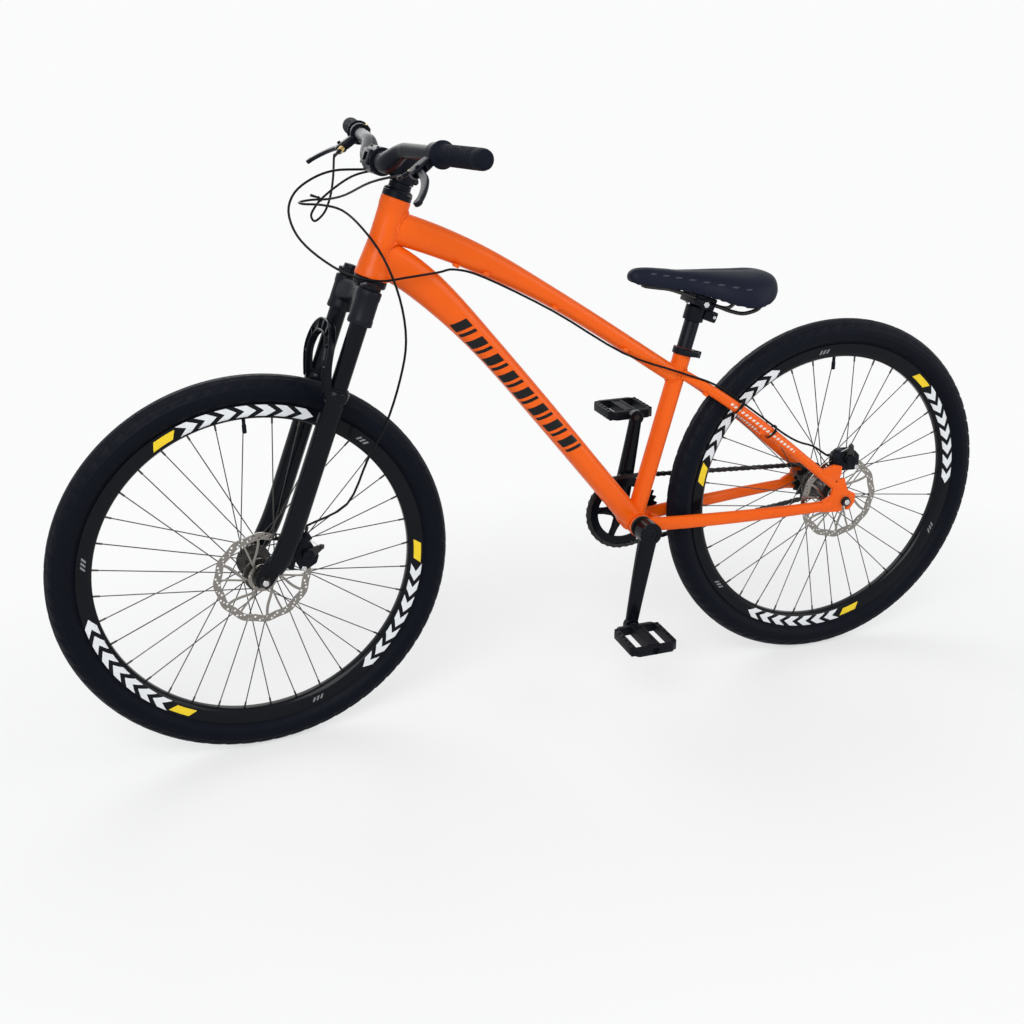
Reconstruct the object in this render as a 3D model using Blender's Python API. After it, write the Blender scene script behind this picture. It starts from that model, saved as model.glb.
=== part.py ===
"""A 26 inch hardtail bicycle with a coil fork, two cable disc brakes and one speed.

Lengths are metres and angles are degrees. X points forward, Y to the rider's left and Z up.
The origin lies on the ground, midway between the two axles. The front end is modelled straight
ahead, and the steering pivot then turns it a little to the left, as the bicycle stands at rest.
"""
import math

import bmesh
import bpy
from mathutils import Matrix, Quaternion, Vector

# Clearances
FIT = 0.0003
SLIDE = 0.0003

# Wheels
WHEELBASE = 1.078
TYRE_RADIUS = 0.330
TYRE_WIDTH = 0.047
TYRE_WALL = 0.003
TYRE_HEIGHT = 0.0445
RIM_OUTER_RADIUS = TYRE_RADIUS - TYRE_HEIGHT
RIM_DEPTH = 0.0255
RIM_INNER_RADIUS = RIM_OUTER_RADIUS - RIM_DEPTH
RIM_WIDTH = 0.025
RIM_WALL = 0.002
RIM_SPINE_WIDTH = 0.012
BEAD_SEAT_DEPTH = 0.007
BEAD_SEAT_RADIUS = RIM_OUTER_RADIUS - BEAD_SEAT_DEPTH
WHEEL_STEPS = 28
TUBE_STEPS = 14
SPOKE_COUNT = 36
SPOKE_RADIUS = 0.0009
SPOKE_CROSSINGS = 3
VALVE_RADIUS = 0.003
VALVE_LENGTH = 0.030
TUBE_HOLLOW = 0.75
ROTOR_SEAT_RADIUS = 0.010
ROTOR_RADIUS = 0.080
ROTOR_THICKNESS = 0.002
ROTOR_BAND = 0.013
ROTOR_ARMS = 6
AXLE_RADIUS = 0.005
FRONT_HUB_WIDTH = 0.100
REAR_HUB_WIDTH = 0.135
FLANGE_RADIUS = 0.029
FLANGE_THICKNESS = 0.005
FRONT_ROTOR_Y = 0.0395
REAR_ROTOR_Y = 0.0515
FRONT_FLANGES = (0.026, -0.034)
REAR_FLANGES = (0.034, -0.030)

# Frame
HEAD_ANGLE = 68.5
SEAT_ANGLE = 74.0
HEAD_TUBE_LENGTH = 0.128
HEAD_TUBE_TOP_RADIUS = 0.0235
HEAD_TUBE_LOW_RADIUS = 0.0270
REAR_TYRE_SPACE = 0.068
REAR_CENTRE = TYRE_RADIUS + REAR_TYRE_SPACE
BRACKET_HEIGHT = 0.320
BRACKET_WIDTH = 0.068
BRACKET_RADIUS = 0.0205
SEAT_TUBE_LENGTH = 0.3256
SEAT_TUBE_RADIUS = 0.0159
SEATPOST_RADIUS = 0.0136
TOP_TUBE_DROP = 0.0425
TOP_TUBE_SEAT_DROP = 0.052
DROPOUT_THICKNESS = 0.007
STAY_SIDES = 8
STAY_RINGS = 6
TUBE_SIDES = 12
TUBE_RINGS = 7

# Fork and steering
STEER_REST = 5.0
FORK_OFFSET = 0.034
AXLE_TO_CROWN = 0.4985
HEADSET_LOW_STACK = 0.012
HEADSET_TOP_STACK = 0.024
LEG_SPACING = 0.118
LEG_OFFSET = 0.016
STANCHION_RADIUS = 0.0143
LOWER_LEG_RADIUS = 0.0172
LOWER_LEG_TOP = 0.335
CROWN_DEPTH = 0.056
STEERER_RADIUS = 0.0143
STEM_HEIGHT = 0.040
STEM_REACH = 0.045
BAR_WIDTH = 0.630
BAR_RADIUS = 0.0111
BAR_CLAMP_RADIUS = 0.0159
BAR_RISE = 0.022
BACKSWEEP = 9.0
UPSWEEP = 1.5
GRIP_LENGTH = 0.114
GRIP_RADIUS = 0.0147
GRIP_FLANGE_RADIUS = 0.0195

# Drive
CRANK_LENGTH = 0.175
CRANK_LEAN = 11.5
CHAINLINE = 0.050
CHAIN_PITCH = 0.0127
CHAINRING_TEETH = 34
SPROCKET_TEETH = 17
TOOTH_THICKNESS = 0.0024
SPINDLE_RADIUS = 0.0085
CRANK_BOSS_RADIUS = 0.021
CRANK_INNER_Y = 0.0515
CRANK_THICKNESS = 0.013
CRANK_FLARE = 0.018
PEDAL_LENGTH = 0.096
PEDAL_WIDTH = 0.090
PEDAL_THICKNESS = 0.019
PEDAL_AXLE_RADIUS = 0.006

# Frame sections, as (width across, depth) from the head tube backwards
TOP_TUBE_SIZES = [(0.040, 0.052), (0.038, 0.046), (0.035, 0.033), (0.033, 0.030), (0.030, 0.030)]
DOWN_TUBE_SIZES = [(0.046, 0.060), (0.046, 0.056), (0.044, 0.044), (0.043, 0.042), (0.050, 0.041)]
SEATSTAY_SIZES = [(0.014, 0.018), (0.015, 0.019), (0.015, 0.018), (0.014, 0.017)]
CHAINSTAY_SIZES = [(0.016, 0.026), (0.016, 0.025), (0.016, 0.022), (0.015, 0.020)]
TOP_TUBE_HEAD_SLOPE = 18.0
TOP_TUBE_SEAT_SLOPE = 34.0
DOWN_TUBE_SLOPE = 51.8
DOWN_TUBE_HEAD_SLOPE = 22.0
DOWN_TUBE_HEAD_PULL = 0.15
DOWN_TUBE_LOW_PULL = 0.535
TUBE_SQUARENESS = 2.5
DOWN_TUBE_RISE = 0.035
HEAD_TUBE_WALK = 0.004
CARTRIDGE_RADIUS = 0.0172
SEAT_BORE_BOTTOM = 0.090
SEATSTAY_DROP = 0.044
STAY_END_OUT = 0.003
BRIDGE_RADIUS = 0.006
SLOT_REACH = 0.030
DROPOUT_OUTLINE = [(0.050, -0.016), (0.050, 0.004), (0.030, 0.014), (0.024, 0.044), (0.004, 0.046),
                   (-0.004, 0.022), (-0.022, 0.012), (-0.022, -0.004), (-0.012, -0.018), (0.014, -0.020)]
REAR_LUG = [(0.026, 0.034), (0.056, 0.056), (0.050, 0.068), (0.028, 0.074), (0.012, 0.070), (0.012, 0.056),
            (0.016, 0.044)]
# Each guide on the top tube: its share of the tube from the head and how far it lies from the centre line
TOP_GUIDES = [(0.21, -0.0235), (0.30, -0.0160), (0.53, -0.0120), (0.79, -0.0100)]
STAY_HOOKS = [(0.14, -0.0105), (0.46, -0.0100)]
GUIDE_SIDE = 0.0165
GUIDE_SIZE = (0.010, 0.012, 0.006)

# Fork sections; heights run up the steering axis and leads run ahead of it
CROWN_SECTIONS = [(-1.0, 0.046, 0.016, 0.036), (-0.55, 0.036, 0.010, 0.038), (0.0, 0.030, 0.002, 0.042),
                  (0.55, 0.036, 0.010, 0.038), (1.0, 0.046, 0.016, 0.036)]
CROWN_WALL = 0.0055
STEERER_SHORT = 0.003
STANCHION_BOTTOM = 0.165
STANCHION_WALL = 0.002
KNOB_RADIUS = 0.019
LEG_LINE = [(LOWER_LEG_TOP, 0.016), (0.200, 0.016), (0.090, 0.0165), (0.048, 0.020), (0.024, 0.026)]
LEG_SIZES = [(0.0344, 0.0344), (0.0344, 0.0346), (0.0340, 0.0346), (0.0330, 0.034), (0.0290, 0.030)]
LEG_BORE_BOTTOM = 0.080
FORK_TAB = [(0.044, 0.008), (0.044, 0.038), (0.012, 0.049), (-0.006, 0.048), (-0.014, 0.040),
            (-0.014, 0.028), (-0.004, 0.020), (0.012, 0.016)]
FORK_TAB_THICKNESS = 0.007
FRONT_LUG = [(-0.030, 0.020), (-0.040, 0.090), (-0.050, 0.084), (-0.053, 0.066), (-0.053, 0.026),
             (-0.048, 0.010)]
ARCH_LINE = [(1.0, -0.012, 0.031), (0.97, 0.030, 0.044), (0.80, 0.062, 0.0465), (0.42, 0.080, 0.0465),
             (0.0, 0.084, 0.0465), (-0.42, 0.080, 0.0465), (-0.80, 0.062, 0.0465), (-0.97, 0.030, 0.044),
             (-1.0, -0.012, 0.031)]
ARCH_THICKNESS = 0.012
ARCH_DEPTH = 0.022
NUT_THICKNESS = 0.007
NUT_RADIUS = 0.0085

# Brakes
CALIPER_NEAR = 0.058
CALIPER_DEPTH = 0.038
CALIPER_LENGTH = 0.050
CALIPER_INNER = 0.0105
CALIPER_OUTLINE = [(0.0, -0.7), (0.25, -1.0), (0.8, -0.95), (1.0, -0.5), (1.0, 0.55), (0.75, 0.95),
                   (0.2, 1.0), (0.0, 0.7)]
CALIPER_HINGE = 0.080
PAD_GAP = 0.0008
FRONT_CALIPER_ANGLE = 156.0
REAR_CALIPER_ANGLE = 93.0
ARM_LENGTH = 0.028
ARM_THICKNESS = 0.005
ARM_STUB = 0.0055
STOP_AWAY = 0.012
STOP_ROUND = 0.030
STOP_RADIUS = 0.0045
STOP_BACK = 0.008
FRONT_PULL_ANGLE = -76.0

# Handlebar, grips and levers
BAR_BEND_START = 0.034
BAR_BEND_END = 0.095
BAR_BEND_BACK = 0.013
PERCH_GAP = 0.013
PERCH_OUT = BAR_WIDTH / 2 - GRIP_LENGTH - PERCH_GAP
PERCH_RADIUS = 0.0165
PERCH_WIDTH = 0.014
PERCH_BODY = (0.036, 0.024, 0.015)
PERCH_BODY_FORE = 0.030
PERCH_BODY_IN = 0.001
PERCH_SLOT = 0.030
PERCH_SLOT_FORE = 0.006
PERCH_SLOT_OUT = 0.008
LEVER_PIN_RADIUS = 0.0025
LEVER_PIN_HALF = 0.007
LEVER_EYE_RADIUS = 0.0062
LEVER_DROP = 34.0
LEVER_PIVOT_FORE = 0.037
LEVER_PIVOT_OUT = 0.006
LEVER_THICKNESS = 0.007
# Places along the lever: out along the bar, and forward of it
LEVER_LINE = [(0.006, 0.037), (0.027, 0.045), (0.046, 0.054), (0.064, 0.067), (0.078, 0.081), (0.087, 0.094)]
LEVER_DEPTHS = [0.010, 0.0115, 0.012, 0.0115, 0.0115, 0.0125]
BARREL_START = (0.030, -0.004)
BARREL_END = (0.050, -0.022)
BARREL_RADIUS = 0.0048
STEM_WALL = 0.0052
STEM_FACE_WIDTH = 0.044
FACE_GAP = 0.0006
FACE_CUT = 0.070

# Cranks, pedals and chain
CRANK_BOSS_WIDTH = 0.027
CRANK_EYE_RADIUS = 0.0135
SPIDER_ARMS = 5
SPIDER_RADIUS = 0.0605
SPIDER_THICKNESS = 0.004
CHAINRING_BORE = 0.0545
TOOTH_ABOVE_PITCH = 0.0022
ROLLER_RADIUS = 0.0039
FREEWHEEL_RADIUS = 0.022
FREEWHEEL_OUT = 0.006
FREEWHEEL_IN = 0.006
CHAIN_WIDTH = 0.0074
CHAIN_HEIGHT = 0.0094
PEDAL_COLLAR = 0.006
PEDAL_RAIL = 0.010
PEDAL_BARREL = 0.011

# Seat
COLLAR_HEIGHT = 0.012
COLLAR_WALL = 0.0028
COLLAR_TURN = 25.0
EAR_REACH = 0.011
LEVER_BARREL = 0.0055
SEATPOST_TOP = 0.395
SEATPOST_BOTTOM = 0.170
SEATPOST_WALL = 0.0021
RAIL_RADIUS = 0.0035
RAIL_SPACING = 0.044
RAIL_TILT = 22.0
RAIL_LINE = [(-0.098, 0.040, 0.030), (-0.094, 0.038, 0.018), (-0.078, 0.028, 0.004), (-0.055, 0.022, 0.0),
             (-0.030, 0.022, 0.0), (0.030, 0.022, 0.0), (0.066, 0.0165, -0.001), (0.090, 0.013, -0.006),
             (0.106, 0.007, -0.010)]
RAIL_NOSE = 0.110
RAIL_NOSE_LIFT = -0.0105
SOCKET_RADIUS = 0.0058
SOCKET_LENGTH = 0.0136
NOSE_BOSS_HEIGHT = 0.0085
SADDLE_LENGTH = 0.272
SADDLE_BACK = 0.141
SADDLE_HOLLOW = 0.010
SADDLE_CHANNEL = 0.003
SHELL_THICKNESS = 0.003
# Each station: share of the length from the tail, half width, top height and edge height
SADDLE_STATIONS = [(0.00, 0.030, 0.052, 0.038), (0.04, 0.055, 0.060, 0.026), (0.12, 0.070, 0.0639, 0.013),
                   (0.25, 0.0735, 0.0648, 0.009), (0.38, 0.062, 0.0668, 0.017), (0.50, 0.045, 0.0690, 0.028),
                   (0.62, 0.032, 0.0718, 0.038), (0.75, 0.0245, 0.0753, 0.0455),
                   (0.88, 0.0205, 0.0798, 0.0525), (0.96, 0.0175, 0.0793, 0.0575),
                   (1.00, 0.010, 0.0725, 0.0630)]
FINE = 101

# Brake cables, as points of their free runs
CABLE_RADIUS = 0.0019
CABLE_SIDE = 0.0195
CABLE_CLEAR = 0.0016
FRONT_CABLE = [
    (0.290, 0.112, 0.955), (0.318, 0.030, 0.940), (0.341, -0.058, 0.915), (0.360, -0.106, 0.905),
    (0.386, -0.115, 0.904), (0.408, -0.100, 0.903), (0.405, -0.077, 0.902), (0.378, -0.070, 0.900),
    (0.349, -0.052, 0.892), (0.331, 0.006, 0.871), (0.312, 0.062, 0.832), (0.294, 0.081, 0.772),
    (0.289, 0.088, 0.708), (0.301, 0.086, 0.647), (0.325, 0.076, 0.575), (0.356, 0.067, 0.517),
    (0.393, 0.059, 0.443)]
REAR_CABLE = [
    (0.342, -0.152, 0.935), (0.350, -0.141, 0.908), (0.360, -0.136, 0.886), (0.371, -0.132, 0.874),
    (0.382, -0.128, 0.869), (0.387, -0.125, 0.878), (0.382, -0.123, 0.889), (0.370, -0.122, 0.903),
    (0.346, -0.121, 0.921), (0.318, -0.119, 0.937), (0.291, -0.116, 0.944), (0.267, -0.103, 0.946),
    (0.266, -0.080, 0.948), (0.290, -0.058, 0.951), (0.319, -0.050, 0.953), (0.359, -0.048, 0.953),
    (0.394, -0.043, 0.943), (0.424, -0.034, 0.924), (0.437, -0.023, 0.897), (0.429, -0.008, 0.863),
    (0.403, 0.014, 0.833), (0.362, 0.038, 0.806), (0.317, 0.050, 0.795), (0.273, 0.047, 0.797),
    (0.219, 0.032, 0.799)]
CABLE_PAST_SEAT = [(0.285, -0.010, 0.0245)]
CABLE_ON_STAY = [(0.16, 0.0107), (0.36, 0.0107), (0.54, 0.0107), (0.64, 0.016), (0.72, 0.027)]

X = Vector((1, 0, 0))
Y = Vector((0, 1, 0))
Z = Vector((0, 0, 1))

front_axle = Vector((WHEELBASE / 2, 0, TYRE_RADIUS))
rear_axle = Vector((-WHEELBASE / 2, 0, TYRE_RADIUS))
bracket = Vector((rear_axle.x + REAR_CENTRE, 0, BRACKET_HEIGHT))
head_lean = math.radians(HEAD_ANGLE)
steer_up = Vector((-math.cos(head_lean), 0, math.sin(head_lean)))
steer_ahead = Vector((math.sin(head_lean), 0, math.cos(head_lean)))
seat_lean = math.radians(SEAT_ANGLE)
seat_up = Vector((-math.cos(seat_lean), 0, math.sin(seat_lean)))
seat_back = Vector((-math.sin(seat_lean), 0, -math.cos(seat_lean)))

# Levels along the steering axis, measured up from the foot of the line to the front axle
foot = front_axle - steer_ahead * FORK_OFFSET
head_low = AXLE_TO_CROWN + HEADSET_LOW_STACK
head_top = head_low + HEAD_TUBE_LENGTH
cover_top = head_top + HEADSET_TOP_STACK
stem_top = cover_top + STEM_HEIGHT
stem_middle = cover_top + STEM_HEIGHT / 2
chain_pitch_radius = CHAIN_PITCH / (2 * math.sin(math.pi / CHAINRING_TEETH))
sprocket_pitch_radius = CHAIN_PITCH / (2 * math.sin(math.pi / SPROCKET_TEETH))

FINISHES = {
    "frame_paint": ((0.80, 0.16, 0.02), 0.28, 0.0),
    "black_paint": ((0.012, 0.012, 0.014), 0.22, 0.0),
    "black_alloy": ((0.02, 0.02, 0.023), 0.38, 0.6),
    "steel": ((0.45, 0.45, 0.47), 0.28, 1.0),
    "dark_steel": ((0.10, 0.10, 0.11), 0.35, 1.0),
    "tyre_rubber": ((0.022, 0.022, 0.025), 0.70, 0.0),
    "grip_rubber": ((0.02, 0.02, 0.024), 0.80, 0.0),
    "plastic": ((0.018, 0.018, 0.02), 0.45, 0.0),
    "saddle_cover": ((0.025, 0.025, 0.03), 0.55, 0.0),
    "cable_sleeve": ((0.012, 0.012, 0.012), 0.40, 0.0),
}


def head(up, ahead=0.0, side=0.0):
    """A point of the front end by its height on the steering axis, its lead and its side."""
    return foot + steer_up * up + steer_ahead * ahead + Y * side


def seat(up, back=0.0, side=0.0):
    """A point of the seat line by its height above the bracket, its set-back and its side."""
    return bracket + seat_up * up + seat_back * back + Y * side


def solid(points, faces):
    """A closed mesh whose faces point outwards."""
    mesh = bpy.data.meshes.new("solid")
    mesh.from_pydata([tuple(point) for point in points], [], faces)
    work = bmesh.new()
    work.from_mesh(mesh)
    bmesh.ops.recalc_face_normals(work, faces=work.faces)
    work.to_mesh(mesh)
    work.free()
    return mesh


def loft(rings, closed=False):
    """Skin rings of equal count; the two ends are capped unless the rings close on themselves."""
    count = len(rings[0])
    points = [point for ring in rings for point in ring]
    faces = []
    for index in range(len(rings) if closed else len(rings) - 1):
        here = index * count
        there = (index + 1) % len(rings) * count
        for step in range(count):
            after = (step + 1) % count
            faces.append((here + step, here + after, there + after, there + step))
    if not closed:
        faces.append(tuple(reversed(range(count))))
        faces.append(tuple(range(len(points) - count, len(points))))
    return solid(points, faces)


def oval(centre, across, up, width, depth, sides, squareness=2.0):
    """One closed section: a superellipse of a width and a depth."""
    ring = []
    for step in range(sides):
        angle = 2 * math.pi * (step + 0.5) / sides
        reach = math.copysign(abs(math.cos(angle)) ** (2 / squareness), math.cos(angle))
        lift = math.copysign(abs(math.sin(angle)) ** (2 / squareness), math.sin(angle))
        ring.append(centre + across * (reach * width / 2) + up * (lift * depth / 2))
    return ring


def swept(path, sizes, sides, squareness=2.0, level=Y):
    """A bar along a path; each point has its own (width along the level direction, depth across)."""
    rings = []
    for index, point in enumerate(path):
        before = path[max(index - 1, 0)]
        after = path[min(index + 1, len(path) - 1)]
        ahead = (after - before).normalized()
        across = (level - ahead * ahead.dot(level)).normalized()
        width, depth = sizes[index]
        rings.append(oval(point, across, ahead.cross(across), width, depth, sides, squareness))
    return loft(rings)


def bezier(start, start_pull, end_pull, end, count):
    """Points along one cubic curve; the pulls are offsets from its two ends."""
    points = []
    for index in range(count):
        t = index / (count - 1)
        weights = ((1 - t) ** 3, 3 * t * (1 - t) ** 2, 3 * t * t * (1 - t), t ** 3)
        knots = (start, start + start_pull, end + end_pull, end)
        points.append(sum((knot * weight for knot, weight in zip(knots, weights)), Vector()))
    return points


def eased(sizes, count):
    """Sizes read evenly from a short list, with straight steps between its entries."""
    read = []
    for index in range(count):
        place = index / (count - 1) * (len(sizes) - 1)
        low = min(int(place), len(sizes) - 2)
        part = place - low
        read.append(tuple(a + (b - a) * part for a, b in zip(sizes[low], sizes[low + 1])))
    return read


def turned(profile, steps, centre, axis, ring=False):
    """Turn (radius, along) points about an axis; a ring's profile closes on itself."""
    side = Z.cross(axis).normalized() if abs(axis.z) < 0.9 else X - axis * axis.x
    side.normalize()
    other = axis.cross(side)
    angles = [2 * math.pi * step / steps for step in range(steps)]
    spokes = [side * math.cos(angle) + other * math.sin(angle) for angle in angles]
    if ring:
        return loft([[centre + axis * along + spoke * radius for radius, along in profile]
                     for spoke in spokes], closed=True)
    return loft([[centre + axis * along + spoke * radius for spoke in spokes]
                 for radius, along in profile])


def rod(start, end, radius, steps=12):
    """A plain round bar between two points."""
    line = end - start
    return turned([(radius, 0), (radius, line.length)], steps, start, line.normalized())


def slab(outline, thickness):
    """A flat outline given thickness along a vector."""
    return loft([outline, [point + thickness for point in outline]])


def block(centre, along, across, up, sizes):
    """A box by its three directions and its three full sizes."""
    corners = []
    for a, b in ((-1, -1), (1, -1), (1, 1), (-1, 1)):
        corner = centre + along * (a * sizes[0] / 2) + across * (b * sizes[1] / 2)
        corners.append(corner - up * (sizes[2] / 2))
    return slab(corners, up * sizes[2])


def fused(solids, cuts=()):
    """Join solids into one body and take the cuts away, with Boolean modifiers that are applied."""
    body = bpy.data.objects.new("body", solids[0])
    scene = bpy.context.scene.collection.objects
    scene.link(body)
    helpers = []
    steps = [(shape, "UNION") for shape in solids[1:]] + [(shape, "DIFFERENCE") for shape in cuts]
    for shape, operation in steps:
        helper = bpy.data.objects.new("helper", shape)
        scene.link(helper)
        step = body.modifiers.new(operation, "BOOLEAN")
        step.operation = operation
        step.object = helper
        helpers.append(helper)
    shaped = body.evaluated_get(bpy.context.evaluated_depsgraph_get())
    mesh = bpy.data.meshes.new_from_object(shaped)
    for made in (body, *helpers):
        bpy.data.objects.remove(made)
    return mesh


def piece(name, mesh, finish, origin, holder=None):
    """Name a solid, give it its finish, and put its origin on its own pivot or centre."""
    mesh.name = name
    mesh.transform(Matrix.Translation(-origin))
    mesh.shade_smooth()
    mesh.set_sharp_from_angle(angle=math.radians(35))
    made = bpy.data.objects.new(name, mesh)
    made.location = origin
    dress(made, finish)
    if holder:
        made.parent = holder
        made.matrix_parent_inverse = holder.matrix_basis.inverted()
    bpy.context.scene.collection.objects.link(made)
    return made


def dress(made, finish):
    """Give an object a material of its own."""
    colour, roughness, metallic = FINISHES[finish]
    coat = bpy.data.materials.new(f"{made.name}_{finish}")
    coat.use_nodes = True
    shader = coat.node_tree.nodes["Principled BSDF"]
    shader.inputs["Base Color"].default_value = (*colour, 1)
    shader.inputs["Roughness"].default_value = roughness
    shader.inputs["Metallic"].default_value = metallic
    made.data.materials.clear()
    made.data.materials.append(coat)


def tyre(name, axle, holder):
    """A tyre: a round casing that narrows to two wedge-shaped beads."""
    middle = TYRE_RADIUS - TYRE_WIDTH / 2
    outer = TYRE_WIDTH / 2
    inner = outer - TYRE_WALL
    bead = RIM_WIDTH / 2 - RIM_WALL - FIT
    heel = BEAD_SEAT_RADIUS + FIT * 4
    toe = bead - TYRE_WALL / 2
    lip = RIM_OUTER_RADIUS + FIT * 2
    profile = [(lip, -toe), (heel, -bead), (lip, -bead)]
    profile += [(middle + outer * math.cos(math.radians(a)), outer * math.sin(math.radians(a)))
                for a in (-128, -86, -43, 0, 43, 86, 128)]
    profile += [(lip, bead), (heel, bead), (lip, toe)]
    profile += [(middle + inner * math.cos(math.radians(a)), inner * math.sin(math.radians(a)))
                for a in (112, 38, -38, -112)]
    piece(name, turned(profile, WHEEL_STEPS, axle, Y, ring=True), "tyre_rubber", axle, holder)


def inner_tube(name, axle, holder):
    """A hollow inner tube, open only through its valve, which passes down through the rim."""
    middle = TYRE_RADIUS - TYRE_WIDTH / 2
    outer = (TYRE_WIDTH / 2 - TYRE_WALL) * math.cos(math.radians(38)) - FIT * 3
    wall = outer * TUBE_HOLLOW
    skin = [(middle + outer * math.cos(math.radians(a)), outer * math.sin(math.radians(a)))
            for a in range(0, 360, 72)]
    hollow = [(middle + wall * math.cos(math.radians(a)), wall * math.sin(math.radians(a)))
              for a in range(60, 420, 120)]
    foot_of_valve = axle + Z * (middle - outer - VALVE_LENGTH)
    valve_top = axle + Z * (middle - wall)
    valve = rod(foot_of_valve, valve_top - Z * FIT, VALVE_RADIUS, 7)
    bore = rod(foot_of_valve - Z * FIT, valve_top + Z * VALVE_RADIUS, VALVE_RADIUS / 2, 6)
    ring = turned(skin, TUBE_STEPS, axle, Y, ring=True)
    air = turned(hollow, TUBE_STEPS, axle, Y, ring=True)
    piece(name, fused([ring, valve], [air, bore]), "tyre_rubber", axle, holder)


def rim(name, axle, holder):
    """A deep rim with a seat for the tyre's beads and a hole for the valve."""
    half = RIM_WIDTH / 2
    seat_half = half - RIM_WALL
    shoulder = (RIM_INNER_RADIUS + BEAD_SEAT_RADIUS) / 2
    right = [(RIM_OUTER_RADIUS, half), (RIM_OUTER_RADIUS, seat_half), (BEAD_SEAT_RADIUS, seat_half)]
    spine = [(RIM_INNER_RADIUS, RIM_SPINE_WIDTH / 2), (shoulder, half)]
    left = [(radius, -along) for radius, along in right]
    profile = right + left[::-1] + [(shoulder, -half), (RIM_INNER_RADIUS, -RIM_SPINE_WIDTH / 2)] + spine
    hole = rod(axle + Z * (RIM_INNER_RADIUS - 0.01), axle + Z * RIM_OUTER_RADIUS, VALVE_RADIUS + FIT, 8)
    mesh = fused([turned(profile, WHEEL_STEPS, axle, Y, ring=True)], [hole])
    piece(name, mesh, "black_alloy", axle, holder)


def hub(name, axle, width, left_flange, right_flange, rotor_y, holder):
    """A hub shell laced with crossed spokes, whose ends stop just inside the rim."""
    bore = AXLE_RADIUS + FIT
    end = width / 2 - FIT
    waist = FLANGE_RADIUS * 0.45
    nose = ROTOR_SEAT_RADIUS
    seat_y = rotor_y - ROTOR_THICKNESS / 2 - FIT
    half = FLANGE_THICKNESS / 2
    profile = [(bore, -end), (nose, -end), (nose, right_flange - half), (FLANGE_RADIUS, right_flange - half),
               (FLANGE_RADIUS, right_flange + half), (waist, right_flange + half * 2),
               (waist, left_flange - half * 2), (FLANGE_RADIUS, left_flange - half),
               (FLANGE_RADIUS, left_flange + half), (nose * 1.8, left_flange + half),
               (nose * 1.8, seat_y), (nose, seat_y), (nose, end), (bore, end)]
    solids = [turned(profile, 12, axle, Y, ring=True)]
    hole = FLANGE_RADIUS * 0.86
    reach = RIM_INNER_RADIUS * math.cos(math.pi / WHEEL_STEPS) - FIT
    pitch = 4 * math.pi / SPOKE_COUNT
    for side, flange in ((1, left_flange), (-1, right_flange)):
        for count in range(SPOKE_COUNT // 2):
            way = 1 if count % 2 else -1
            start = pitch * count + (0 if side > 0 else pitch / 2)
            stop = start + way * SPOKE_CROSSINGS * pitch
            low = Vector((math.cos(start) * hole, flange + way * half * 0.6, math.sin(start) * hole))
            high = Vector((math.cos(stop) * reach, way * half * 0.2, math.sin(stop) * reach))
            solids.append(rod(axle + low, axle + high, SPOKE_RADIUS, 3))
    piece(name, fused(solids), "black_alloy", axle, holder)


def rotor(name, axle, y, holder):
    """A brake rotor: a braking ring on slanted arms from a centre ring."""
    half = ROTOR_THICKNESS / 2
    inner = ROTOR_RADIUS - ROTOR_BAND
    centre_out = FLANGE_RADIUS * 0.8
    middle = axle + Y * y
    outside = turned([(inner, -half), (ROTOR_RADIUS, -half), (ROTOR_RADIUS, half), (inner, half)],
                     20, middle, Y, ring=True)
    centre = turned([(ROTOR_SEAT_RADIUS + FIT, -half), (centre_out, -half), (centre_out, half),
                     (ROTOR_SEAT_RADIUS + FIT, half)], 12, middle, Y, ring=True)
    solids = [outside, centre]
    for count in range(ROTOR_ARMS):
        start = 2 * math.pi * count / ROTOR_ARMS
        stop = start + math.radians(28)
        low = Vector((math.cos(start), 0, math.sin(start))) * (centre_out - 0.003)
        high = Vector((math.cos(stop), 0, math.sin(stop))) * (inner + 0.003)
        along = high - low
        across = along.normalized().cross(Y)
        solids.append(block(middle + (low + high) / 2, along.normalized(), across, Y,
                            (along.length, 0.007, ROTOR_THICKNESS * 0.98)))
    piece(name, fused(solids), "steel", axle, holder)


def wheel(name, axle, width, flanges, rotor_y, holder):
    """All the pieces that turn together as one wheel."""
    tyre(f"{name}_tyre", axle, holder)
    inner_tube(f"{name}_inner_tube", axle, holder)
    rim(f"{name}_rim", axle, holder)
    hub(f"{name}_hub_and_spokes", axle, width, *flanges, rotor_y, holder)
    rotor(f"{name}_brake_rotor", axle, rotor_y, holder)


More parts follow.
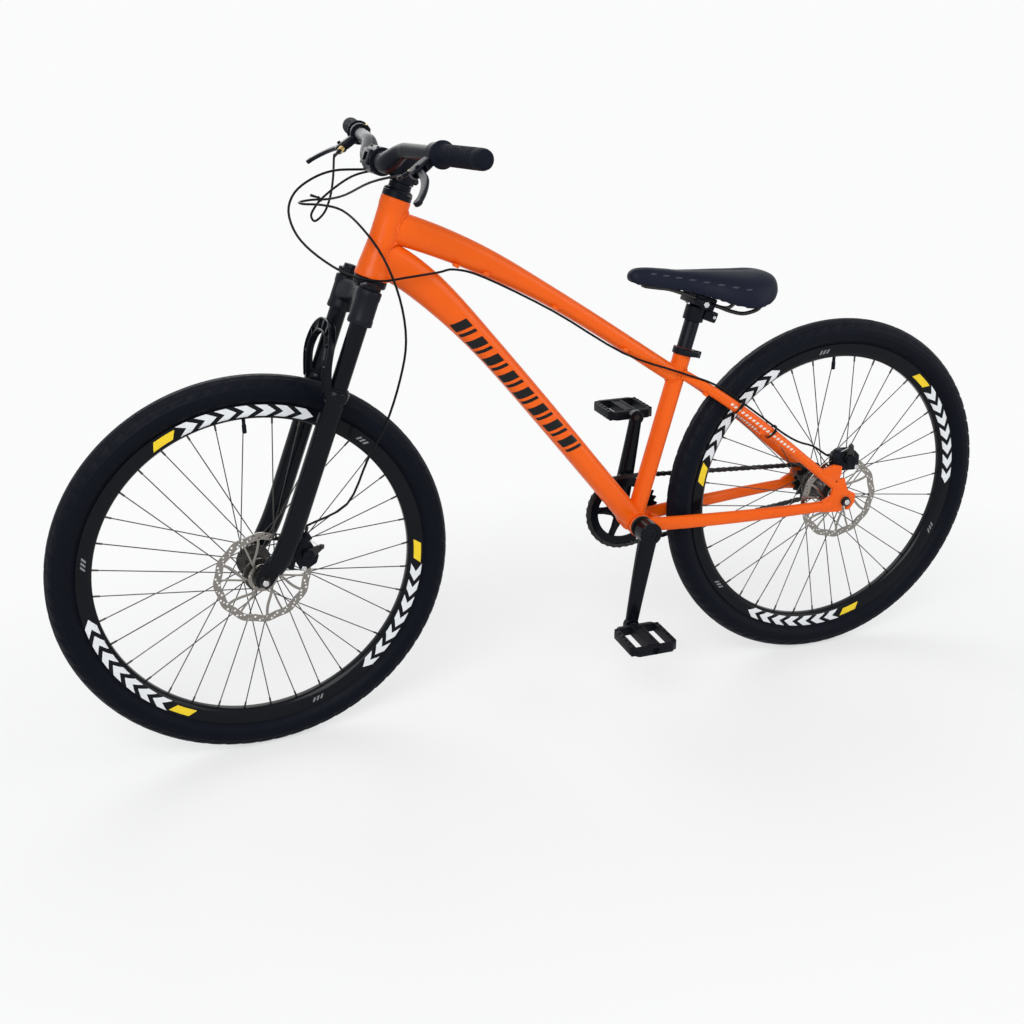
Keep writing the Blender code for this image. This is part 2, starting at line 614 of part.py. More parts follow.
def frame():
    """The welded frame: tubes, stays, bridges, dropouts, the caliper lug and the cable guides."""
    head_axis = head(head_low)
    span = HEAD_TUBE_LENGTH
    head_tube = turned([(HEAD_TUBE_LOW_RADIUS, 0), (HEAD_TUBE_LOW_RADIUS, span * 0.12),
                        (HEAD_TUBE_TOP_RADIUS - 0.001, span * 0.45), (HEAD_TUBE_TOP_RADIUS, span)],
                       18, head_axis, steer_up)
    top_tube = swept(top_tube_path(TUBE_RINGS), eased(TOP_TUBE_SIZES, TUBE_RINGS),
                     TUBE_SIDES, TUBE_SQUARENESS)
    down_start = head(head_low + DOWN_TUBE_RISE)
    down_reach = (down_start - bracket).length
    down_path = bezier(down_start, slope(DOWN_TUBE_HEAD_SLOPE) * -down_reach * DOWN_TUBE_HEAD_PULL,
                       slope(DOWN_TUBE_SLOPE) * down_reach * DOWN_TUBE_LOW_PULL, bracket, TUBE_RINGS)
    down_tube = swept(down_path, eased(DOWN_TUBE_SIZES, TUBE_RINGS), TUBE_SIDES, TUBE_SQUARENESS)
    half = BRACKET_WIDTH / 2
    shell = turned([(BRACKET_RADIUS, -half), (BRACKET_RADIUS, half)], 18, bracket, Y)
    seat_tube = rod(bracket, seat(SEAT_TUBE_LENGTH), SEAT_TUBE_RADIUS, 16)
    solids = [head_tube, shell, seat_tube, down_tube, top_tube]
    for side in (1, -1):
        solids += [seatstay(side), chainstay(side), dropout(side)]
    solids.append(rod(stay_middle(1, True), stay_middle(-1, True), BRIDGE_RADIUS, 8))
    solids.append(rod(stay_middle(1, False), stay_middle(-1, False), BRIDGE_RADIUS, 8))
    solids.append(plate_in_y(REAR_LUG, rear_axle, REAR_HUB_WIDTH / 2, DROPOUT_THICKNESS))
    for place, lift in TOP_GUIDES:
        solids.append(guide(top_tube_path, place, GUIDE_SIDE, lift))
    for place, lift in STAY_HOOKS:
        solids.append(guide(left_stay_path, place, 0, lift))
    cuts = [rod(head(head_low - 0.01), head(head_top + 0.01), STEERER_RADIUS + HEAD_TUBE_WALK, 16),
            rod(bracket - Y * BRACKET_WIDTH, bracket + Y * BRACKET_WIDTH, CARTRIDGE_RADIUS + FIT, 18),
            rod(seat(SEAT_BORE_BOTTOM), seat(SEAT_TUBE_LENGTH + 0.01), SEATPOST_RADIUS + SLIDE, 18)]
    for side in (1, -1):
        cuts += axle_slot(rear_axle, side, REAR_HUB_WIDTH / 2, DROPOUT_THICKNESS, -Z)
    piece("frame", fused(solids, cuts), "frame_paint", bracket)


def slope(degrees):
    """A unit vector that climbs forwards at an angle."""
    return Vector((math.cos(math.radians(degrees)), 0, math.sin(math.radians(degrees))))


def plate_in_y(outline, centre, inner, thickness, side=1):
    """A plate that lies across Y, from (ahead, up) points about a centre."""
    points = [centre + Vector((ahead, side * inner, up)) for ahead, up in outline]
    return slab(points, Y * (side * thickness))


def axle_slot(axle, side, inner, thickness, way):
    """The round end and the open throat of a dropout's slot."""
    radius = AXLE_RADIUS + FIT
    middle = axle + Y * (side * (inner + thickness / 2))
    deep = thickness + 0.004
    across = way.cross(Y)
    throat = block(middle + way * SLOT_REACH / 2, across, way, Y, (radius * 2, SLOT_REACH, deep))
    return [rod(middle - Y * deep / 2, middle + Y * deep / 2, radius, 12), throat]


def stay_path(side, upper, count=STAY_RINGS):
    """The centre line of a seatstay or a chainstay."""
    drop = rear_axle + Y * (side * (REAR_HUB_WIDTH + STAY_END_OUT) / 2)
    if upper:
        start = seat(SEAT_TUBE_LENGTH - SEATSTAY_DROP, 0.004, side * 0.012)
        end = drop + Vector((0.017, 0, 0.028))
        start_pull = Vector((-0.109, side * 0.038, -0.063))
        end_pull = Vector((0.082, side * -0.002, 0.069))
    else:
        start = bracket + Vector((-0.014, side * 0.022, -0.003))
        end = drop + Vector((0.030, 0, -0.006))
        start_pull = Vector((-0.095, side * 0.024, 0.002))
        end_pull = Vector((0.092, side * -0.004, -0.003))
    return bezier(start, start_pull, end_pull, end, count)


def stay_middle(side, upper):
    """Where a bridge meets a stay, ahead of the tyre."""
    return stay_path(side, upper, 11)[1]


def seatstay(side):
    """One seatstay."""
    return swept(stay_path(side, True), eased(SEATSTAY_SIZES, STAY_RINGS), STAY_SIDES)


def chainstay(side):
    """One chainstay."""
    return swept(stay_path(side, False), eased(CHAINSTAY_SIZES, STAY_RINGS), STAY_SIDES)


def dropout(side):
    """One rear dropout, still without its slot."""
    return plate_in_y(DROPOUT_OUTLINE, rear_axle, REAR_HUB_WIDTH / 2, DROPOUT_THICKNESS, side)


def top_tube_path(count):
    """The top tube's centre line, from the head tube back."""
    start = head(head_top - TOP_TUBE_DROP)
    end = seat(SEAT_TUBE_LENGTH - TOP_TUBE_SEAT_DROP)
    reach = (end - start).length / 3
    return bezier(start, slope(TOP_TUBE_HEAD_SLOPE) * -reach, slope(TOP_TUBE_SEAT_SLOPE) * reach, end, count)


def left_stay_path(count):
    """The left seatstay's centre line."""
    return stay_path(1, True, count)


def beside(line, place, aside, lift):
    """A point beside a tube, at a share of its length, with the tube's direction and its upward normal."""
    path = line(FINE)
    index = min(max(round(place * (FINE - 1)), 1), FINE - 2)
    ahead = (path[index - 1] - path[index + 1]).normalized()
    up = (Z - ahead * ahead.z).normalized()
    return path[index] + Y * aside + up * lift, ahead, up


def guide(line, place, aside, lift):
    """A small block that a cable runs under, welded to a tube."""
    spot, ahead, up = beside(line, place, aside, lift)
    return block(spot, ahead, up.cross(ahead), up, GUIDE_SIZE)


def headset():
    """The two bearings in the head tube and the cover that turns with the stem."""
    bore = STEERER_RADIUS + FIT
    lower = turned([(bore, FIT), (HEAD_TUBE_LOW_RADIUS - 0.002, FIT), (HEAD_TUBE_LOW_RADIUS, 0.004),
                    (HEAD_TUBE_LOW_RADIUS, HEADSET_LOW_STACK - FIT), (bore, HEADSET_LOW_STACK - FIT)],
                   16, head(AXLE_TO_CROWN), steer_up, ring=True)
    piece("headset_lower_bearing", lower, "black_alloy", head(AXLE_TO_CROWN))
    ledge = HEADSET_TOP_STACK * 0.4
    upper = turned([(bore, FIT), (HEAD_TUBE_TOP_RADIUS, FIT), (HEAD_TUBE_TOP_RADIUS, ledge),
                    (bore, ledge)], 16, head(head_top), steer_up, ring=True)
    piece("headset_upper_bearing", upper, "black_alloy", head(head_top))
    neck = STEERER_RADIUS + 0.0035
    cover = turned([(bore, ledge + FIT), (HEAD_TUBE_TOP_RADIUS, ledge + FIT), (neck, ledge + 0.006),
                    (neck, HEADSET_TOP_STACK - FIT), (bore, HEADSET_TOP_STACK - FIT)],
                   16, head(head_top), steer_up, ring=True)
    piece("headset_top_cover", cover, "black_alloy", head(head_top), steering_pivot)


def fork_crown():
    """The crown, its two sockets and the steerer, in one piece."""
    leg = LEG_SPACING / 2
    low = AXLE_TO_CROWN - CROWN_DEPTH
    path = []
    sizes = []
    for share, depth, ahead, breadth in CROWN_SECTIONS:
        path.append(head(AXLE_TO_CROWN - depth / 2, ahead, share * leg))
        sizes.append((breadth, depth))
    bridge = swept(path, sizes, 10, 3.0, steer_ahead)
    solids = [bridge, rod(head(AXLE_TO_CROWN - 0.02), head(stem_top - STEERER_SHORT), STEERER_RADIUS, 16),
              rod(head(AXLE_TO_CROWN - 0.008), head(AXLE_TO_CROWN), STEERER_RADIUS + 0.006, 16)]
    cuts = []
    for side in (1, -1):
        solids.append(rod(head(low, LEG_OFFSET, side * leg),
                          head(AXLE_TO_CROWN - 0.001, LEG_OFFSET, side * leg),
                          STANCHION_RADIUS + CROWN_WALL, 12))
        cuts.append(rod(head(low - 0.01, LEG_OFFSET, side * leg),
                        head(AXLE_TO_CROWN + 0.02, LEG_OFFSET, side * leg),
                        STANCHION_RADIUS + FIT, 12))
    piece("fork_crown_and_steerer", fused(solids, cuts), "black_paint", head(AXLE_TO_CROWN), steering_pivot)


def stanchions():
    """The two upper tubes of the fork, the left one's cap and the right one's knob."""
    for side, name in ((1, "left"), (-1, "right")):
        foot_end = head(STANCHION_BOTTOM, LEG_OFFSET, side * LEG_SPACING / 2)
        length = AXLE_TO_CROWN - STANCHION_BOTTOM
        bore = STANCHION_RADIUS - STANCHION_WALL
        shaft = turned([(bore, length - 0.02), (bore, 0), (STANCHION_RADIUS, 0), (STANCHION_RADIUS, length)],
                       12, foot_end, steer_up)
        piece(f"{name}_stanchion", shaft, "black_paint", foot_end, steering_pivot)
        top = head(AXLE_TO_CROWN + FIT, LEG_OFFSET, side * LEG_SPACING / 2)
        if side > 0:
            cap = turned([(0.0165, 0), (0.0165, 0.004), (0.010, 0.008)], 14, top, steer_up)
            piece("left_fork_cap", cap, "black_alloy", top, steering_pivot)
        else:
            knob = turned([(0.0165, 0), (KNOB_RADIUS, 0.004), (KNOB_RADIUS, 0.010), (0.014, 0.011),
                           (0.012, 0.018)], 14, top, steer_up)
            piece("preload_knob", knob, "black_alloy", top, steering_pivot)


def fork_lowers():
    """Both lower legs with their seals, the arch, the dropouts and the caliper lug."""
    leg = LEG_SPACING / 2
    solids = []
    cuts = []
    for side in (1, -1):
        path = [head(up, ahead, side * leg) for up, ahead in LEG_LINE]
        solids.append(swept(path, LEG_SIZES, 12))
        collar = head(LOWER_LEG_TOP - 0.018, LEG_OFFSET, side * leg)
        solids.append(turned([(LOWER_LEG_RADIUS + 0.002, 0), (LOWER_LEG_RADIUS + 0.0025, 0.018),
                              (STANCHION_RADIUS + 0.003, 0.022)], 10, collar, steer_up))
        outline = [head(up, ahead, side * FRONT_HUB_WIDTH / 2) for up, ahead in FORK_TAB]
        solids.append(slab(outline, Y * (side * FORK_TAB_THICKNESS)))
        cuts.append(rod(head(LEG_BORE_BOTTOM, LEG_OFFSET, side * leg),
                        head(LOWER_LEG_TOP + 0.02, LEG_OFFSET, side * leg),
                        STANCHION_RADIUS + SLIDE * 2, 12))
        cuts += axle_slot(front_axle, side, FRONT_HUB_WIDTH / 2, FORK_TAB_THICKNESS, -steer_up)
    arch_path = [head(LOWER_LEG_TOP + up, ahead, side * leg) for side, up, ahead in ARCH_LINE]
    arch_sizes = [(ARCH_THICKNESS, ARCH_DEPTH)] * len(arch_path)
    solids.append(swept(arch_path, arch_sizes, 10, 3.0, steer_ahead))
    solids.append(plate_in_y(FRONT_LUG, front_axle, FRONT_HUB_WIDTH / 2, FORK_TAB_THICKNESS - 0.001))
    piece("fork_lowers", fused(solids, cuts), "black_paint", front_axle, steering_pivot)


def axle_set(end, axle, width, tab, holder):
    """A threaded axle and its two nuts."""
    reach = width / 2 + tab + NUT_THICKNESS + 0.002
    rod_mesh = rod(axle - Y * reach, axle + Y * reach, AXLE_RADIUS, 12)
    piece(f"{end}_axle", rod_mesh, "steel", axle, holder)
    for side, name in ((1, "left"), (-1, "right")):
        face = width / 2 + tab + FIT
        bore = (AXLE_RADIUS + FIT) / math.cos(math.pi / 6)
        nut = turned([(bore, face), (NUT_RADIUS + 0.001, face), (NUT_RADIUS + 0.001, face + 0.0015),
                      (NUT_RADIUS, face + 0.0016), (NUT_RADIUS, face + NUT_THICKNESS),
                      (bore, face + NUT_THICKNESS)], 6, axle, Y * side, ring=True)
        piece(f"{end}_{name}_nut", nut, "steel", axle + Y * (side * face), holder)


def cable_stop(axle, angle, outer, pull_angle):
    """The middle of a caliper's cable stop, and the way the cable runs into it."""
    turn = math.radians(angle)
    away = Vector((math.cos(turn), 0, math.sin(turn)))
    round_way = Vector((-math.sin(turn), 0, math.cos(turn)))
    hinge = axle + away * CALIPER_HINGE + Y * outer
    way = math.radians(pull_angle)
    pull = Vector((math.cos(way), 0, math.sin(way)))
    return hinge + away * STOP_AWAY - round_way * STOP_ROUND + Y * ARM_THICKNESS / 2, pull


def caliper(end, axle, angle, rotor_y, outer, pull_angle, holder):
    """A cable disc caliper: its body round the rotor, and the arm that the cable pulls."""
    turn = math.radians(angle)
    away = Vector((math.cos(turn), 0, math.sin(turn)))
    round_way = Vector((-math.sin(turn), 0, math.cos(turn)))
    inner = rotor_y - CALIPER_INNER
    outline = [axle + away * (CALIPER_NEAR + u * CALIPER_DEPTH) + round_way * (v * CALIPER_LENGTH / 2)
               + Y * inner for u, v in CALIPER_OUTLINE]
    body = slab(outline, Y * (outer - inner))
    gap = ROTOR_THICKNESS / 2 + PAD_GAP
    slot_deep = ROTOR_RADIUS + 0.0025 - CALIPER_NEAR + 0.02
    slot = block(axle + away * (ROTOR_RADIUS + 0.0025 - slot_deep / 2) + Y * rotor_y, away, round_way, Y,
                 (slot_deep, CALIPER_LENGTH * 1.2, gap * 2))
    hinge = axle + away * CALIPER_HINGE + Y * outer
    stub = rod(hinge - Y * 0.002, hinge + Y * (ARM_THICKNESS + 0.003), ARM_STUB, 12)
    knob = rod(hinge + Y * (ARM_THICKNESS + 0.0012), hinge + Y * (ARM_THICKNESS + 0.007), ARM_STUB * 1.9, 10)
    stop_at, pull = cable_stop(axle, angle, outer, pull_angle)
    lug = block(hinge + away * (STOP_AWAY / 2 + 0.006) - round_way * (STOP_ROUND - 0.004) - Y * 0.0005,
                away, round_way, Y, (0.017, 0.010, 0.012))
    stop = rod(stop_at + pull * 0.004, stop_at - pull * STOP_BACK, STOP_RADIUS, 10)
    piece(f"{end}_caliper", fused([body, stub, knob, lug, stop], [slot]), "black_alloy", hinge, holder)
    arm_face = hinge + Y * 0.0006
    tip = arm_face + away * ARM_LENGTH
    across = away.cross(Y)
    wide = ARM_STUB * 1.9
    corners = [arm_face + across * wide, tip + across * 0.004, tip + away * 0.004, tip - across * 0.004,
               arm_face - across * wide, arm_face - away * wide]
    hole = rod(hinge - Y * 0.01, hinge + Y * 0.02, ARM_STUB + FIT, 12)
    arm = fused([slab(corners, Y * ARM_THICKNESS)], [hole])
    piece(f"{end}_caliper_arm", arm, "dark_steel", hinge, holder)


def bar_point(side):
    """The centre of the handlebar at a distance from its middle, to the left or to the right."""
    out = abs(side)
    share = min(max((out - BAR_BEND_START) / (BAR_BEND_END - BAR_BEND_START), 0), 1)
    easing = share * share * (3 - 2 * share)
    past = max(out - BAR_BEND_END, 0)
    back = BAR_BEND_BACK * easing + math.tan(math.radians(BACKSWEEP)) * past
    rise = BAR_RISE * easing + math.tan(math.radians(UPSWEEP)) * past
    return bar_centre + Vector((-back, side, rise))


def handlebar():
    """The handlebar: a rising tube that is thicker at its clamp."""
    half = BAR_WIDTH / 2
    outs = [half, BAR_BEND_END, 0.080, 0.064, 0.048, BAR_BEND_START, 0.026]
    sides = outs + [0] + [-out for out in reversed(outs)]
    path = [bar_point(side) for side in sides]
    thick = 2 * BAR_RADIUS
    clamp = 2 * BAR_CLAMP_RADIUS
    swell = [thick, thick, thick * 1.14, thick * 1.28, clamp, clamp, clamp]
    sizes = [(size, size) for size in swell + [clamp] + swell[::-1]]
    piece("handlebar", swept(path, sizes, 12, 2.0, X), "black_alloy", bar_centre, steering_pivot)


def grip(side, name):
    """One rubber grip with its inner flange."""
    start = bar_point(side * (BAR_WIDTH / 2 - GRIP_LENGTH))
    end = bar_point(side * BAR_WIDTH / 2)
    line = (end - start)
    long = line.length
    bore = BAR_RADIUS + FIT
    sleeve = turned([(bore, long + FIT), (bore, 0), (GRIP_FLANGE_RADIUS, 0), (GRIP_FLANGE_RADIUS, 0.006),
                     (GRIP_RADIUS, 0.012), (GRIP_RADIUS, long * 0.92),
                     (GRIP_RADIUS - 0.001, long + 0.002), (GRIP_RADIUS - 0.006, long + 0.004)],
                    14, start, line.normalized())
    piece(f"{name}_grip", sleeve, "grip_rubber", start, steering_pivot)


def lever_frame(side):
    """The brake lever's own origin on the bar, its way out along the bar, its way fore and its normal."""
    spot = bar_point(side * PERCH_OUT)
    out = (bar_point(side * BAR_WIDTH / 2) - spot).normalized()
    level = (X - out * out.dot(X)).normalized()
    turn = Quaternion(Y, math.radians(LEVER_DROP))
    fore = turn @ level
    fore = (fore - out * out.dot(fore)).normalized()
    return spot, out, fore, fore.cross(out) * side


def barrel_ends(side):
    """The two ends of the barrel that the brake cable leaves the lever by."""
    spot, out, fore, normal = lever_frame(side)
    return [spot + fore * ahead + out * aside for ahead, aside in (BARREL_START, BARREL_END)]


def brake_lever(side, name):
    """One lever's perch on the bar, and the lever on its pin."""
    spot, out, fore, normal = lever_frame(side)
    half = PERCH_WIDTH / 2
    ring = turned([(BAR_RADIUS + FIT, -half), (PERCH_RADIUS, -half), (PERCH_RADIUS, half),
                   (BAR_RADIUS + FIT, half)], 14, spot, out, ring=True)
    body = block(spot + fore * PERCH_BODY_FORE - out * PERCH_BODY_IN, fore, out, normal, PERCH_BODY)
    pivot = spot + fore * LEVER_PIVOT_FORE + out * LEVER_PIVOT_OUT
    slot = block(pivot + fore * PERCH_SLOT_FORE + out * PERCH_SLOT_OUT, fore, out, normal,
                 (PERCH_SLOT, PERCH_SLOT, LEVER_THICKNESS + 2 * SLIDE))
    pin = rod(pivot - normal * LEVER_PIN_HALF, pivot + normal * LEVER_PIN_HALF, LEVER_PIN_RADIUS, 8)
    barrel = rod(*barrel_ends(side), BARREL_RADIUS, 6)
    perch = fused([ring, body], [slot])
    perch = fused([perch, pin, barrel])
    piece(f"{name}_lever_perch", perch, "black_alloy", spot, steering_pivot)
    path = [spot + out * a + fore * b for a, b in LEVER_LINE]
    sizes = [(LEVER_THICKNESS, depth) for depth in LEVER_DEPTHS]
    eye = rod(pivot - normal * LEVER_THICKNESS / 2, pivot + normal * LEVER_THICKNESS / 2,
              LEVER_EYE_RADIUS, 12)
    hole = rod(pivot - normal * 0.01, pivot + normal * 0.01, LEVER_PIN_RADIUS + FIT * 2, 8)
    lever = fused([swept(path, sizes, 8, 3.0, normal), eye], [hole])
    piece(f"{name}_brake_lever", lever, "black_alloy", pivot, steering_pivot)


def stem():
    """The stem, its face plate and its top cap."""
    middle = head(stem_middle)
    reach = bar_centre - middle
    ahead = (reach - Y * reach.y).normalized()
    above = ahead.cross(Y) * (1 if ahead.cross(Y).z > 0 else -1)
    outer = STEERER_RADIUS + STEM_WALL
    clamp = rod(head(cover_top), head(stem_top), outer, 16)
    arm = swept([middle + ahead * 0.008, middle + ahead * STEM_REACH * 0.5, bar_centre - ahead * 0.010],
                [(0.034, STEM_HEIGHT * 0.86), (0.030, STEM_HEIGHT * 0.72), (0.040, STEM_HEIGHT * 0.8)],
                12, 3.0)
    half = STEM_FACE_WIDTH / 2
    clasp = rod(bar_centre - Y * half, bar_centre + Y * half, BAR_CLAMP_RADIUS + STEM_WALL, 16)
    bar_hole = rod(bar_centre - Y * half * 1.2, bar_centre + Y * half * 1.2, BAR_CLAMP_RADIUS + FIT, 20)
    steerer_hole = rod(head(cover_top - 0.01), head(stem_top + 0.01), STEERER_RADIUS + FIT, 18)
    clear = (FACE_CUT, STEM_FACE_WIDTH * 1.2, FACE_CUT)
    front = block(bar_centre + ahead * (FACE_CUT / 2 - FACE_GAP), ahead, Y, above, clear)
    back = block(bar_centre - ahead * (FACE_CUT / 2 - FACE_GAP), ahead, Y, above, clear)
    mesh = fused([clamp, arm, clasp], [bar_hole, steerer_hole, front])
    piece("stem", mesh, "black_alloy", middle, steering_pivot)
    plate_clasp = rod(bar_centre - Y * half, bar_centre + Y * half, BAR_CLAMP_RADIUS + STEM_WALL, 16)
    pad = block(bar_centre + ahead * (BAR_CLAMP_RADIUS + STEM_WALL / 2), ahead, Y, above,
                (STEM_WALL + 0.002, STEM_FACE_WIDTH * 0.8, 0.024))
    hole = rod(bar_centre - Y * half * 1.2, bar_centre + Y * half * 1.2, BAR_CLAMP_RADIUS + FIT, 20)
    face = fused([plate_clasp, pad], [hole, back])
    piece("stem_faceplate", face, "black_alloy", bar_centre, steering_pivot)
    brim = outer - 0.001
    cap = turned([(0.010, -0.0025), (0.010, FIT), (brim, FIT), (brim, 0.003), (0.005, 0.0045)],
                 12, head(stem_top), steer_up)
    piece("stem_cap", cap, "black_alloy", head(stem_top), steering_pivot)


def bottom_bracket():
    """The cartridge in the bracket shell, whose cups show on both sides."""
    half = BRACKET_WIDTH / 2 + FIT
    bore = SPINDLE_RADIUS + SLIDE
    shell = turned([(bore, -half - 0.003), (BRACKET_RADIUS, -half - 0.003), (BRACKET_RADIUS, -half),
                    (CARTRIDGE_RADIUS, -half), (CARTRIDGE_RADIUS, half), (BRACKET_RADIUS, half),
                    (BRACKET_RADIUS, half + 0.003), (bore, half + 0.003)], 12, bracket, Y, ring=True)
    piece("bottom_bracket_cartridge", shell, "dark_steel", bracket)


def crank(side, name):
    """A crank arm from its boss on the spindle to its pedal eye."""
    lean = math.radians(CRANK_LEAN)
    down = Vector((math.sin(lean), 0, -math.cos(lean))) * side
    inner = Y * (side * CRANK_INNER_Y)
    boss_out = Y * (side * CRANK_BOSS_WIDTH)
    boss = rod(bracket + inner, bracket + inner + boss_out, CRANK_BOSS_RADIUS, 16)
    eye_y = Y * (side * (CRANK_INNER_Y + CRANK_FLARE))
    eye = bracket + down * CRANK_LENGTH + eye_y
    thick = Y * (side * CRANK_THICKNESS)
    eye_solid = rod(eye, eye + thick, CRANK_EYE_RADIUS, 12)
    starts = bracket + inner + boss_out * 0.58
    ends = eye + thick / 2
    path = [starts + (ends - starts) * share + Y * (side * bulge) for share, bulge in
            ((0.02, 0), (0.3, -0.001), (0.7, -0.001), (1.0, 0))]
    sizes = [(0.022, 0.033), (0.017, 0.031), (CRANK_THICKNESS + 0.001, 0.0265), (CRANK_THICKNESS, 0.023)]
    solids = [boss, eye_solid, swept(path, sizes, 10, 3.2)]
    if side < 0:
        solids += spider_arms()
    cuts = [rod(bracket, bracket + Y * (side * 0.12), SPINDLE_RADIUS + FIT, 12),
            rod(eye - thick, eye + thick * 2, PEDAL_AXLE_RADIUS + FIT, 12)]
    piece(f"{name}_crank", fused(solids, cuts), "black_paint", bracket)
    return eye, thick


def spider_arms():
    arms = []
    plane = bracket - Y * (CHAINLINE + TOOTH_THICKNESS / 2 + FIT)
    for count in range(SPIDER_ARMS):
        angle = 2 * math.pi * count / SPIDER_ARMS + math.radians(90 - CRANK_LEAN)
        away = Vector((math.cos(angle), 0, math.sin(angle)))
        across = away.cross(Y)
        root = plane + away * (CRANK_BOSS_RADIUS * 0.6)
        tip = plane + away * SPIDER_RADIUS
        outline = [root + across * 0.011, tip + across * 0.006, tip - across * 0.006, root - across * 0.011]
        arms.append(slab(outline, Y * -SPIDER_THICKNESS))
    return arms


def toothed_ring(teeth, pitch_radius, bore, centre):
    """A flat toothed ring across Y."""
    tip = pitch_radius + TOOTH_ABOVE_PITCH
    root = pitch_radius - ROLLER_RADIUS
    outline = []
    for tooth in range(teeth):
        for radius, share in ((root, 0.0), (tip, 0.5)):
            angle = 2 * math.pi * (tooth + share) / teeth
            point = Vector((math.cos(angle) * radius, -TOOTH_THICKNESS / 2, math.sin(angle) * radius))
            outline.append(centre + point)
    hole = rod(centre - Y * 0.02, centre + Y * 0.02, bore, 16)
    return fused([slab(outline, Y * TOOTH_THICKNESS)], [hole])


def drive():
    """Spindle, cranks, chainring, sprocket, pedals and chain."""
    bottom_bracket()
    half = CRANK_INNER_Y + CRANK_BOSS_WIDTH - 0.002
    piece("crank_spindle", rod(bracket - Y * half, bracket + Y * half, SPINDLE_RADIUS, 12), "steel", bracket)
    for side, name in ((1, "left"), (-1, "right")):
        eye, thick = crank(side, name)
        pedal(side, name, eye, thick)
    ring_centre = bracket - Y * CHAINLINE
    chainring = toothed_ring(CHAINRING_TEETH, chain_pitch_radius, CHAINRING_BORE, ring_centre)
    piece("chainring", chainring, "black_paint", ring_centre)
    cog_centre = rear_axle - Y * CHAINLINE
    cog = toothed_ring(SPROCKET_TEETH, sprocket_pitch_radius, ROTOR_SEAT_RADIUS + SLIDE, cog_centre)
    drum = turned([(ROTOR_SEAT_RADIUS + SLIDE, -FREEWHEEL_OUT), (FREEWHEEL_RADIUS, -FREEWHEEL_OUT),
                   (FREEWHEEL_RADIUS, FREEWHEEL_IN), (ROTOR_SEAT_RADIUS + SLIDE, FREEWHEEL_IN)],
                  14, cog_centre, Y, ring=True)
    piece("rear_sprocket", fused([cog, drum]), "dark_steel", cog_centre)
    chain(ring_centre, cog_centre)


def chain(front, rear):
    """The chain's loop: a channel that the teeth run in, bent at each pin on the two wheels."""
    line = rear - front
    heading = math.atan2(line.z, line.x)
    wrap = math.acos((chain_pitch_radius - sprocket_pitch_radius) / line.length)
    front_steps = round((math.pi - wrap) / (math.pi / CHAINRING_TEETH))
    rear_steps = round(wrap / (math.pi / SPROCKET_TEETH))
    places = []
    for step in range(front_steps + 1):
        angle = heading + wrap + (2 * math.pi - 2 * wrap) * step / front_steps
        places.append((front, chain_pitch_radius, angle))
    for step in range(rear_steps + 1):
        angle = heading - wrap + 2 * wrap * step / rear_steps
        places.append((rear, sprocket_pitch_radius, angle))
    outer = CHAIN_WIDTH / 2
    inner = TOOTH_THICKNESS / 2 + SLIDE
    low = -CHAIN_HEIGHT / 2
    high = CHAIN_HEIGHT / 2
    roof = TOOTH_ABOVE_PITCH + FIT * 3
    section = [(high, -outer), (high, outer), (low, outer), (low, inner), (roof, inner), (roof, -inner),
               (low, -inner), (low, -outer)]
    rings = []
    for centre, radius, angle in places:
        away = Vector((math.cos(angle), 0, math.sin(angle)))
        rings.append([centre + away * (radius + lift) + Y * side for lift, side in section])
    piece("chain", loft(rings, closed=True), "dark_steel", front)


def pedal(side, name, eye, thick):
    """A platform pedal with two windows, on its own axle in the crank's eye."""
    out = Y * side
    start = eye + thick * 0.1
    collar = eye + thick + out * FIT
    body_start = collar + out * PEDAL_COLLAR
    end = body_start + out * (PEDAL_LENGTH - 0.006)
    axle = fused([rod(start, end, PEDAL_AXLE_RADIUS, 12), rod(collar, body_start - out * SLIDE, 0.009, 12)])
    piece(f"{name}_pedal_axle", axle, "dark_steel", eye)
    middle = body_start + out * PEDAL_LENGTH / 2
    half_x = PEDAL_WIDTH / 2
    half_y = PEDAL_LENGTH / 2
    cut = 0.012
    outline = [(half_x - cut, -half_y), (half_x, -half_y + cut), (half_x, half_y - cut),
               (half_x - cut, half_y), (cut - half_x, half_y), (-half_x, half_y - cut),
               (-half_x, cut - half_y), (cut - half_x, -half_y)]
    low = middle - Z * PEDAL_THICKNESS / 2
    platform = slab([low + X * a + Y * b for a, b in outline], Z * PEDAL_THICKNESS)
    windows = []
    depth = half_x - PEDAL_RAIL - PEDAL_BARREL
    for way in (1, -1):
        centre = middle + X * (way * (PEDAL_BARREL + depth / 2))
        windows.append(block(centre, X, Y, Z, (depth, PEDAL_LENGTH - 2 * PEDAL_RAIL, PEDAL_THICKNESS * 2)))
    bore = rod(body_start - out * 0.01, end + out * 0.0015, PEDAL_AXLE_RADIUS + SLIDE, 12)
    mesh = fused([platform], windows + [bore])
    piece(f"{name}_pedal", mesh, "plastic", Vector((eye.x, middle.y, eye.z)))


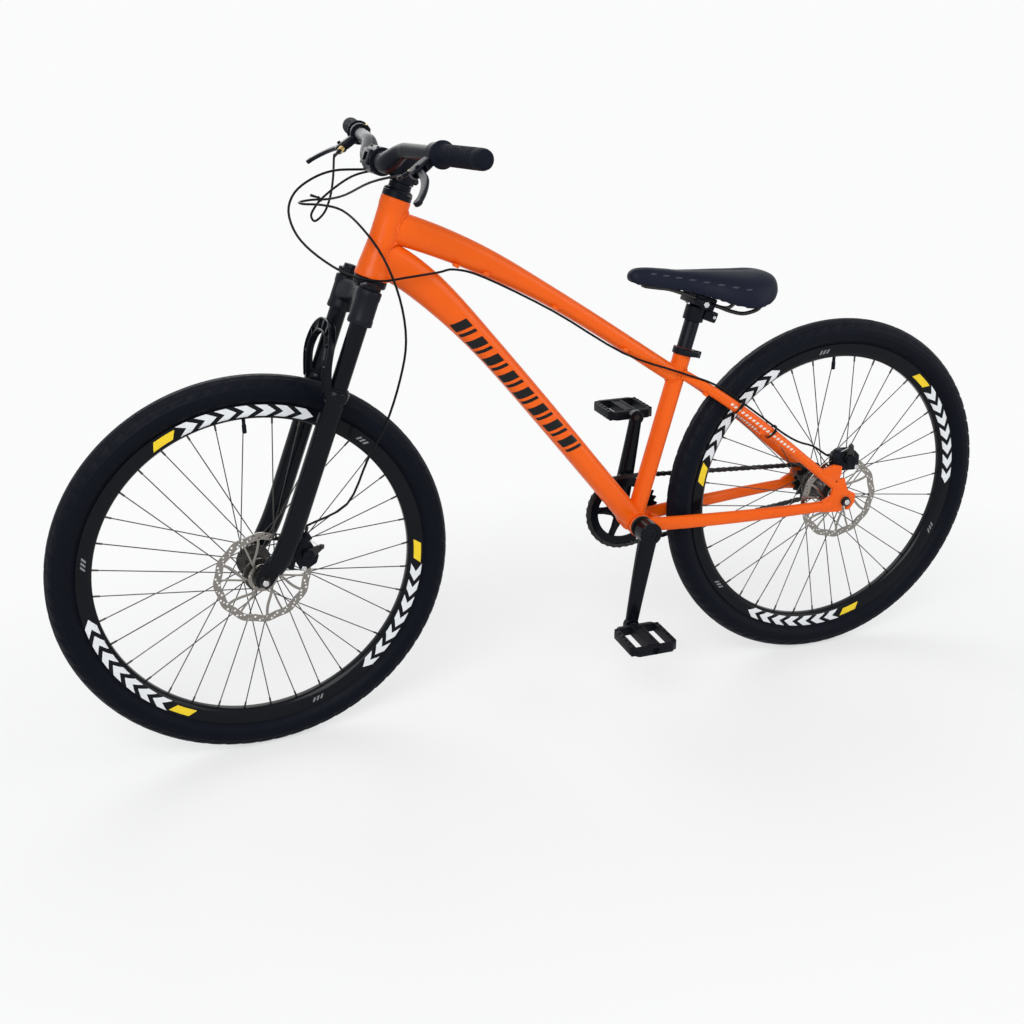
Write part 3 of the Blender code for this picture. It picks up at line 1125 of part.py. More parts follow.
def seat_collar():
    """The clamp round the top of the seat tube, and the lever that closes it."""
    low = SEAT_TUBE_LENGTH - COLLAR_HEIGHT
    bore = SEAT_TUBE_RADIUS + FIT
    outer = bore + COLLAR_WALL
    ring = turned([(bore, 0), (outer, 0), (outer, COLLAR_HEIGHT), (bore, COLLAR_HEIGHT)],
                  18, seat(low), seat_up, ring=True)
    back = Quaternion(seat_up, math.radians(COLLAR_TURN)) @ seat_back
    across = seat_up.cross(back)
    middle = seat(low + COLLAR_HEIGHT / 2)
    ears = block(middle + back * (outer + EAR_REACH / 2 - 0.001), back, across, seat_up,
                 (EAR_REACH, 0.018, COLLAR_HEIGHT * 0.92))
    slit = block(middle + back * (outer + EAR_REACH / 2), back, across, seat_up,
                 (EAR_REACH * 2, 0.002, COLLAR_HEIGHT * 2))
    bolt_at = middle + back * (outer + EAR_REACH * 0.5)
    bolt = rod(bolt_at + across * 0.014, bolt_at - across * 0.0088, 0.0025, 8)
    nut = rod(bolt_at + across * 0.015, bolt_at + across * 0.0085, 0.0045, 6)
    collar = fused([fused([ring, ears], [slit]), bolt, nut])
    piece("seat_clamp_collar", collar, "black_alloy", middle)
    pivot = bolt_at - across * (0.009 + FIT + LEVER_BARREL)
    barrel = rod(pivot - seat_up * COLLAR_HEIGHT / 2, pivot + seat_up * COLLAR_HEIGHT / 2, LEVER_BARREL, 12)
    path = [pivot, pivot - across * 0.008 - back * 0.011, pivot - across * 0.008 - back * 0.026,
            pivot - across * 0.003 - back * 0.042]
    blade = swept(path, [(COLLAR_HEIGHT * 0.9, 0.005), (0.009, 0.004), (0.010, 0.0035), (0.009, 0.003)],
                  8, 3.0, seat_up)
    piece("seat_clamp_lever", fused([barrel, blade]), "black_alloy", pivot)


def saddle_rail_path():
    """One wire, from the tail on the left round the nose to the tail on the right."""
    half = [rail_point(along, side, lift) for along, side, lift in RAIL_LINE]
    other = [Vector((point.x, -point.y, point.z)) for point in reversed(half)]
    return half + [rail_point(RAIL_NOSE, 0, RAIL_NOSE_LIFT)] + other


def rail_point(along, side, lift):
    """A point of the saddle's rails, counted from their clamp."""
    return clamp_centre + rail_way * along + Y * side + rail_up * lift


def smooth_path(points, steps):
    """A smooth curve through route points, read a few times between each two of them."""
    read = []
    for index in range(len(points) - 1):
        p0 = points[max(index - 1, 0)]
        p1 = points[index]
        p2 = points[index + 1]
        p3 = points[min(index + 2, len(points) - 1)]
        for step in range(steps):
            t = step / steps
            near = (2 * t ** 3 - 3 * t ** 2 + 1) * p1 + (3 * t ** 2 - 2 * t ** 3) * p2
            pull = (t ** 3 - 2 * t ** 2 + t) * (p2 - p0) / 2 + (t ** 3 - t ** 2) * (p3 - p1) / 2
            read.append(near + pull)
    read.append(points[-1])
    return read


def cord(name, points, radius, finish, origin, holder=None):
    """A round tube along a path, as a curve with a bevel and filled caps."""
    shape = bpy.data.curves.new(name, "CURVE")
    shape.dimensions = "3D"
    spline = shape.splines.new("POLY")
    spline.points.add(len(points) - 1)
    for knot, point in zip(spline.points, points):
        knot.co = (*(point - origin), 1)
    shape.bevel_depth = radius
    shape.bevel_resolution = 2
    shape.use_fill_caps = True
    made = bpy.data.objects.new(name, shape)
    made.location = origin
    dress(made, finish)
    if holder:
        made.parent = holder
        made.matrix_parent_inverse = holder.matrix_basis.inverted()
    bpy.context.scene.collection.objects.link(made)


def settled(point):
    """Where a point of the straight front end lies once the steering has been turned to its rest."""
    return steering_pivot.matrix_basis @ (point - foot)


def from_lever(side):
    """The first points of a cable, just past the barrel of its brake lever."""
    inner, outer = barrel_ends(side)
    way = (outer - inner).normalized()
    return [settled(outer + way * reach) for reach in (FIT, 0.005, 0.010)]


def into_caliper(axle, angle, outer, pull_angle):
    """The last points of a cable, before and at its caliper's stop."""
    stop, pull = cable_stop(axle, angle, outer, pull_angle)
    return [stop - pull * (STOP_BACK + reach) for reach in (0.012, 0.006, FIT)]


def brake_cables():
    """Both cables: from the levers, through the tied loops ahead of the head tube, to the calipers."""
    front = from_lever(1) + [Vector(point) for point in FRONT_CABLE]
    front += [settled(point) for point in into_caliper(*FRONT_STOP)]
    cord("front_brake_cable", smooth_path(front, 2), CABLE_RADIUS, "cable_sleeve", foot, steering_pivot)
    rear = from_lever(-1) + [Vector(point) for point in REAR_CABLE]
    hang = GUIDE_SIZE[2] / 2 + CABLE_RADIUS + CABLE_CLEAR
    for place, lift in TOP_GUIDES:
        rear.append(beside(top_tube_path, place, CABLE_SIDE, lift - hang)[0])
    rear += [seat(up, back, side) for up, back, side in CABLE_PAST_SEAT]
    for place, clear in CABLE_ON_STAY:
        rear.append(beside(left_stay_path, place, 0, clear + CABLE_RADIUS)[0])
    rear += into_caliper(*REAR_STOP)
    cord("rear_brake_cable", smooth_path(rear, 2), CABLE_RADIUS, "cable_sleeve", bracket)


def saddle_ring(share, half, top, edge):
    """One cross-section of the cushion: a crown, drawn-in sides, a skirt and a hollow underside."""
    middle = saddle_tail + X * (share * SADDLE_LENGTH)
    base = edge + SADDLE_HOLLOW
    ring = []
    for step in range(11):
        angle = math.pi * step / 10
        reach = math.copysign(abs(math.cos(angle)) ** 0.72, math.cos(angle))
        lift = abs(math.sin(angle)) ** 0.8
        dip = SADDLE_CHANNEL * math.exp(-(reach * half / 0.010) ** 2) if 0.1 < share < 0.7 else 0
        ring.append(middle + Y * (reach * half) + Z * (edge + (top - edge) * lift - dip))
    for reach, lift in ((-0.86, edge), (-0.84, base), (0.84, base), (0.86, edge)):
        ring.append(middle + Y * (reach * half) + Z * lift)
    return ring


def shell_ring(share, half, edge):
    """One cross-section of the plastic shell that the cushion is fixed to."""
    middle = saddle_tail + X * (share * SADDLE_LENGTH) + Z * (edge + SADDLE_HOLLOW - FIT)
    reach = Y * (half * 0.80)
    return [middle + reach, middle - reach, middle - reach * 0.97 - Z * SHELL_THICKNESS,
            middle + reach * 0.97 - Z * SHELL_THICKNESS]


def saddle_parts():
    """The post, the clamp on its head, and the saddle's rails, shell and cushion."""
    length = SEATPOST_TOP - SEATPOST_BOTTOM
    bore = SEATPOST_RADIUS - SEATPOST_WALL
    post = turned([(bore, length - 0.012), (bore, 0), (SEATPOST_RADIUS, 0), (SEATPOST_RADIUS, length)],
                  18, seat(SEATPOST_BOTTOM), seat_up)
    piece("seatpost", post, "black_alloy", seat(SEATPOST_BOTTOM))
    sleeve = rod(seat(SEATPOST_TOP - 0.020), seat(SEATPOST_TOP + 0.008), SEATPOST_RADIUS + 0.0045, 16)
    barrel = rod(clamp_centre - Y * 0.031, clamp_centre + Y * 0.031, 0.0125, 12)
    bolt = rod(clamp_centre - Y * 0.037, clamp_centre + Y * 0.037, 0.006, 6)
    cuts = [rod(seat(SEATPOST_TOP - 0.03), seat(SEATPOST_TOP + FIT), SEATPOST_RADIUS + FIT, 18)]
    for side in (1, -1):
        cuts.append(rod(rail_point(-0.03, side * RAIL_SPACING / 2, 0),
                        rail_point(0.03, side * RAIL_SPACING / 2, 0), RAIL_RADIUS + FIT * 2, 10))
    piece("saddle_clamp", fused([sleeve, barrel, bolt], cuts), "dark_steel", clamp_centre)
    cord("saddle_rails", saddle_rail_path(), RAIL_RADIUS, "dark_steel", clamp_centre)
    cushion = loft([saddle_ring(*station) for station in SADDLE_STATIONS])
    piece("saddle", cushion, "saddle_cover", saddle_tail)
    shell = loft([shell_ring(share, half, edge) for share, half, top, edge in SADDLE_STATIONS[1:-1]])
    piece("saddle_shell", fused([shell, *rail_sockets()]), "plastic", saddle_tail)


def rail_sockets():
    """The shell's bosses: one over each end of the wire at the tail, and one over its nose."""
    path = saddle_rail_path()
    bosses = []
    for end, before in ((path[0], path[1]), (path[-1], path[-2])):
        way = (end - before).normalized()
        bosses.append(rod(end + way * FIT, end + way * SOCKET_LENGTH, SOCKET_RADIUS, 8))
    nose = rail_point(RAIL_NOSE, 0, RAIL_NOSE_LIFT) + Z * (RAIL_RADIUS + 2 * FIT)
    bosses.append(rod(nose, nose + Z * NOSE_BOSS_HEIGHT, SOCKET_RADIUS, 6))
    return bosses


for made in list(bpy.data.objects):
    bpy.data.objects.remove(made)

steering_pivot = bpy.data.objects.new("steering_pivot", None)
steering_pivot.matrix_basis = Matrix.Translation(foot)
bpy.context.scene.collection.objects.link(steering_pivot)

bar_centre = head(stem_middle, STEM_REACH)
saddle_tail = seat(SEATPOST_TOP) - X * SADDLE_BACK
rail_way = Vector((math.cos(math.radians(RAIL_TILT)), 0, math.sin(math.radians(RAIL_TILT))))
rail_up = Vector((-rail_way.z, 0, rail_way.x))
clamp_centre = seat(SEATPOST_TOP + 0.0145) + rail_up * 0.003

frame()
headset()
fork_crown()
stanchions()
fork_lowers()
axle_set("front", front_axle, FRONT_HUB_WIDTH, FORK_TAB_THICKNESS, steering_pivot)
axle_set("rear", rear_axle, REAR_HUB_WIDTH, DROPOUT_THICKNESS, None)
wheel("front", front_axle, FRONT_HUB_WIDTH, FRONT_FLANGES, FRONT_ROTOR_Y, steering_pivot)
wheel("rear", rear_axle, REAR_HUB_WIDTH, REAR_FLANGES, REAR_ROTOR_Y, None)
FRONT_STOP = (front_axle, FRONT_CALIPER_ANGLE, FRONT_HUB_WIDTH / 2 - FIT, FRONT_PULL_ANGLE)
REAR_STOP = (rear_axle, REAR_CALIPER_ANGLE, REAR_HUB_WIDTH / 2 - FIT, REAR_CALIPER_ANGLE + 90)
caliper("front", *FRONT_STOP[:2], FRONT_ROTOR_Y, *FRONT_STOP[2:], steering_pivot)
caliper("rear", *REAR_STOP[:2], REAR_ROTOR_Y, *REAR_STOP[2:], None)
drive()
seat_collar()
saddle_parts()
stem()
handlebar()
for side, name in ((1, "left"), (-1, "right")):
    grip(side, name)
    brake_lever(side, name)
steering_turn = Quaternion(steer_up, math.radians(STEER_REST))
steering_pivot.matrix_basis = Matrix.Translation(foot) @ steering_turn.to_matrix().to_4x4()
brake_cables()
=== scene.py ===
# %% [markdown]
# # A hardtail bicycle
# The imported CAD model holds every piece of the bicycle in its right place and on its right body.
# This lesson dresses those pieces: each one is modelled again with more care, gets its own
# finish, and rides on the body that the CAD piece belongs to. All lengths are in metres.

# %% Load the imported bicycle
import math

import bmesh
import bpy
from mathutils import Matrix, Quaternion, Vector
from mathutils.bvhtree import BVHTree


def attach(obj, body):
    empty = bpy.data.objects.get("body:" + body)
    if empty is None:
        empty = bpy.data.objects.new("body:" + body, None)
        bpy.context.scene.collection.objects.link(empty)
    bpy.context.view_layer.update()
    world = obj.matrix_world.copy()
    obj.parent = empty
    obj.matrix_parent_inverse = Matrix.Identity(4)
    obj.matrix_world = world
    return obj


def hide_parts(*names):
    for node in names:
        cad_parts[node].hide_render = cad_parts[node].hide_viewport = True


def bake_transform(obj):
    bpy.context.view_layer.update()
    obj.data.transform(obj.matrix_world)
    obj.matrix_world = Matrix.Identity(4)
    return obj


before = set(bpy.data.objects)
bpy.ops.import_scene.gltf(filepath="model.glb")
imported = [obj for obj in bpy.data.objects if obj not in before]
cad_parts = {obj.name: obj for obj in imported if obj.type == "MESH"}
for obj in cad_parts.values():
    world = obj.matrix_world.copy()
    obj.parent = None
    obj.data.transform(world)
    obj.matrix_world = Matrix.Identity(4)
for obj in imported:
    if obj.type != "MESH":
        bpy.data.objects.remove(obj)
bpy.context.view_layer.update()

# %% [markdown]
# The camera comes first, because it decides what has to be seen. It stands on the bicycle's
# left, beside the front wheel and a little above the handlebar, and is rolled by about a
# degree, as a camera held in two hands is.

# %% Camera
X = Vector((1, 0, 0))
Y = Vector((0, 1, 0))
Z = Vector((0, 0, 1))
CAMERA_PLACE = Vector((0.6903, 1.8144, 1.098))
CAMERA_AIM = Vector((0.093, 0, 0.3676))
CAMERA_ROLL = math.radians(-0.9358)

sight = (CAMERA_AIM - CAMERA_PLACE).normalized()
level = sight.cross(Z).normalized()
above = level.cross(sight)
across = level * math.cos(CAMERA_ROLL) + above * math.sin(CAMERA_ROLL)
upright = above * math.cos(CAMERA_ROLL) - level * math.sin(CAMERA_ROLL)
bpy.ops.object.camera_add()
camera = bpy.context.object
camera_turn = Matrix((across, upright, -sight)).transposed().to_4x4()
camera.matrix_world = Matrix.Translation(CAMERA_PLACE) @ camera_turn
camera.data.sensor_width = 36
camera.data.lens = 40.87
bpy.context.scene.camera = camera
print("camera", [round(value, 3) for value in CAMERA_PLACE])

# %% [markdown]
# The light is that of a small product studio: one large lamp over the camera's shoulder, one
# from the other side, and one behind that draws a line of light along the black pieces. The
# world fills the shadows. Seen by the camera or in a reflection, the world is plain white.

# %% Studio light
def lamp(name, place, size, power):
    """A square lamp that looks at the middle of the bicycle."""
    bpy.ops.object.light_add(type="AREA", location=place)
    made = bpy.context.object
    made.name = name
    made.rotation_euler = (Vector((0, 0, 0.45)) - Vector(place)).to_track_quat("-Z", "Y").to_euler()
    made.data.size = size
    made.data.energy = power


lamp("key_lamp", (1.6, 2.6, 2.6), 2.2, 86)
lamp("fill_lamp", (-2.4, 1.8, 1.6), 2.0, 30)
lamp("back_lamp", (0.2, -2.6, 2.2), 2.4, 44)


def seen_rays(tree, rays):
    """1 for what the camera sees, straight or in metal or glass, and 0 for plain light."""
    total = rays.outputs["Is Camera Ray"]
    for kind in ("Is Glossy Ray", "Is Transmission Ray"):
        either = tree.nodes.new("ShaderNodeMath")
        either.operation = "MAXIMUM"
        tree.links.new(total, either.inputs[0])
        tree.links.new(rays.outputs[kind], either.inputs[1])
        total = either.outputs[0]
    return total


world = bpy.data.worlds.new("studio")
bpy.context.scene.world = world
world.use_nodes = True
sky = world.node_tree
sky.nodes.clear()
rays = sky.nodes.new("ShaderNodeLightPath")
seen = sky.nodes.new("ShaderNodeBackground")
seen.inputs["Color"].default_value = (0.965, 0.967, 0.97, 1)
filling = sky.nodes.new("ShaderNodeBackground")
filling.inputs["Color"].default_value = (0.93, 0.96, 1.0, 1)
filling.inputs["Strength"].default_value = 0.3
mixed = sky.nodes.new("ShaderNodeMixShader")
sky.links.new(seen_rays(sky, rays), mixed.inputs["Fac"])
sky.links.new(filling.outputs[0], mixed.inputs[1])
sky.links.new(seen.outputs[0], mixed.inputs[2])
sky.links.new(mixed.outputs[0], sky.nodes.new("ShaderNodeOutputWorld").inputs["Surface"])
bpy.context.scene.view_settings.view_transform = "Standard"

# %% [markdown]
# Shader maths reads best as plain expressions. The class below wraps one socket, so that
# adding or scaling it adds the Math node that does so. A second class holds a material with
# its main shader, and makes any other node from its settings and its inputs.

# %% Shader helpers
class Wire:
    """A number on its way through a material."""

    def __init__(self, finish, socket):
        self.finish = finish
        self.socket = socket

    def maths(self, operation, *others):
        return self.finish.add("ShaderNodeMath", {"operation": operation}, [self, *others])

    def __add__(self, other):
        return self.maths("ADD", other)

    def __sub__(self, other):
        return self.maths("SUBTRACT", other)

    def __mul__(self, other):
        return self.maths("MULTIPLY", other)

    def __gt__(self, other):
        return self.maths("GREATER_THAN", other)

    def __lt__(self, other):
        return self.maths("LESS_THAN", other)

    def size(self):
        return self.maths("ABSOLUTE")

    def wave(self):
        return self.maths("SINE")

    def repeat(self, length):
        return self.maths("FLOORED_MODULO", length)


class Finish:
    """A material with its main shader, and the nodes that feed it."""

    def __init__(self, name, colour, roughness, metallic=0.0, **sockets):
        self.material = bpy.data.materials.new(name)
        self.material.use_nodes = True
        self.tree = self.material.node_tree
        self.shader = self.tree.nodes["Principled BSDF"]
        self.material.diffuse_color = (*colour, 1)
        self.colour = (*colour, 1)
        self.set("Base Color", self.colour)
        self.set("Roughness", roughness)
        self.set("Metallic", metallic)
        for socket, value in sockets.items():
            self.set(socket.replace("_", " ").title().replace("Ior", "IOR"), value)

    def set(self, socket, value):
        self.feed(self.shader.inputs[socket], value)

    def feed(self, socket, value):
        if isinstance(value, Wire):
            self.tree.links.new(value.socket, socket)
        else:
            socket.default_value = value

    def add(self, kind, settings, sockets, output=0):
        """A node of any kind. Its sockets are a list, or names with their values or wires."""
        node = self.tree.nodes.new(kind)
        for key, value in settings.items():
            setattr(node, key, value)
        pairs = sockets.items() if isinstance(sockets, dict) else enumerate(sockets)
        for key, value in pairs:
            self.feed(node.inputs[key], value)
        return Wire(self, node.outputs[output])

    def spot(self, centre=(0, 0, 0), turn=(0, 0, 0)):
        """Object coordinates, counted from a centre and turned."""
        raw = self.add("ShaderNodeTexCoord", {}, {}, "Object")
        return self.add("ShaderNodeMapping", {"vector_type": "TEXTURE"},
            {"Vector": raw, "Location": centre, "Rotation": turn})

    def round_axle(self, centre, turn):
        """The two coordinates across an axle, and the distance from it."""
        east, _, up = self.parts(self.spot(centre, turn))
        return east, up, (east * east + up * up).maths("SQRT")

    def parts(self, vector):
        """The three numbers of a vector."""
        node = self.tree.nodes.new("ShaderNodeSeparateXYZ")
        self.feed(node.inputs[0], vector)
        return [Wire(self, output) for output in node.outputs]

    def noise(self, scale, detail=3.0):
        """Cloudy values from 0 to 1 that stay on the piece."""
        sockets = {"Vector": self.spot(), "Scale": scale, "Detail": detail}
        return self.add("ShaderNodeTexNoise", {}, sockets, "Fac")

    def between(self, share, low, high):
        """A number that runs from low to high as a share goes from 0 to 1."""
        return share * (high - low) + low

    def colours(self, share, low, high):
        """A colour that runs from low to high as a share goes from 0 to 1."""
        node = self.tree.nodes.new("ShaderNodeMix")
        node.data_type = "RGBA"
        self.feed(node.inputs["Factor"], share)
        for socket, value in ((node.inputs[6], low), (node.inputs[7], high)):
            self.feed(socket, value if isinstance(value, Wire) else (*value[:3], 1))
        return Wire(self, node.outputs[2])

    def rough(self, height, strength, distance):
        """Relief that comes from a height."""
        self.set("Normal", self.add("ShaderNodeBump", {}, {"Height": height, "Strength": strength,
            "Distance": distance}))
        return self


# %% [markdown]
# Modelling by hand means drawing an outline, extruding it from station to station, bridging
# or filling what is open, and softening the edges. The helpers below do just that with the
# operators of edit mode, and put each new ring of corners on its place.

# %% Modelling helpers
def begin():
    """Leave edit mode with nothing selected."""
    if bpy.context.object and bpy.context.object.mode != "OBJECT":
        bpy.ops.object.mode_set(mode="OBJECT")
    bpy.ops.object.select_all(action="DESELECT")


def pick(*made):
    """Select these objects, the first of them active."""
    begin()
    for one in made:
        one.select_set(True)
    bpy.context.view_layer.objects.active = made[0]


def put_ring(made, points):
    """Move the selected ring of corners onto its places."""
    work = bmesh.from_edit_mesh(made.data)
    order = work.verts.layers.int["order"]
    for corner in work.verts:
        if corner.select:
            corner.co = points[corner[order]]
    bmesh.update_edit_mesh(made.data)


def loft(name, rings, closed=False):
    """Draw the first ring, extrude it through the others, and close what is open."""
    begin()
    bpy.ops.mesh.primitive_circle_add(vertices=len(rings[0]))
    made = bpy.context.object
    made.name = name
    bpy.ops.object.mode_set(mode="EDIT")
    work = bmesh.from_edit_mesh(made.data)
    order = work.verts.layers.int.new("order")
    for index, corner in enumerate(work.verts):
        corner[order] = index
    put_ring(made, rings[0])
    for ring in rings[1:]:
        bpy.ops.mesh.extrude_region_move()
        put_ring(made, ring)
    bpy.ops.mesh.select_all(action="DESELECT")
    bpy.ops.mesh.select_non_manifold()
    if closed:
        bpy.ops.mesh.bridge_edge_loops()
    else:
        bpy.ops.mesh.fill_holes(sides=0)
    bpy.ops.mesh.select_all(action="SELECT")
    bpy.ops.mesh.normals_make_consistent(inside=False)
    bpy.ops.object.mode_set(mode="OBJECT")
    made.data.attributes.remove(made.data.attributes["order"])
    return made


def lathe(name, profile, start, axis, steps=48, closed=False):
    """Rings about an axis, from (radius, along) pairs."""
    side = X - axis * axis.dot(X) if abs(axis.x) < 0.9 else Z - axis * axis.dot(Z)
    side.normalize()
    other = axis.cross(side)
    around = [2 * math.pi * step / steps for step in range(steps)]
    ways = [side * math.cos(angle) + other * math.sin(angle) for angle in around]
    return loft(name, [[start + axis * along + way * radius for way in ways] for radius, along in profile],
        closed)


def in_plane(angle):
    """A unit vector in the plane of the wheels, at an angle from straight ahead."""
    return Vector((math.cos(angle), 0, math.sin(angle)))


def rod(name, start, end, radius, steps=24, edge=0.0004):
    """A round bar with chamfered ends."""
    long = (end - start).length
    edge = min(edge, radius / 2, long / 3)
    profile = [(radius - edge, 0), (radius, edge), (radius, long - edge), (radius - edge, long)]
    return lathe(name, profile, start, (end - start).normalized(), steps)


def rod_through(name, middle, half, radius, steps=24, edge=0.0004):
    """A round bar by its middle and half of its length."""
    return rod(name, middle - half, middle + half, radius, steps, edge)


def modify(made, kind, **settings):
    """Add a modifier with its settings, and apply it."""
    pick(made)
    bpy.ops.object.modifier_add(type=kind)
    step = made.modifiers[-1]
    for key, value in settings.items():
        setattr(step, key, value)
    bpy.ops.object.modifier_apply(modifier=step.name)
    return made


def soften(made, width, segments=2, angle=30):
    """Round every edge that is sharper than an angle."""
    return modify(made, "BEVEL", width=width, segments=segments, limit_method="ANGLE",
                  angle_limit=math.radians(angle))


def carve(made, *tools, way="DIFFERENCE"):
    """Cut the tools out of a mesh, or join them to it, and throw the tools away."""
    for tool in tools:
        modify(made, "BOOLEAN", operation=way, object=tool)
        bpy.data.objects.remove(tool)
    return made


def plate(name, outline, thickness, edge=0.0006):
    """A flat outline with a thickness and soft edges."""
    made = loft(name, [outline, [point + thickness for point in outline]])
    return soften(made, edge) if edge else made


def brick(name, centre, along, wide, up, sizes, edge=0.001):
    """A block by its three directions and its three full sizes, with soft edges."""
    corners = [centre + along * (a * sizes[0] / 2) + wide * (b * sizes[1] / 2) - up * (sizes[2] / 2)
        for a, b in ((-1, -1), (1, -1), (1, 1), (-1, 1))]
    return plate(name, corners, up * sizes[2], edge)


def gather(name, made):
    """Join several objects into the first one."""
    pick(*made)
    bpy.ops.object.join()
    made[0].name = name
    return made[0]


def copied(made, *moves):
    """One more object, with its own mesh, for each move."""
    extra = []
    for move in moves:
        one = made.copy()
        one.data = made.data.copy()
        one.data.transform(move)
        bpy.context.scene.collection.objects.link(one)
        extra.append(one)
    return extra


def oval(centre, across, up, width, depth, sides, squareness=2.0):
    """One closed section: an ellipse, or a squarer form of one."""
    ring = []
    for step in range(sides):
        angle = 2 * math.pi * (step + 0.5) / sides
        reach = math.copysign(abs(math.cos(angle)) ** (2 / squareness), math.cos(angle))
        lift = math.copysign(abs(math.sin(angle)) ** (2 / squareness), math.sin(angle))
        ring.append(centre + across * (reach * width / 2) + up * (lift * depth / 2))
    return ring


def tube(name, path, sizes, sides=24, squareness=2.0, level=Y):
    """A tube along a path, with its own width and depth at each point of it."""
    rings = []
    for index, point in enumerate(path):
        ahead = (path[min(index + 1, len(path) - 1)] - path[max(index - 1, 0)]).normalized()
        wide = (level - ahead * ahead.dot(level)).normalized()
        width, depth = sizes[index]
        rings.append(oval(point, wide, ahead.cross(wide), width, depth, sides, squareness))
    return loft(name, rings)


def bezier(start, start_pull, end_pull, end, count):
    """Points along one cubic curve; the pulls are offsets from its two ends."""
    points = []
    for index in range(count):
        t = index / (count - 1)
        weights = ((1 - t) ** 3, 3 * t * (1 - t) ** 2, 3 * t * t * (1 - t), t ** 3)
        knots = (start, start + start_pull, end + end_pull, end)
        points.append(sum((knot * weight for knot, weight in zip(knots, weights)), Vector()))
    return points


def curved(knots, count):
    """Values read evenly along a smooth curve through a short list of points or sizes."""
    knots = [Vector(knot) for knot in knots]
    read = []
    for index in range(count):
        place = index / (count - 1) * (len(knots) - 1)
        low = min(int(place), len(knots) - 2)
        t = place - low
        p0, p1 = knots[max(low - 1, 0)], knots[low]
        p2, p3 = knots[low + 1], knots[min(low + 2, len(knots) - 1)]
        near = (2 * t ** 3 - 3 * t ** 2 + 1) * p1 + (3 * t ** 2 - 2 * t ** 3) * p2
        read.append(near + (t ** 3 - 2 * t ** 2 + t) * (p2 - p0) / 2 + (t ** 3 - t ** 2) * (p3 - p1) / 2)
    return read


# %% [markdown]
# The front end is modelled straight ahead and then turned to the left with its steering, as
# it stands at rest. Whatever rides on a steered body gets that turn when it is finished.

# %% Where things are, and how a piece is finished
front_axle = Vector((0.539, 0, 0.33))
rear_axle = Vector((-0.539, 0, 0.33))
bracket = Vector((-0.141, 0, 0.32))
HEAD_LEAN = math.radians(68.5)
SEAT_LEAN = math.radians(74.0)
FORK_OFFSET = 0.034
steer_up = Vector((-math.cos(HEAD_LEAN), 0, math.sin(HEAD_LEAN)))
steer_ahead = Vector((math.sin(HEAD_LEAN), 0, math.cos(HEAD_LEAN)))
seat_up = Vector((-math.cos(SEAT_LEAN), 0, math.sin(SEAT_LEAN)))
seat_back = Vector((-math.sin(SEAT_LEAN), 0, -math.cos(SEAT_LEAN)))
foot = front_axle - steer_ahead * FORK_OFFSET
STEER_TURN = Quaternion(steer_up, math.radians(5.0))
turn_left = Matrix.Translation(foot) @ STEER_TURN.to_matrix().to_4x4() @ Matrix.Translation(-foot)
SIDES = ((1, "left"), (-1, "right"))
STEERED = {"steering", "preload_knob", "fork_lowers", "front_wheel", "left_brake_lever",
    "right_brake_lever", "front_caliper_arm"}


def head(up, ahead=0.0, side=0.0):
    """A point of the front end by its height on the steering axis, its lead and its side."""
    return foot + steer_up * up + steer_ahead * ahead + Y * side


def seat(up, back=0.0, side=0.0):
    """A point of the seat line by its height above the bracket, its set-back and its side."""
    return bracket + seat_up * up + seat_back * back + Y * side


def done(made, finish, body, nodes=(), angle=38, straight=True):
    """Shade, paint and place a finished piece, and let it stand for its CAD nodes.

    A piece that bends between two bodies rides on none.
    """
    pick(made)
    bpy.ops.object.transform_apply(location=True, rotation=True, scale=True)
    if body in STEERED and straight:
        made.data.transform(turn_left)
    bpy.ops.object.shade_smooth_by_angle(angle=math.radians(angle))
    made.data.materials.clear()
    made.data.materials.append(finish.material)
    if body:
        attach(made, body)
    if nodes:
        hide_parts(*nodes)
    print(made.name, len(made.data.polygons), "faces on", body)
    return made


# %% [markdown]
# The frame's paint is a bright satin orange. It isn't quite even: its colour is a little
# cloudy, and it has a faint orange peel. The lettering of such frames is replaced by a plain
# run of slanted black bars on the down tube and fine pale dashes on the seatstays.

# %% Orange frame paint
def painted_frame():
    paint = Finish("orange_frame_paint", (0.82, 0.112, 0.004), 0.34, specular_ior_level=0.16,
        coat_weight=0.08, coat_roughness=0.12)
    cloudy = paint.noise(9, 2)
    colour = paint.colours(cloudy, (0.86, 0.128, 0.005), (0.77, 0.092, 0.003))
    spot = paint.spot(TEXT_START)
    east, side, up = paint.parts(spot)
    run = east * TEXT_WAY.x + up * TEXT_WAY.z
    rise = up * TEXT_WAY.x - east * TEXT_WAY.z
    slanted = run + rise * 0.35
    cell = slanted.repeat(TEXT_PITCH)
    bars = (cell < TEXT_PITCH * 0.42) + (cell > TEXT_PITCH * 0.56) * (cell < TEXT_PITCH * 0.72)
    bars = bars * (slanted > 0) * (slanted < TEXT_LENGTH) * (rise.size() < TEXT_HALF) * (side.size() > 0.01)
    stay = paint.spot(STAY_START)
    back, out, lift = paint.parts(stay)
    along = back * STAY_WAY.x + lift * STAY_WAY.z
    over = lift * STAY_WAY.x - back * STAY_WAY.z
    dashes = ((along + over * 0.4).repeat(0.0085) < 0.0048) * (along > 0) * (along < STAY_LENGTH)
    dashes = dashes * (over.size() < 0.0024)
    dashes = dashes * (out.size() > 0.03)
    colour = paint.colours(dashes, colour, (0.7, 0.66, 0.6))
    colour = paint.colours(bars, colour, (0.006, 0.0055, 0.006))
    paint.set("Base Color", colour)
    paint.set("Roughness", paint.between(paint.noise(60, 3), 0.27, 0.42))
    return paint.rough(paint.noise(420, 2), 0.035, 0.0004)


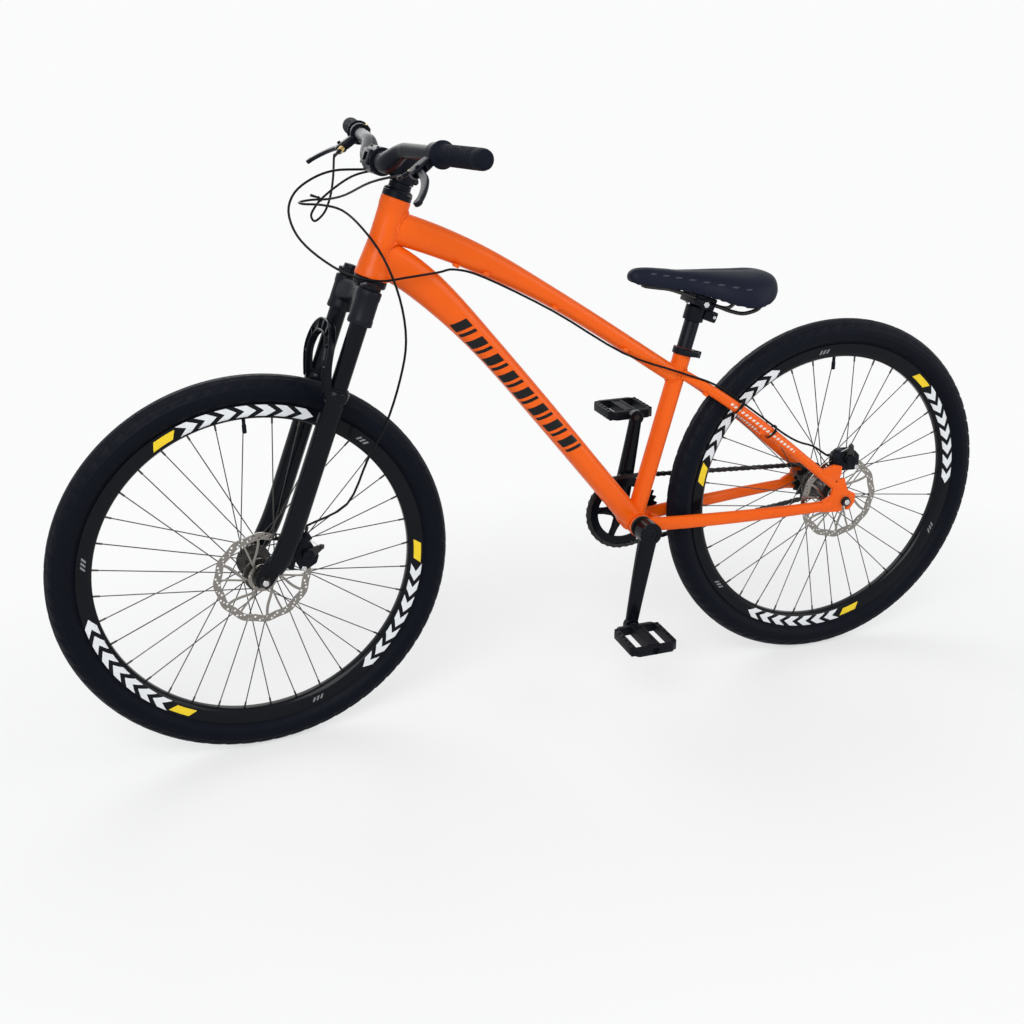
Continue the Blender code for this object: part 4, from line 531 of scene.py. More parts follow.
TEXT_START = Vector((0.186, 0, 0.716))
TEXT_WAY = (Vector((-0.03, 0, 0.462)) - TEXT_START).normalized()
TEXT_LENGTH = 0.325
TEXT_PITCH = TEXT_LENGTH / 8
TEXT_HALF = 0.0135
STAY_START = Vector((-0.305, 0, 0.535))
STAY_WAY = (Vector((-0.44, 0, 0.428)) - STAY_START).normalized()
STAY_LENGTH = 0.155
orange_paint = painted_frame()

# %% [markdown]
# The other finishes are black in many ways, and telling them apart is most of the work:
# gloss paint on the fork, satin anodising on the bar and stem, moulded plastic, and rubber.

# %% Blacks, steels and plastics
def worn(name, colour, pale, roughness, metallic=0.0, grain=240, relief=0.05, **sockets):
    """A finish with a little cloudiness, uneven gloss and a fine grain."""
    made = Finish(name, colour, roughness[0], metallic, **sockets)
    cloudy = made.noise(14, 3)
    made.set("Base Color", made.colours(cloudy, colour, pale))
    made.set("Roughness", made.between(made.noise(55, 4), *roughness))
    return made.rough(made.noise(grain, 3), relief, 0.0003)


gloss_black = worn("gloss_black_paint", (0.0022, 0.003, 0.0052), (0.0045, 0.0058, 0.0088), (0.14, 0.26),
    grain=500, relief=0.03, specular_ior_level=0.07, coat_weight=0.07, coat_roughness=0.05)
charcoal = worn("charcoal_cast_metal", (0.0055, 0.0068, 0.01), (0.011, 0.0128, 0.018), (0.32, 0.46),
    grain=700, relief=0.12, specular_ior_level=0.08)
satin_black = worn("satin_black_alloy", (0.003, 0.004, 0.0075), (0.0065, 0.008, 0.013), (0.3, 0.44),
    grain=600, relief=0.06, specular_ior_level=0.09)
black_steel = worn("blackened_steel", (0.02, 0.02, 0.022), (0.05, 0.048, 0.048), (0.3, 0.48), metallic=0.8,
    grain=800, relief=0.08)
bare_steel = worn("bare_steel", (0.5, 0.5, 0.51), (0.66, 0.66, 0.66), (0.22, 0.38), metallic=1.0, grain=900,
    relief=0.05)
moulded = worn("moulded_black_plastic", (0.003, 0.0036, 0.0058), (0.008, 0.009, 0.0125), (0.42, 0.58),
    grain=1400, relief=0.25, specular_ior_level=0.08)
sleeve = worn("black_cable_sleeve", (0.0022, 0.0024, 0.0034), (0.0045, 0.0048, 0.006), (0.28, 0.4),
    relief=0.02, specular_ior_level=0.1)
brass_gold = worn("gold_alloy", (0.62, 0.44, 0.16), (0.75, 0.56, 0.24), (0.22, 0.34), metallic=1.0)
print("finishes", len(bpy.data.materials))

# %% [markdown]
# The floor is a wide pale sheet. Away from the bicycle it fades into the white of the world,
# for the camera and in reflections only, so that just the soft shadow shows on it.

# %% Floor
bpy.ops.mesh.primitive_plane_add(size=16, location=(0, 0, -0.0005))
floor = bpy.context.object
floor.name = "studio_floor"
floor_finish = Finish("pale_floor", (0.93, 0.93, 0.935), 0.9)
floor_finish.set("Base Color", floor_finish.colours(floor_finish.noise(2), (0.925, 0.927, 0.93),
    (0.94, 0.94, 0.94)))
east, side, _ = floor_finish.parts(floor_finish.spot())
far = (east * east * 0.45 + side * side).maths("SQRT")
fading = (far * 1.6 - 0.75).maths("MAXIMUM", 0.0).maths("MINIMUM", 1.0)
light_path = floor_finish.tree.nodes.new("ShaderNodeLightPath")
seen_part = Wire(floor_finish, seen_rays(floor_finish.tree, light_path))
glow = floor_finish.add("ShaderNodeEmission", {}, {"Color": (0.965, 0.967, 0.97, 1), "Strength": 1.0})
plain = Wire(floor_finish, floor_finish.shader.outputs[0])
blend = floor_finish.add("ShaderNodeMixShader", {}, [(fading * 0.42 + 0.58) * seen_part, plain, glow])
floor_finish.tree.links.new(blend.socket, floor_finish.tree.nodes["Material Output"].inputs["Surface"])
floor.data.materials.append(floor_finish.material)
print(floor.name, "is", round(floor.dimensions.x), "m wide")

# %% [markdown]
# The frame is welded from shaped tubes. The top and down tubes are pressed from round tube
# into tall ovals at the head, so each is lofted through sections whose width and depth change
# along its curve. Extruding section by section keeps the long highlights smooth.

# %% Frame tubes
HEAD_LOW = 0.5105
HEAD_LONG = 0.128
HEAD_TOP = HEAD_LOW + HEAD_LONG
SEAT_LONG = 0.3256


def slope(degrees):
    """A unit vector that climbs forwards at an angle."""
    return in_plane(math.radians(degrees))


def top_tube_line(count):
    start = head(HEAD_TOP - 0.0425)
    end = seat(SEAT_LONG - 0.052)
    reach = (end - start).length / 3
    return bezier(start, slope(18) * -reach, slope(34) * reach, end, count)


def down_tube_line(count):
    start = head(HEAD_LOW + 0.035)
    reach = (start - bracket).length
    return bezier(start, slope(22) * -reach * 0.15, slope(51.8) * reach * 0.535, bracket, count)


def stay_line(side, upper, count):
    drop = rear_axle + Y * (side * 0.069)
    if upper:
        return bezier(seat(SEAT_LONG - 0.044, 0.004, side * 0.012), Vector((-0.109, side * 0.038, -0.063)),
            Vector((0.082, side * -0.002, 0.069)), drop + Vector((0.017, 0, 0.028)), count)
    return bezier(bracket + Vector((-0.014, side * 0.022, -0.003)), Vector((-0.095, side * 0.024, 0.002)),
        Vector((0.092, side * -0.004, -0.003)), drop + Vector((0.03, 0, -0.006)), count)


head_tube = lathe("head_tube", [(0.0262, 0), (0.0276, 0.0012), (0.0276, 0.0085), (0.0266, 0.0105),
    (0.0262, 0.02), (0.0247, 0.036), (0.0233, 0.052), (0.0228, 0.072), (0.0229, 0.095), (0.0232, 0.112),
    (0.024, 0.1145), (0.024, 0.1268), (0.0228, 0.128)], head(HEAD_LOW), steer_up, 64)
TOP_SIZES = [(0.04, 0.052), (0.038, 0.046), (0.035, 0.033), (0.033, 0.03), (0.03, 0.03)]
DOWN_SIZES = [(0.046, 0.06), (0.046, 0.056), (0.044, 0.044), (0.043, 0.042), (0.05, 0.041)]
top_tube = tube("top_tube", top_tube_line(36), curved(TOP_SIZES, 36), 36, 2.5)
down_tube = tube("down_tube", down_tube_line(36), curved(DOWN_SIZES, 36), 36, 2.5)
seat_tube = rod("seat_tube", bracket, seat(SEAT_LONG), 0.0159, 48)
shell = lathe("bracket_shell", [(0.0195, -0.034), (0.0205, -0.0332), (0.0213, -0.0325), (0.0213, -0.0265),
    (0.0205, -0.0255), (0.0205, 0.0255), (0.0213, 0.0265), (0.0213, 0.0325), (0.0205, 0.0332),
    (0.0195, 0.034)], bracket, Y, 56)
stays = []
for side in (1, -1):
    stays.append(tube("seatstay", stay_line(side, True, 28), curved([(0.014, 0.018), (0.015, 0.019),
        (0.015, 0.018), (0.014, 0.017)], 28), 24, 2.2))
    stays.append(tube("chainstay", stay_line(side, False, 28), curved([(0.016, 0.026), (0.016, 0.025),
        (0.016, 0.022), (0.015, 0.02)], 28), 24, 2.2))
for upper in (True, False):
    left, right = (stay_line(side, upper, 11)[1] for side in (1, -1))
    stays.append(rod("stay_bridge", left, right, 0.006, 24))
print("tubes", len(stays) + 5)

# %% [markdown]
# Where two tubes meet, a welder lays a bead of small overlapping scales. Rays shot along one
# tube find the line on which it meets the other, and the bead follows that line with a radius
# that rises and falls once for every scale.

# %% Weld beads
BEAD_STEP = 0.0009


def surface(*made):
    """What rays can hit: the faces of some objects."""
    work = bmesh.new()
    for one in made:
        work.from_mesh(one.data)
    return BVHTree.FromBMesh(work)


def weld(ring, way, target, radius=0.0021):
    """A rippled bead where rays from a tube's outline meet another surface."""
    hits = [target.ray_cast(point, way)[0] for point in ring]
    hits = [place for place in hits if place]
    middle = sum(hits, Vector()) / len(hits)
    round_trip = sum((place - hits[index - 1]).length for index, place in enumerate(hits))
    count = int(round_trip / BEAD_STEP)
    places = curved(hits + hits[:1], count + 1)[:-1]
    rings = []
    for index, place in enumerate(places):
        ahead = (places[(index + 1) % count] - places[index - 1]).normalized()
        out = place - middle
        out = (out - ahead * ahead.dot(out)).normalized()
        size = radius * (1 + 0.16 * math.sin(index * math.pi / 1.5))
        rings.append(oval(place, out, ahead.cross(out), size * 2, size * 2, 8))
    return loft("weld_bead", rings, closed=True)


def outline_at(path, sizes, share, sides=40, squareness=2.5):
    """A tube's own outline at a share of its length, and its direction there."""
    index = round(share * (len(path) - 1))
    ahead = (path[min(index + 1, len(path) - 1)] - path[max(index - 1, 0)]).normalized()
    wide = (Y - ahead * ahead.y).normalized()
    width, depth = sizes[index]
    return oval(path[index], wide, ahead.cross(wide), width, depth, sides, squareness), ahead


top_line, down_line = top_tube_line(36), down_tube_line(36)
top_sizes, down_sizes = curved(TOP_SIZES, 36), curved(DOWN_SIZES, 36)
head_skin, seat_skin, shell_skin = surface(head_tube), surface(seat_tube), surface(shell)
beads = []
for line, sizes, share, way, skin, radius in ((top_line, top_sizes, 0.16, -1, head_skin, 0.0024),
        (down_line, down_sizes, 0.16, -1, head_skin, 0.0024),
        (top_line, top_sizes, 0.86, 1, seat_skin, 0.0021),
        (down_line, down_sizes, 0.88, 1, shell_skin, 0.0024)):
    ring, ahead = outline_at(line, sizes, share)
    beads.append(weld(ring, ahead * way, skin, radius))
beads.append(weld(oval(seat(0.06), Y, seat_back, 0.0318, 0.0318, 32), -seat_up, shell_skin))
for side in (1, -1):
    for upper, skin in ((True, seat_skin), (False, shell_skin)):
        line = stay_line(side, upper, 28)
        sizes = [(0.0145, 0.0185) if upper else (0.016, 0.0255)] * 28
        ring, ahead = outline_at(line, sizes, 0.15, 24, 2.2)
        near = [point for point in ring if skin.ray_cast(point, -ahead)[0]]
        if len(near) > 12:
            beads.append(weld(ring, -ahead, skin, 0.0016))
print("weld beads", len(beads))

# %% [markdown]
# The rear dropouts are laser-cut plates, seven millimetres thick, with an open slot for the
# axle and a lug on the left for the brake. Cutting the slot with a Boolean is what the
# laser does. The small hooks that the rear cable runs through are welded to the tube's side.

# %% Dropouts and cable guides
DROPOUT = [(0.05, -0.016), (0.05, 0.004), (0.03, 0.014), (0.024, 0.044), (0.004, 0.046), (-0.004, 0.022),
    (-0.022, 0.012), (-0.022, -0.004), (-0.012, -0.018), (0.014, -0.02)]
REAR_LUG = [(0.026, 0.034), (0.056, 0.056), (0.05, 0.068), (0.028, 0.074), (0.012, 0.07), (0.012, 0.056),
    (0.016, 0.044)]
PLATE_THICKNESS = 0.007
REAR_INNER = 0.0675
TOP_GUIDES = [(0.21, -0.0235), (0.3, -0.016), (0.53, -0.012), (0.79, -0.01)]
STAY_HOOKS = [(0.14, -0.0105), (0.46, -0.01)]
GUIDE_SIDE = 0.0165
POST_HOLE = 0.0139


def axle_slot(axle, side, inner, way):
    """What a dropout's slot takes away: a round end and an open throat."""
    middle = axle + Y * (side * (inner + PLATE_THICKNESS / 2))
    return [rod_through("slot_end", middle, Y * 0.006, 0.0053, 32, 0), brick("slot_throat",
        middle + way * 0.015, way.cross(Y), way, Y, (0.0106, 0.03, 0.012), 0)]


def side_plate(name, outline, centre, inner, thickness, side=1):
    """A plate that lies across Y, from (ahead, up) points about a centre."""
    points = [centre + Vector((ahead, side * inner, up)) for ahead, up in outline]
    return plate(name, points, Y * (side * thickness), 0.0012)


def beside(line, share, aside, lift):
    """A point beside a tube, with the tube's direction and its upward normal."""
    index = min(max(round(share * (len(line) - 1)), 1), len(line) - 2)
    ahead = (line[index - 1] - line[index + 1]).normalized()
    up = (Z - ahead * ahead.z).normalized()
    return line[index] + Y * aside + up * lift, ahead, up


def bracket_bore():
    """The bar that clears the cartridge's way through one of the tubes at the bracket."""
    return rod_through("bracket_bore", bracket, Y * 0.06, 0.0174, 48, 0)


ends = [carve(side_plate("dropout", DROPOUT, rear_axle, REAR_INNER, PLATE_THICKNESS, side),
    *axle_slot(rear_axle, side, REAR_INNER, -Z)) for side in (1, -1)]
ends.append(side_plate("brake_lug", REAR_LUG, rear_axle, REAR_INNER, PLATE_THICKNESS))
hooks = []
for line, aside, places in ((top_tube_line(101), GUIDE_SIDE, TOP_GUIDES),
        (stay_line(1, True, 101), 0, STAY_HOOKS)):
    for share, lift in places:
        spot, ahead, up = beside(line, share, aside, lift)
        hooks.append(brick("cable_hook", spot, ahead, up.cross(ahead), up, (0.01, 0.012, 0.006), 0.0018))
for tube_end in (down_tube, shell, stays[1], stays[3]):
    carve(tube_end, bracket_bore())
carve(seat_tube, bracket_bore(), rod("post_bore", seat(0.09), seat(SEAT_LONG + 0.01), POST_HOLE, 48, 0))
carve(head_tube, rod("head_bore", head(HEAD_LOW - 0.01), head(HEAD_TOP + 0.01), 0.0183, 48, 0))
whole_frame = gather("welded_frame", [head_tube, top_tube, down_tube, seat_tube, shell, *stays, *beads,
    *ends, *hooks])
done(whole_frame, orange_paint, "frame", ["frame"], angle=42)

# %% [markdown]
# A real wheel is built from the inside out: the hub is turned on a lathe, the spokes run from
# its flanges past three others to nipples in the rim, and the deep rim carries the tyre. Here
# the tyre comes first. Its tread is cut into its outline, section by section.

# %% Tyres
TYRE_RADIUS = 0.33
TYRE_HALF = 0.0235
TREAD_STEPS = 432
TREAD_PITCH = 6


def tread_depth(step, angle):
    """How far the rubber lies below the full tyre at a step round the wheel and over its crown."""
    lean = abs(angle)
    if lean > 62:
        return 0.0011 if 62 < lean < 67 or 84 < lean < 88 else 0.0004
    slant = lean / 14
    place = (step + slant + (TREAD_PITCH / 2 if angle > 0 else 0)) % TREAD_PITCH
    if lean > 26:
        return 0.0016 if place < 1.2 else 0.0
    if 22 < lean <= 26 or lean < 3:
        return 0.001
    return 0.0011 if place < 0.9 else 0.0


def tyre_section(step):
    """The closed outline of the tyre in one direction from the axle."""
    turn = 2 * math.pi * step / TREAD_STEPS
    way = in_plane(turn)
    outline = [(0.2797, -0.0072), (0.2797, -0.0102), (0.2861, -0.0104)]
    for index in range(41):
        angle = -130 + 260 * index / 40
        radius = TYRE_HALF - tread_depth(step, angle)
        outline.append((TYRE_RADIUS - TYRE_HALF + radius * math.cos(math.radians(angle)),
            radius * math.sin(math.radians(angle))))
    outline += [(0.2861, 0.0104), (0.2797, 0.0102), (0.2797, 0.0072)]
    for angle in range(112, -113, -28):
        outline.append((TYRE_RADIUS - TYRE_HALF + 0.0205 * math.cos(math.radians(angle)),
            0.0205 * math.sin(math.radians(angle))))
    return [way * radius + Y * along for radius, along in outline]


def rubber(name, axle, turn):
    """Tyre rubber: moulding lines that run round the wheel, fine grain and a painted highlight on the
    tread.
    """
    made = Finish(name, (0.003, 0.004, 0.008), 0.5, specular_ior_level=0.07)
    far = made.round_axle(axle, turn)[2]
    lines = (far * 2400).wave() * ((far < 0.3075) * 1.0)
    # Painted highlight: the tread is painted paler from the shoulders out to the crown, broken into patches
    # by noise.
    crown = far.maths("SUBTRACT", 0.318).maths("MULTIPLY", 90).maths("MINIMUM", 1.0).maths("MAXIMUM", 0.0)
    highlight_patches = made.noise(26, 4)
    made.set("Base Color", made.colours(highlight_patches * crown, (0.0028, 0.0038, 0.008), (0.011, 0.012, 0.0165)))
    made.set("Roughness", made.between(made.noise(70, 3), 0.42, 0.62))
    return made.rough(lines * 0.5 + made.noise(900, 3) * 0.5, 0.28, 0.0004)


straight_tyre = loft("rear_tyre_and_tread", [tyre_section(step) for step in range(TREAD_STEPS)],
    closed=True)
front_tyre = copied(straight_tyre, Matrix.Translation(front_axle))[0]
front_tyre.name = "front_tyre_and_tread"
straight_tyre.data.transform(Matrix.Translation(rear_axle))
front_centre = turn_left @ front_axle
front_turn = STEER_TURN.to_euler()
WHEELS = (("rear", rear_axle, (0, 0, 0), rear_axle), ("front", front_axle, front_turn, front_centre))
front_rubber = rubber("front_tyre_rubber", front_centre, front_turn)
rear_rubber = rubber("rear_tyre_rubber", rear_axle, (0, 0, 0))
done(straight_tyre, rear_rubber, "rear_wheel", ["rear_tyre"])
done(front_tyre, front_rubber, "front_wheel", ["front_tyre"])

# %% [markdown]
# The rims are deep, with two flat flanks that meet in a narrow spine, and are sprayed gloss
# black. Three groups of white chevrons, each with a yellow lozenge, stand on each flank
# where the printed graphics of such rims sit. Their places are angles round the axle.

# %% Rims
GROUP_TURN = 120


def rim_paint(name, axle, turn, first):
    """Gloss black with the generic graphics, whose first group starts at an angle in degrees."""
    made = Finish(name, (0.003, 0.004, 0.006), 0.16, specular_ior_level=0.08, coat_weight=0.07,
        coat_roughness=0.05)
    east, up, far = made.round_axle(axle, turn)
    round_way = up.maths("ARCTAN2", east) * (180 / math.pi) + 360
    flank = (far > 0.264) * (far < 0.2842)
    share = (far - 0.2745) * (1 / 0.0105)
    slanted = (round_way - first - share * 1.6).repeat(GROUP_TURN)
    chevron = (round_way - first + share.size() * 3.4).repeat(GROUP_TURN)
    bars = (chevron - 12).repeat(6.4) < 3.8
    white = bars * (chevron > 12) * (chevron < 56.8) * (share.size() < 0.9) * flank
    lozenge = (slanted < 7.5) * (share.size() < 0.62) * flank
    small = (slanted > 72) * (slanted < 76.5) * ((slanted.repeat(1.5) < 0.8)
        * (share.size() < 0.35)) * flank
    colour = made.colours(made.noise(20, 2), (0.0024, 0.003, 0.005), (0.0048, 0.0056, 0.008))
    colour = made.colours(white.maths("MINIMUM", 1.0), colour, (0.74, 0.76, 0.78))
    colour = made.colours(small, colour, (0.22, 0.22, 0.23))
    made.set("Base Color", made.colours(lozenge, colour, (0.83, 0.6, 0.03)))
    made.set("Roughness", made.between(made.noise(40, 4), 0.12, 0.24))
    return made.rough(made.noise(600, 2), 0.04, 0.0003)


GRAPHICS_AT = {"front": 59, "rear": 10}
RIM_PROFILE = [(0.2855, 0.012), (0.285, 0.0125), (0.2835, 0.0125), (0.27, 0.0124), (0.2665, 0.0116),
    (0.261, 0.0066), (0.2602, 0.0052), (0.26, 0.0), (0.2602, -0.0052), (0.261, -0.0066), (0.2665, -0.0116),
    (0.27, -0.0124), (0.2835, -0.0125), (0.285, -0.0125), (0.2855, -0.012), (0.2855, -0.0106),
    (0.2786, -0.0105), (0.276, -0.006), (0.276, 0.006), (0.2786, 0.0105), (0.2855, 0.0106)]


def ring_about(name, profile, centre, steps):
    """A closed outline of (radius, along) points turned about the wheel's axle."""
    rings = []
    for step in range(steps):
        turn = 2 * math.pi * step / steps
        way = in_plane(turn)
        rings.append([centre + way * radius + Y * along for radius, along in profile])
    return loft(name, rings, closed=True)


for end, axle, turn, centre in WHEELS:
    rim = ring_about(f"{end}_deep_rim", RIM_PROFILE, axle, 160)
    carve(rim, rod("valve_hole", axle + Z * 0.25, axle + Z * 0.29, 0.0033, 24, 0))
    done(rim, rim_paint(f"{end}_rim_paint", centre, turn, GRAPHICS_AT[end]), f"{end}_wheel",
        [f"{end}_rim"])
    valve_at = axle + Z * 0.262
    valve = [rod("valve_stem", valve_at, valve_at - Z * 0.0255, 0.0029, 20),
        rod("valve_cap", valve_at - Z * 0.012, valve_at - Z * 0.0265, 0.0036, 12, 0.0008),
        rod("valve_foot", valve_at + Z * 0.001, valve_at - Z * 0.003, 0.0048, 24, 0.001)]
    bladder = ring_about("inner_tube", [(0.3065 + 0.0155 * math.cos(a), 0.0155 * math.sin(a))
        for a in (math.pi * step / 6 for step in range(12))], axle, 48)
    done(gather(f"{end}_tube_and_valve", [*valve, bladder]), moulded, f"{end}_wheel",
        [f"{end}_inner_tube"])

# %% [markdown]
# Each spoke leaves a hole in the flange with a bend and lies tangent to the hub. One spoke of
# each kind is drawn, and turned copies make the other eight. Nipples of blackened brass hold
# them in the rim.

# %% Hubs and spokes
SPOKES = 36
CROSSINGS = 3
FLANGE_RADIUS = 0.029
ROTOR_AT = {"front": 0.0395, "rear": 0.0515}
FLANGES = {"front": (0.026, -0.034), "rear": (0.034, -0.03)}
HUB_HALF = {"front": 0.0497, "rear": 0.0672}
black_spokes = worn("black_spokes", (0.03, 0.029, 0.028), (0.075, 0.07, 0.066), (0.3, 0.45), metallic=0.6)


def hub_profile(end):
    """The hub's outline along its axle, from its right end to its left end."""
    left, right = FLANGES[end]
    half = HUB_HALF[end]
    nose, seat_y = 0.01, ROTOR_AT[end] - 0.0013
    flange = [(FLANGE_RADIUS - 0.0006, -0.0025), (FLANGE_RADIUS, -0.0019), (FLANGE_RADIUS, 0.0019),
        (FLANGE_RADIUS - 0.0006, 0.0025)]
    shell_line = [(0.0053, -half), (nose - 0.0005, -half), (nose, -half + 0.0005), (nose, right - 0.004),
        (0.015, right - 0.003)]
    shell_line += [(radius, right + along) for radius, along in flange]
    shell_line += [(0.021, right + 0.0032), (0.0152, right + 0.006), (0.0132, right + 0.011),
        (0.0126, right + 0.018), (0.0126, left - 0.018), (0.0132, left - 0.011), (0.0152, left - 0.006),
        (0.021, left - 0.0032)]
    shell_line += [(radius, left + along) for radius, along in flange]
    shell_line += [(0.0182, left + 0.003), (0.018, seat_y - 0.0004), (0.0176, seat_y), (nose, seat_y),
        (nose, half - 0.0005), (nose - 0.0005, half), (0.0053, half)]
    return shell_line


def laced_hub(end, axle):
    """The hub shell with all its spokes and nipples."""
    half = 0.0025
    pitch = 4 * math.pi / SPOKES
    made = [ring_about("hub_shell", hub_profile(end), axle, 56)]
    for side, flange in zip((1, -1), FLANGES[end]):
        for way in (1, -1):
            start = (0 if side > 0 else pitch / 2) + (pitch if way > 0 else 0)
            stop = start + way * CROSSINGS * pitch
            low = Vector((math.cos(start) * 0.0249, flange + way * half * 0.5, math.sin(start) * 0.0249))
            bend = low + Y * (way * half * 1.05)
            high = Vector((math.cos(stop) * 0.2595, way * half * 0.2, math.sin(stop) * 0.2595))
            run = (high - bend).normalized()
            path = [low - Y * (way * half * 1.1), bend - Y * (way * 0.0006), bend + run * 0.0014,
                bend + run * 0.09, high]
            wire = tube("spoke", [axle + point for point in path], [(0.0019, 0.0019)] * 5, 8, 2, Z)
            nipple = rod("nipple", axle + high - run * 0.01, axle + high + run * 0.0014, 0.0017, 8, 0.0004)
            head_end = rod("spoke_head", axle + low - Y * (way * half * 1.25),
                axle + low - Y * (way * half * 0.9), 0.0018, 10, 0.0003)
            one = gather("spoke", [wire, nipple, head_end])
            turns = [Matrix.Translation(axle) @ Matrix.Rotation(2 * pitch * count, 4, "Y")
                @ Matrix.Translation(-axle) for count in range(1, SPOKES // 4)]
            made += [one, *copied(one, *turns)]
    return gather(f"{end}_laced_hub", made)


for end, axle in (("rear", rear_axle), ("front", front_axle)):
    done(laced_hub(end, axle), black_spokes, f"{end}_wheel", [f"{end}_hub_and_spokes"])

# %% [markdown]
# The brake rotor is stamped from steel sheet. Its braking band is wavy and full of small
# holes that clear water away, and thin slanted arms carry it from a ring that six screws
# hold to the hub. Its band is brushed round and round by the pads.

# %% Brake rotors
ROTOR_HALF = 0.001
WAVES = 12
BAND_STEPS = 192


def rotor_steel(name, axle, turn):
    """Stainless sheet with marks that run round the axle."""
    made = Finish(name, (0.55, 0.55, 0.56), 0.3, 1.0)
    far = made.round_axle(axle, turn)[2]
    marks = made.add("ShaderNodeTexNoise", {"noise_dimensions": "1D"}, {"W": far * 2600, "Scale": 1.0},
        "Fac")
    made.set("Base Color", made.colours(marks, (0.17, 0.16, 0.145), (0.33, 0.31, 0.285)))
    made.set("Roughness", made.between(marks, 0.22, 0.4))
    return made.rough(marks, 0.1, 0.0002)


def brake_rotor(end, axle):
    """The wavy band with its holes, the arms, the centre ring and its screws."""
    middle = axle + Y * ROTOR_AT[end]
    rings = []
    for step in range(BAND_STEPS):
        turn = 2 * math.pi * step / BAND_STEPS
        way = in_plane(turn)
        swell = 0.0011 * math.cos(turn * WAVES)
        outer, inner = 0.0789 + swell, 0.0668 + swell
        rings.append([middle + way * radius + Y * along for radius, along in ((inner, -ROTOR_HALF),
            (outer, -ROTOR_HALF), (outer, ROTOR_HALF), (inner, ROTOR_HALF))])
    band = loft("rotor_band", rings, closed=True)
    holes = []
    for wave in range(WAVES * 2):
        for radius, shift, size in ((0.0703, 0.0, 0.002), (0.073, 0.075, 0.0017), (0.0757, 0.15, 0.002)):
            turn = 2 * math.pi * wave / (WAVES * 2) + shift
            spot = middle + in_plane(turn) * radius
            holes.append(rod_through("rotor_hole", spot, Y * 0.004, size, 12, 0))
    carve(band, gather("rotor_holes", holes))
    made = [band, ring_about("rotor_centre", [(0.0178, -ROTOR_HALF), (0.024, -ROTOR_HALF),
        (0.024, ROTOR_HALF), (0.0178, ROTOR_HALF)], middle, 64)]
    for arm in range(6):
        start = 2 * math.pi * arm / 6
        for spread, width in ((0.5, 0.0046), (0.12, 0.0034)):
            low = in_plane(start) * 0.0225
            high = in_plane(start + spread) * 0.0685
            path = bezier(middle + low, low * 0.5, high * -0.35, middle + high, 9)
            made.append(tube("rotor_arm", path, [(ROTOR_HALF * 1.9, width)] * 9, 8, 5.0, Y))
        bolt = middle + in_plane(start + 0.26) * 0.021
        made.append(rod("rotor_screw", bolt, bolt + Y * 0.003, 0.0036, 20, 0.0008))
    return gather(f"{end}_rotor", made)


for end, axle, turn, centre in WHEELS:
    done(brake_rotor(end, axle), rotor_steel(f"{end}_rotor_steel", centre, turn), f"{end}_wheel",
        [f"{end}_brake_rotor"])

# %% [markdown]
# The fork's crown is forged: a thick bridge that drops at both ends into sockets for the two
# upper tubes. Those tubes are ground smooth, as the lower legs slide on them. The crown's
# sections are drawn from socket to socket, so that its top keeps one smooth line.

# %% Fork crown and upper tubes
LEG = 0.059
LEG_LEAD = 0.016
CROWN_TOP = 0.4985
CROWN_DEEP = 0.056
COVER_TOP = 0.6625
STEM_TALL = 0.04
crown_line = curved([(-1.0, 0.046, 0.016, 0.036), (-0.55, 0.036, 0.01, 0.038), (0.0, 0.03, 0.002, 0.042),
    (0.55, 0.036, 0.01, 0.038), (1.0, 0.046, 0.016, 0.036)], 25)
bridge = tube("fork_crown", [head(CROWN_TOP - deep / 2, lead, share * LEG)
    for share, deep, lead, broad in crown_line], [(broad, deep) for share, deep, lead, broad in crown_line],
    36, 3.2, steer_ahead)
SOCKET = [(0.018, 0), (0.0192, 0.0006), (0.0198, 0.0016), (0.0198, 0.009), (0.0191, 0.0105), (0.0189, 0.04),
    (0.0197, 0.044), (0.0198, 0.053), (0.019, 0.0548), (0.0172, 0.0553)]
crown_parts = [bridge]
for side in (1, -1):
    crown_parts.append(lathe("socket", SOCKET, head(CROWN_TOP - CROWN_DEEP, LEG_LEAD, side * LEG), steer_up,
        48))
crown_parts.append(rod("steerer", head(0.4785), head(COVER_TOP + STEM_TALL - 0.003), 0.0143, 40))
crown_parts.append(rod("crown_race", head(0.4905), head(CROWN_TOP), 0.0203, 48))
done(gather("forged_crown_and_steerer", crown_parts), charcoal, "steering",
    ["fork_crown_and_steerer"], angle=50)
for side, name in SIDES:
    shaft = lathe(f"{name}_upper_tube", [(0.0143, 0), (0.0143, 0.3335), (0.0123, 0.3335), (0.0123, 0)],
        head(0.165, LEG_LEAD, side * LEG), steer_up, 48, closed=True)
    done(shaft, gloss_black, "steering", [f"{name}_stanchion"])


def knurled(name, profile, start, axis, teeth, depth):
    """A lathe-turned piece with grip ridges round it."""
    made = lathe(name, profile, start, axis, teeth * 4)
    full = max(radius for radius, along in profile)
    for corner in made.data.vertices:
        arm = corner.co - start
        along = axis * arm.dot(axis)
        away = arm - along
        turn = math.atan2(away.dot(axis.cross(Y + X * 0.01)), away.dot(Y - axis * axis.y))
        if away.length > full - 0.0004 and math.cos(turn * teeth) < -0.2:
            corner.co = start + along + away * ((away.length - depth) / away.length)
    return made


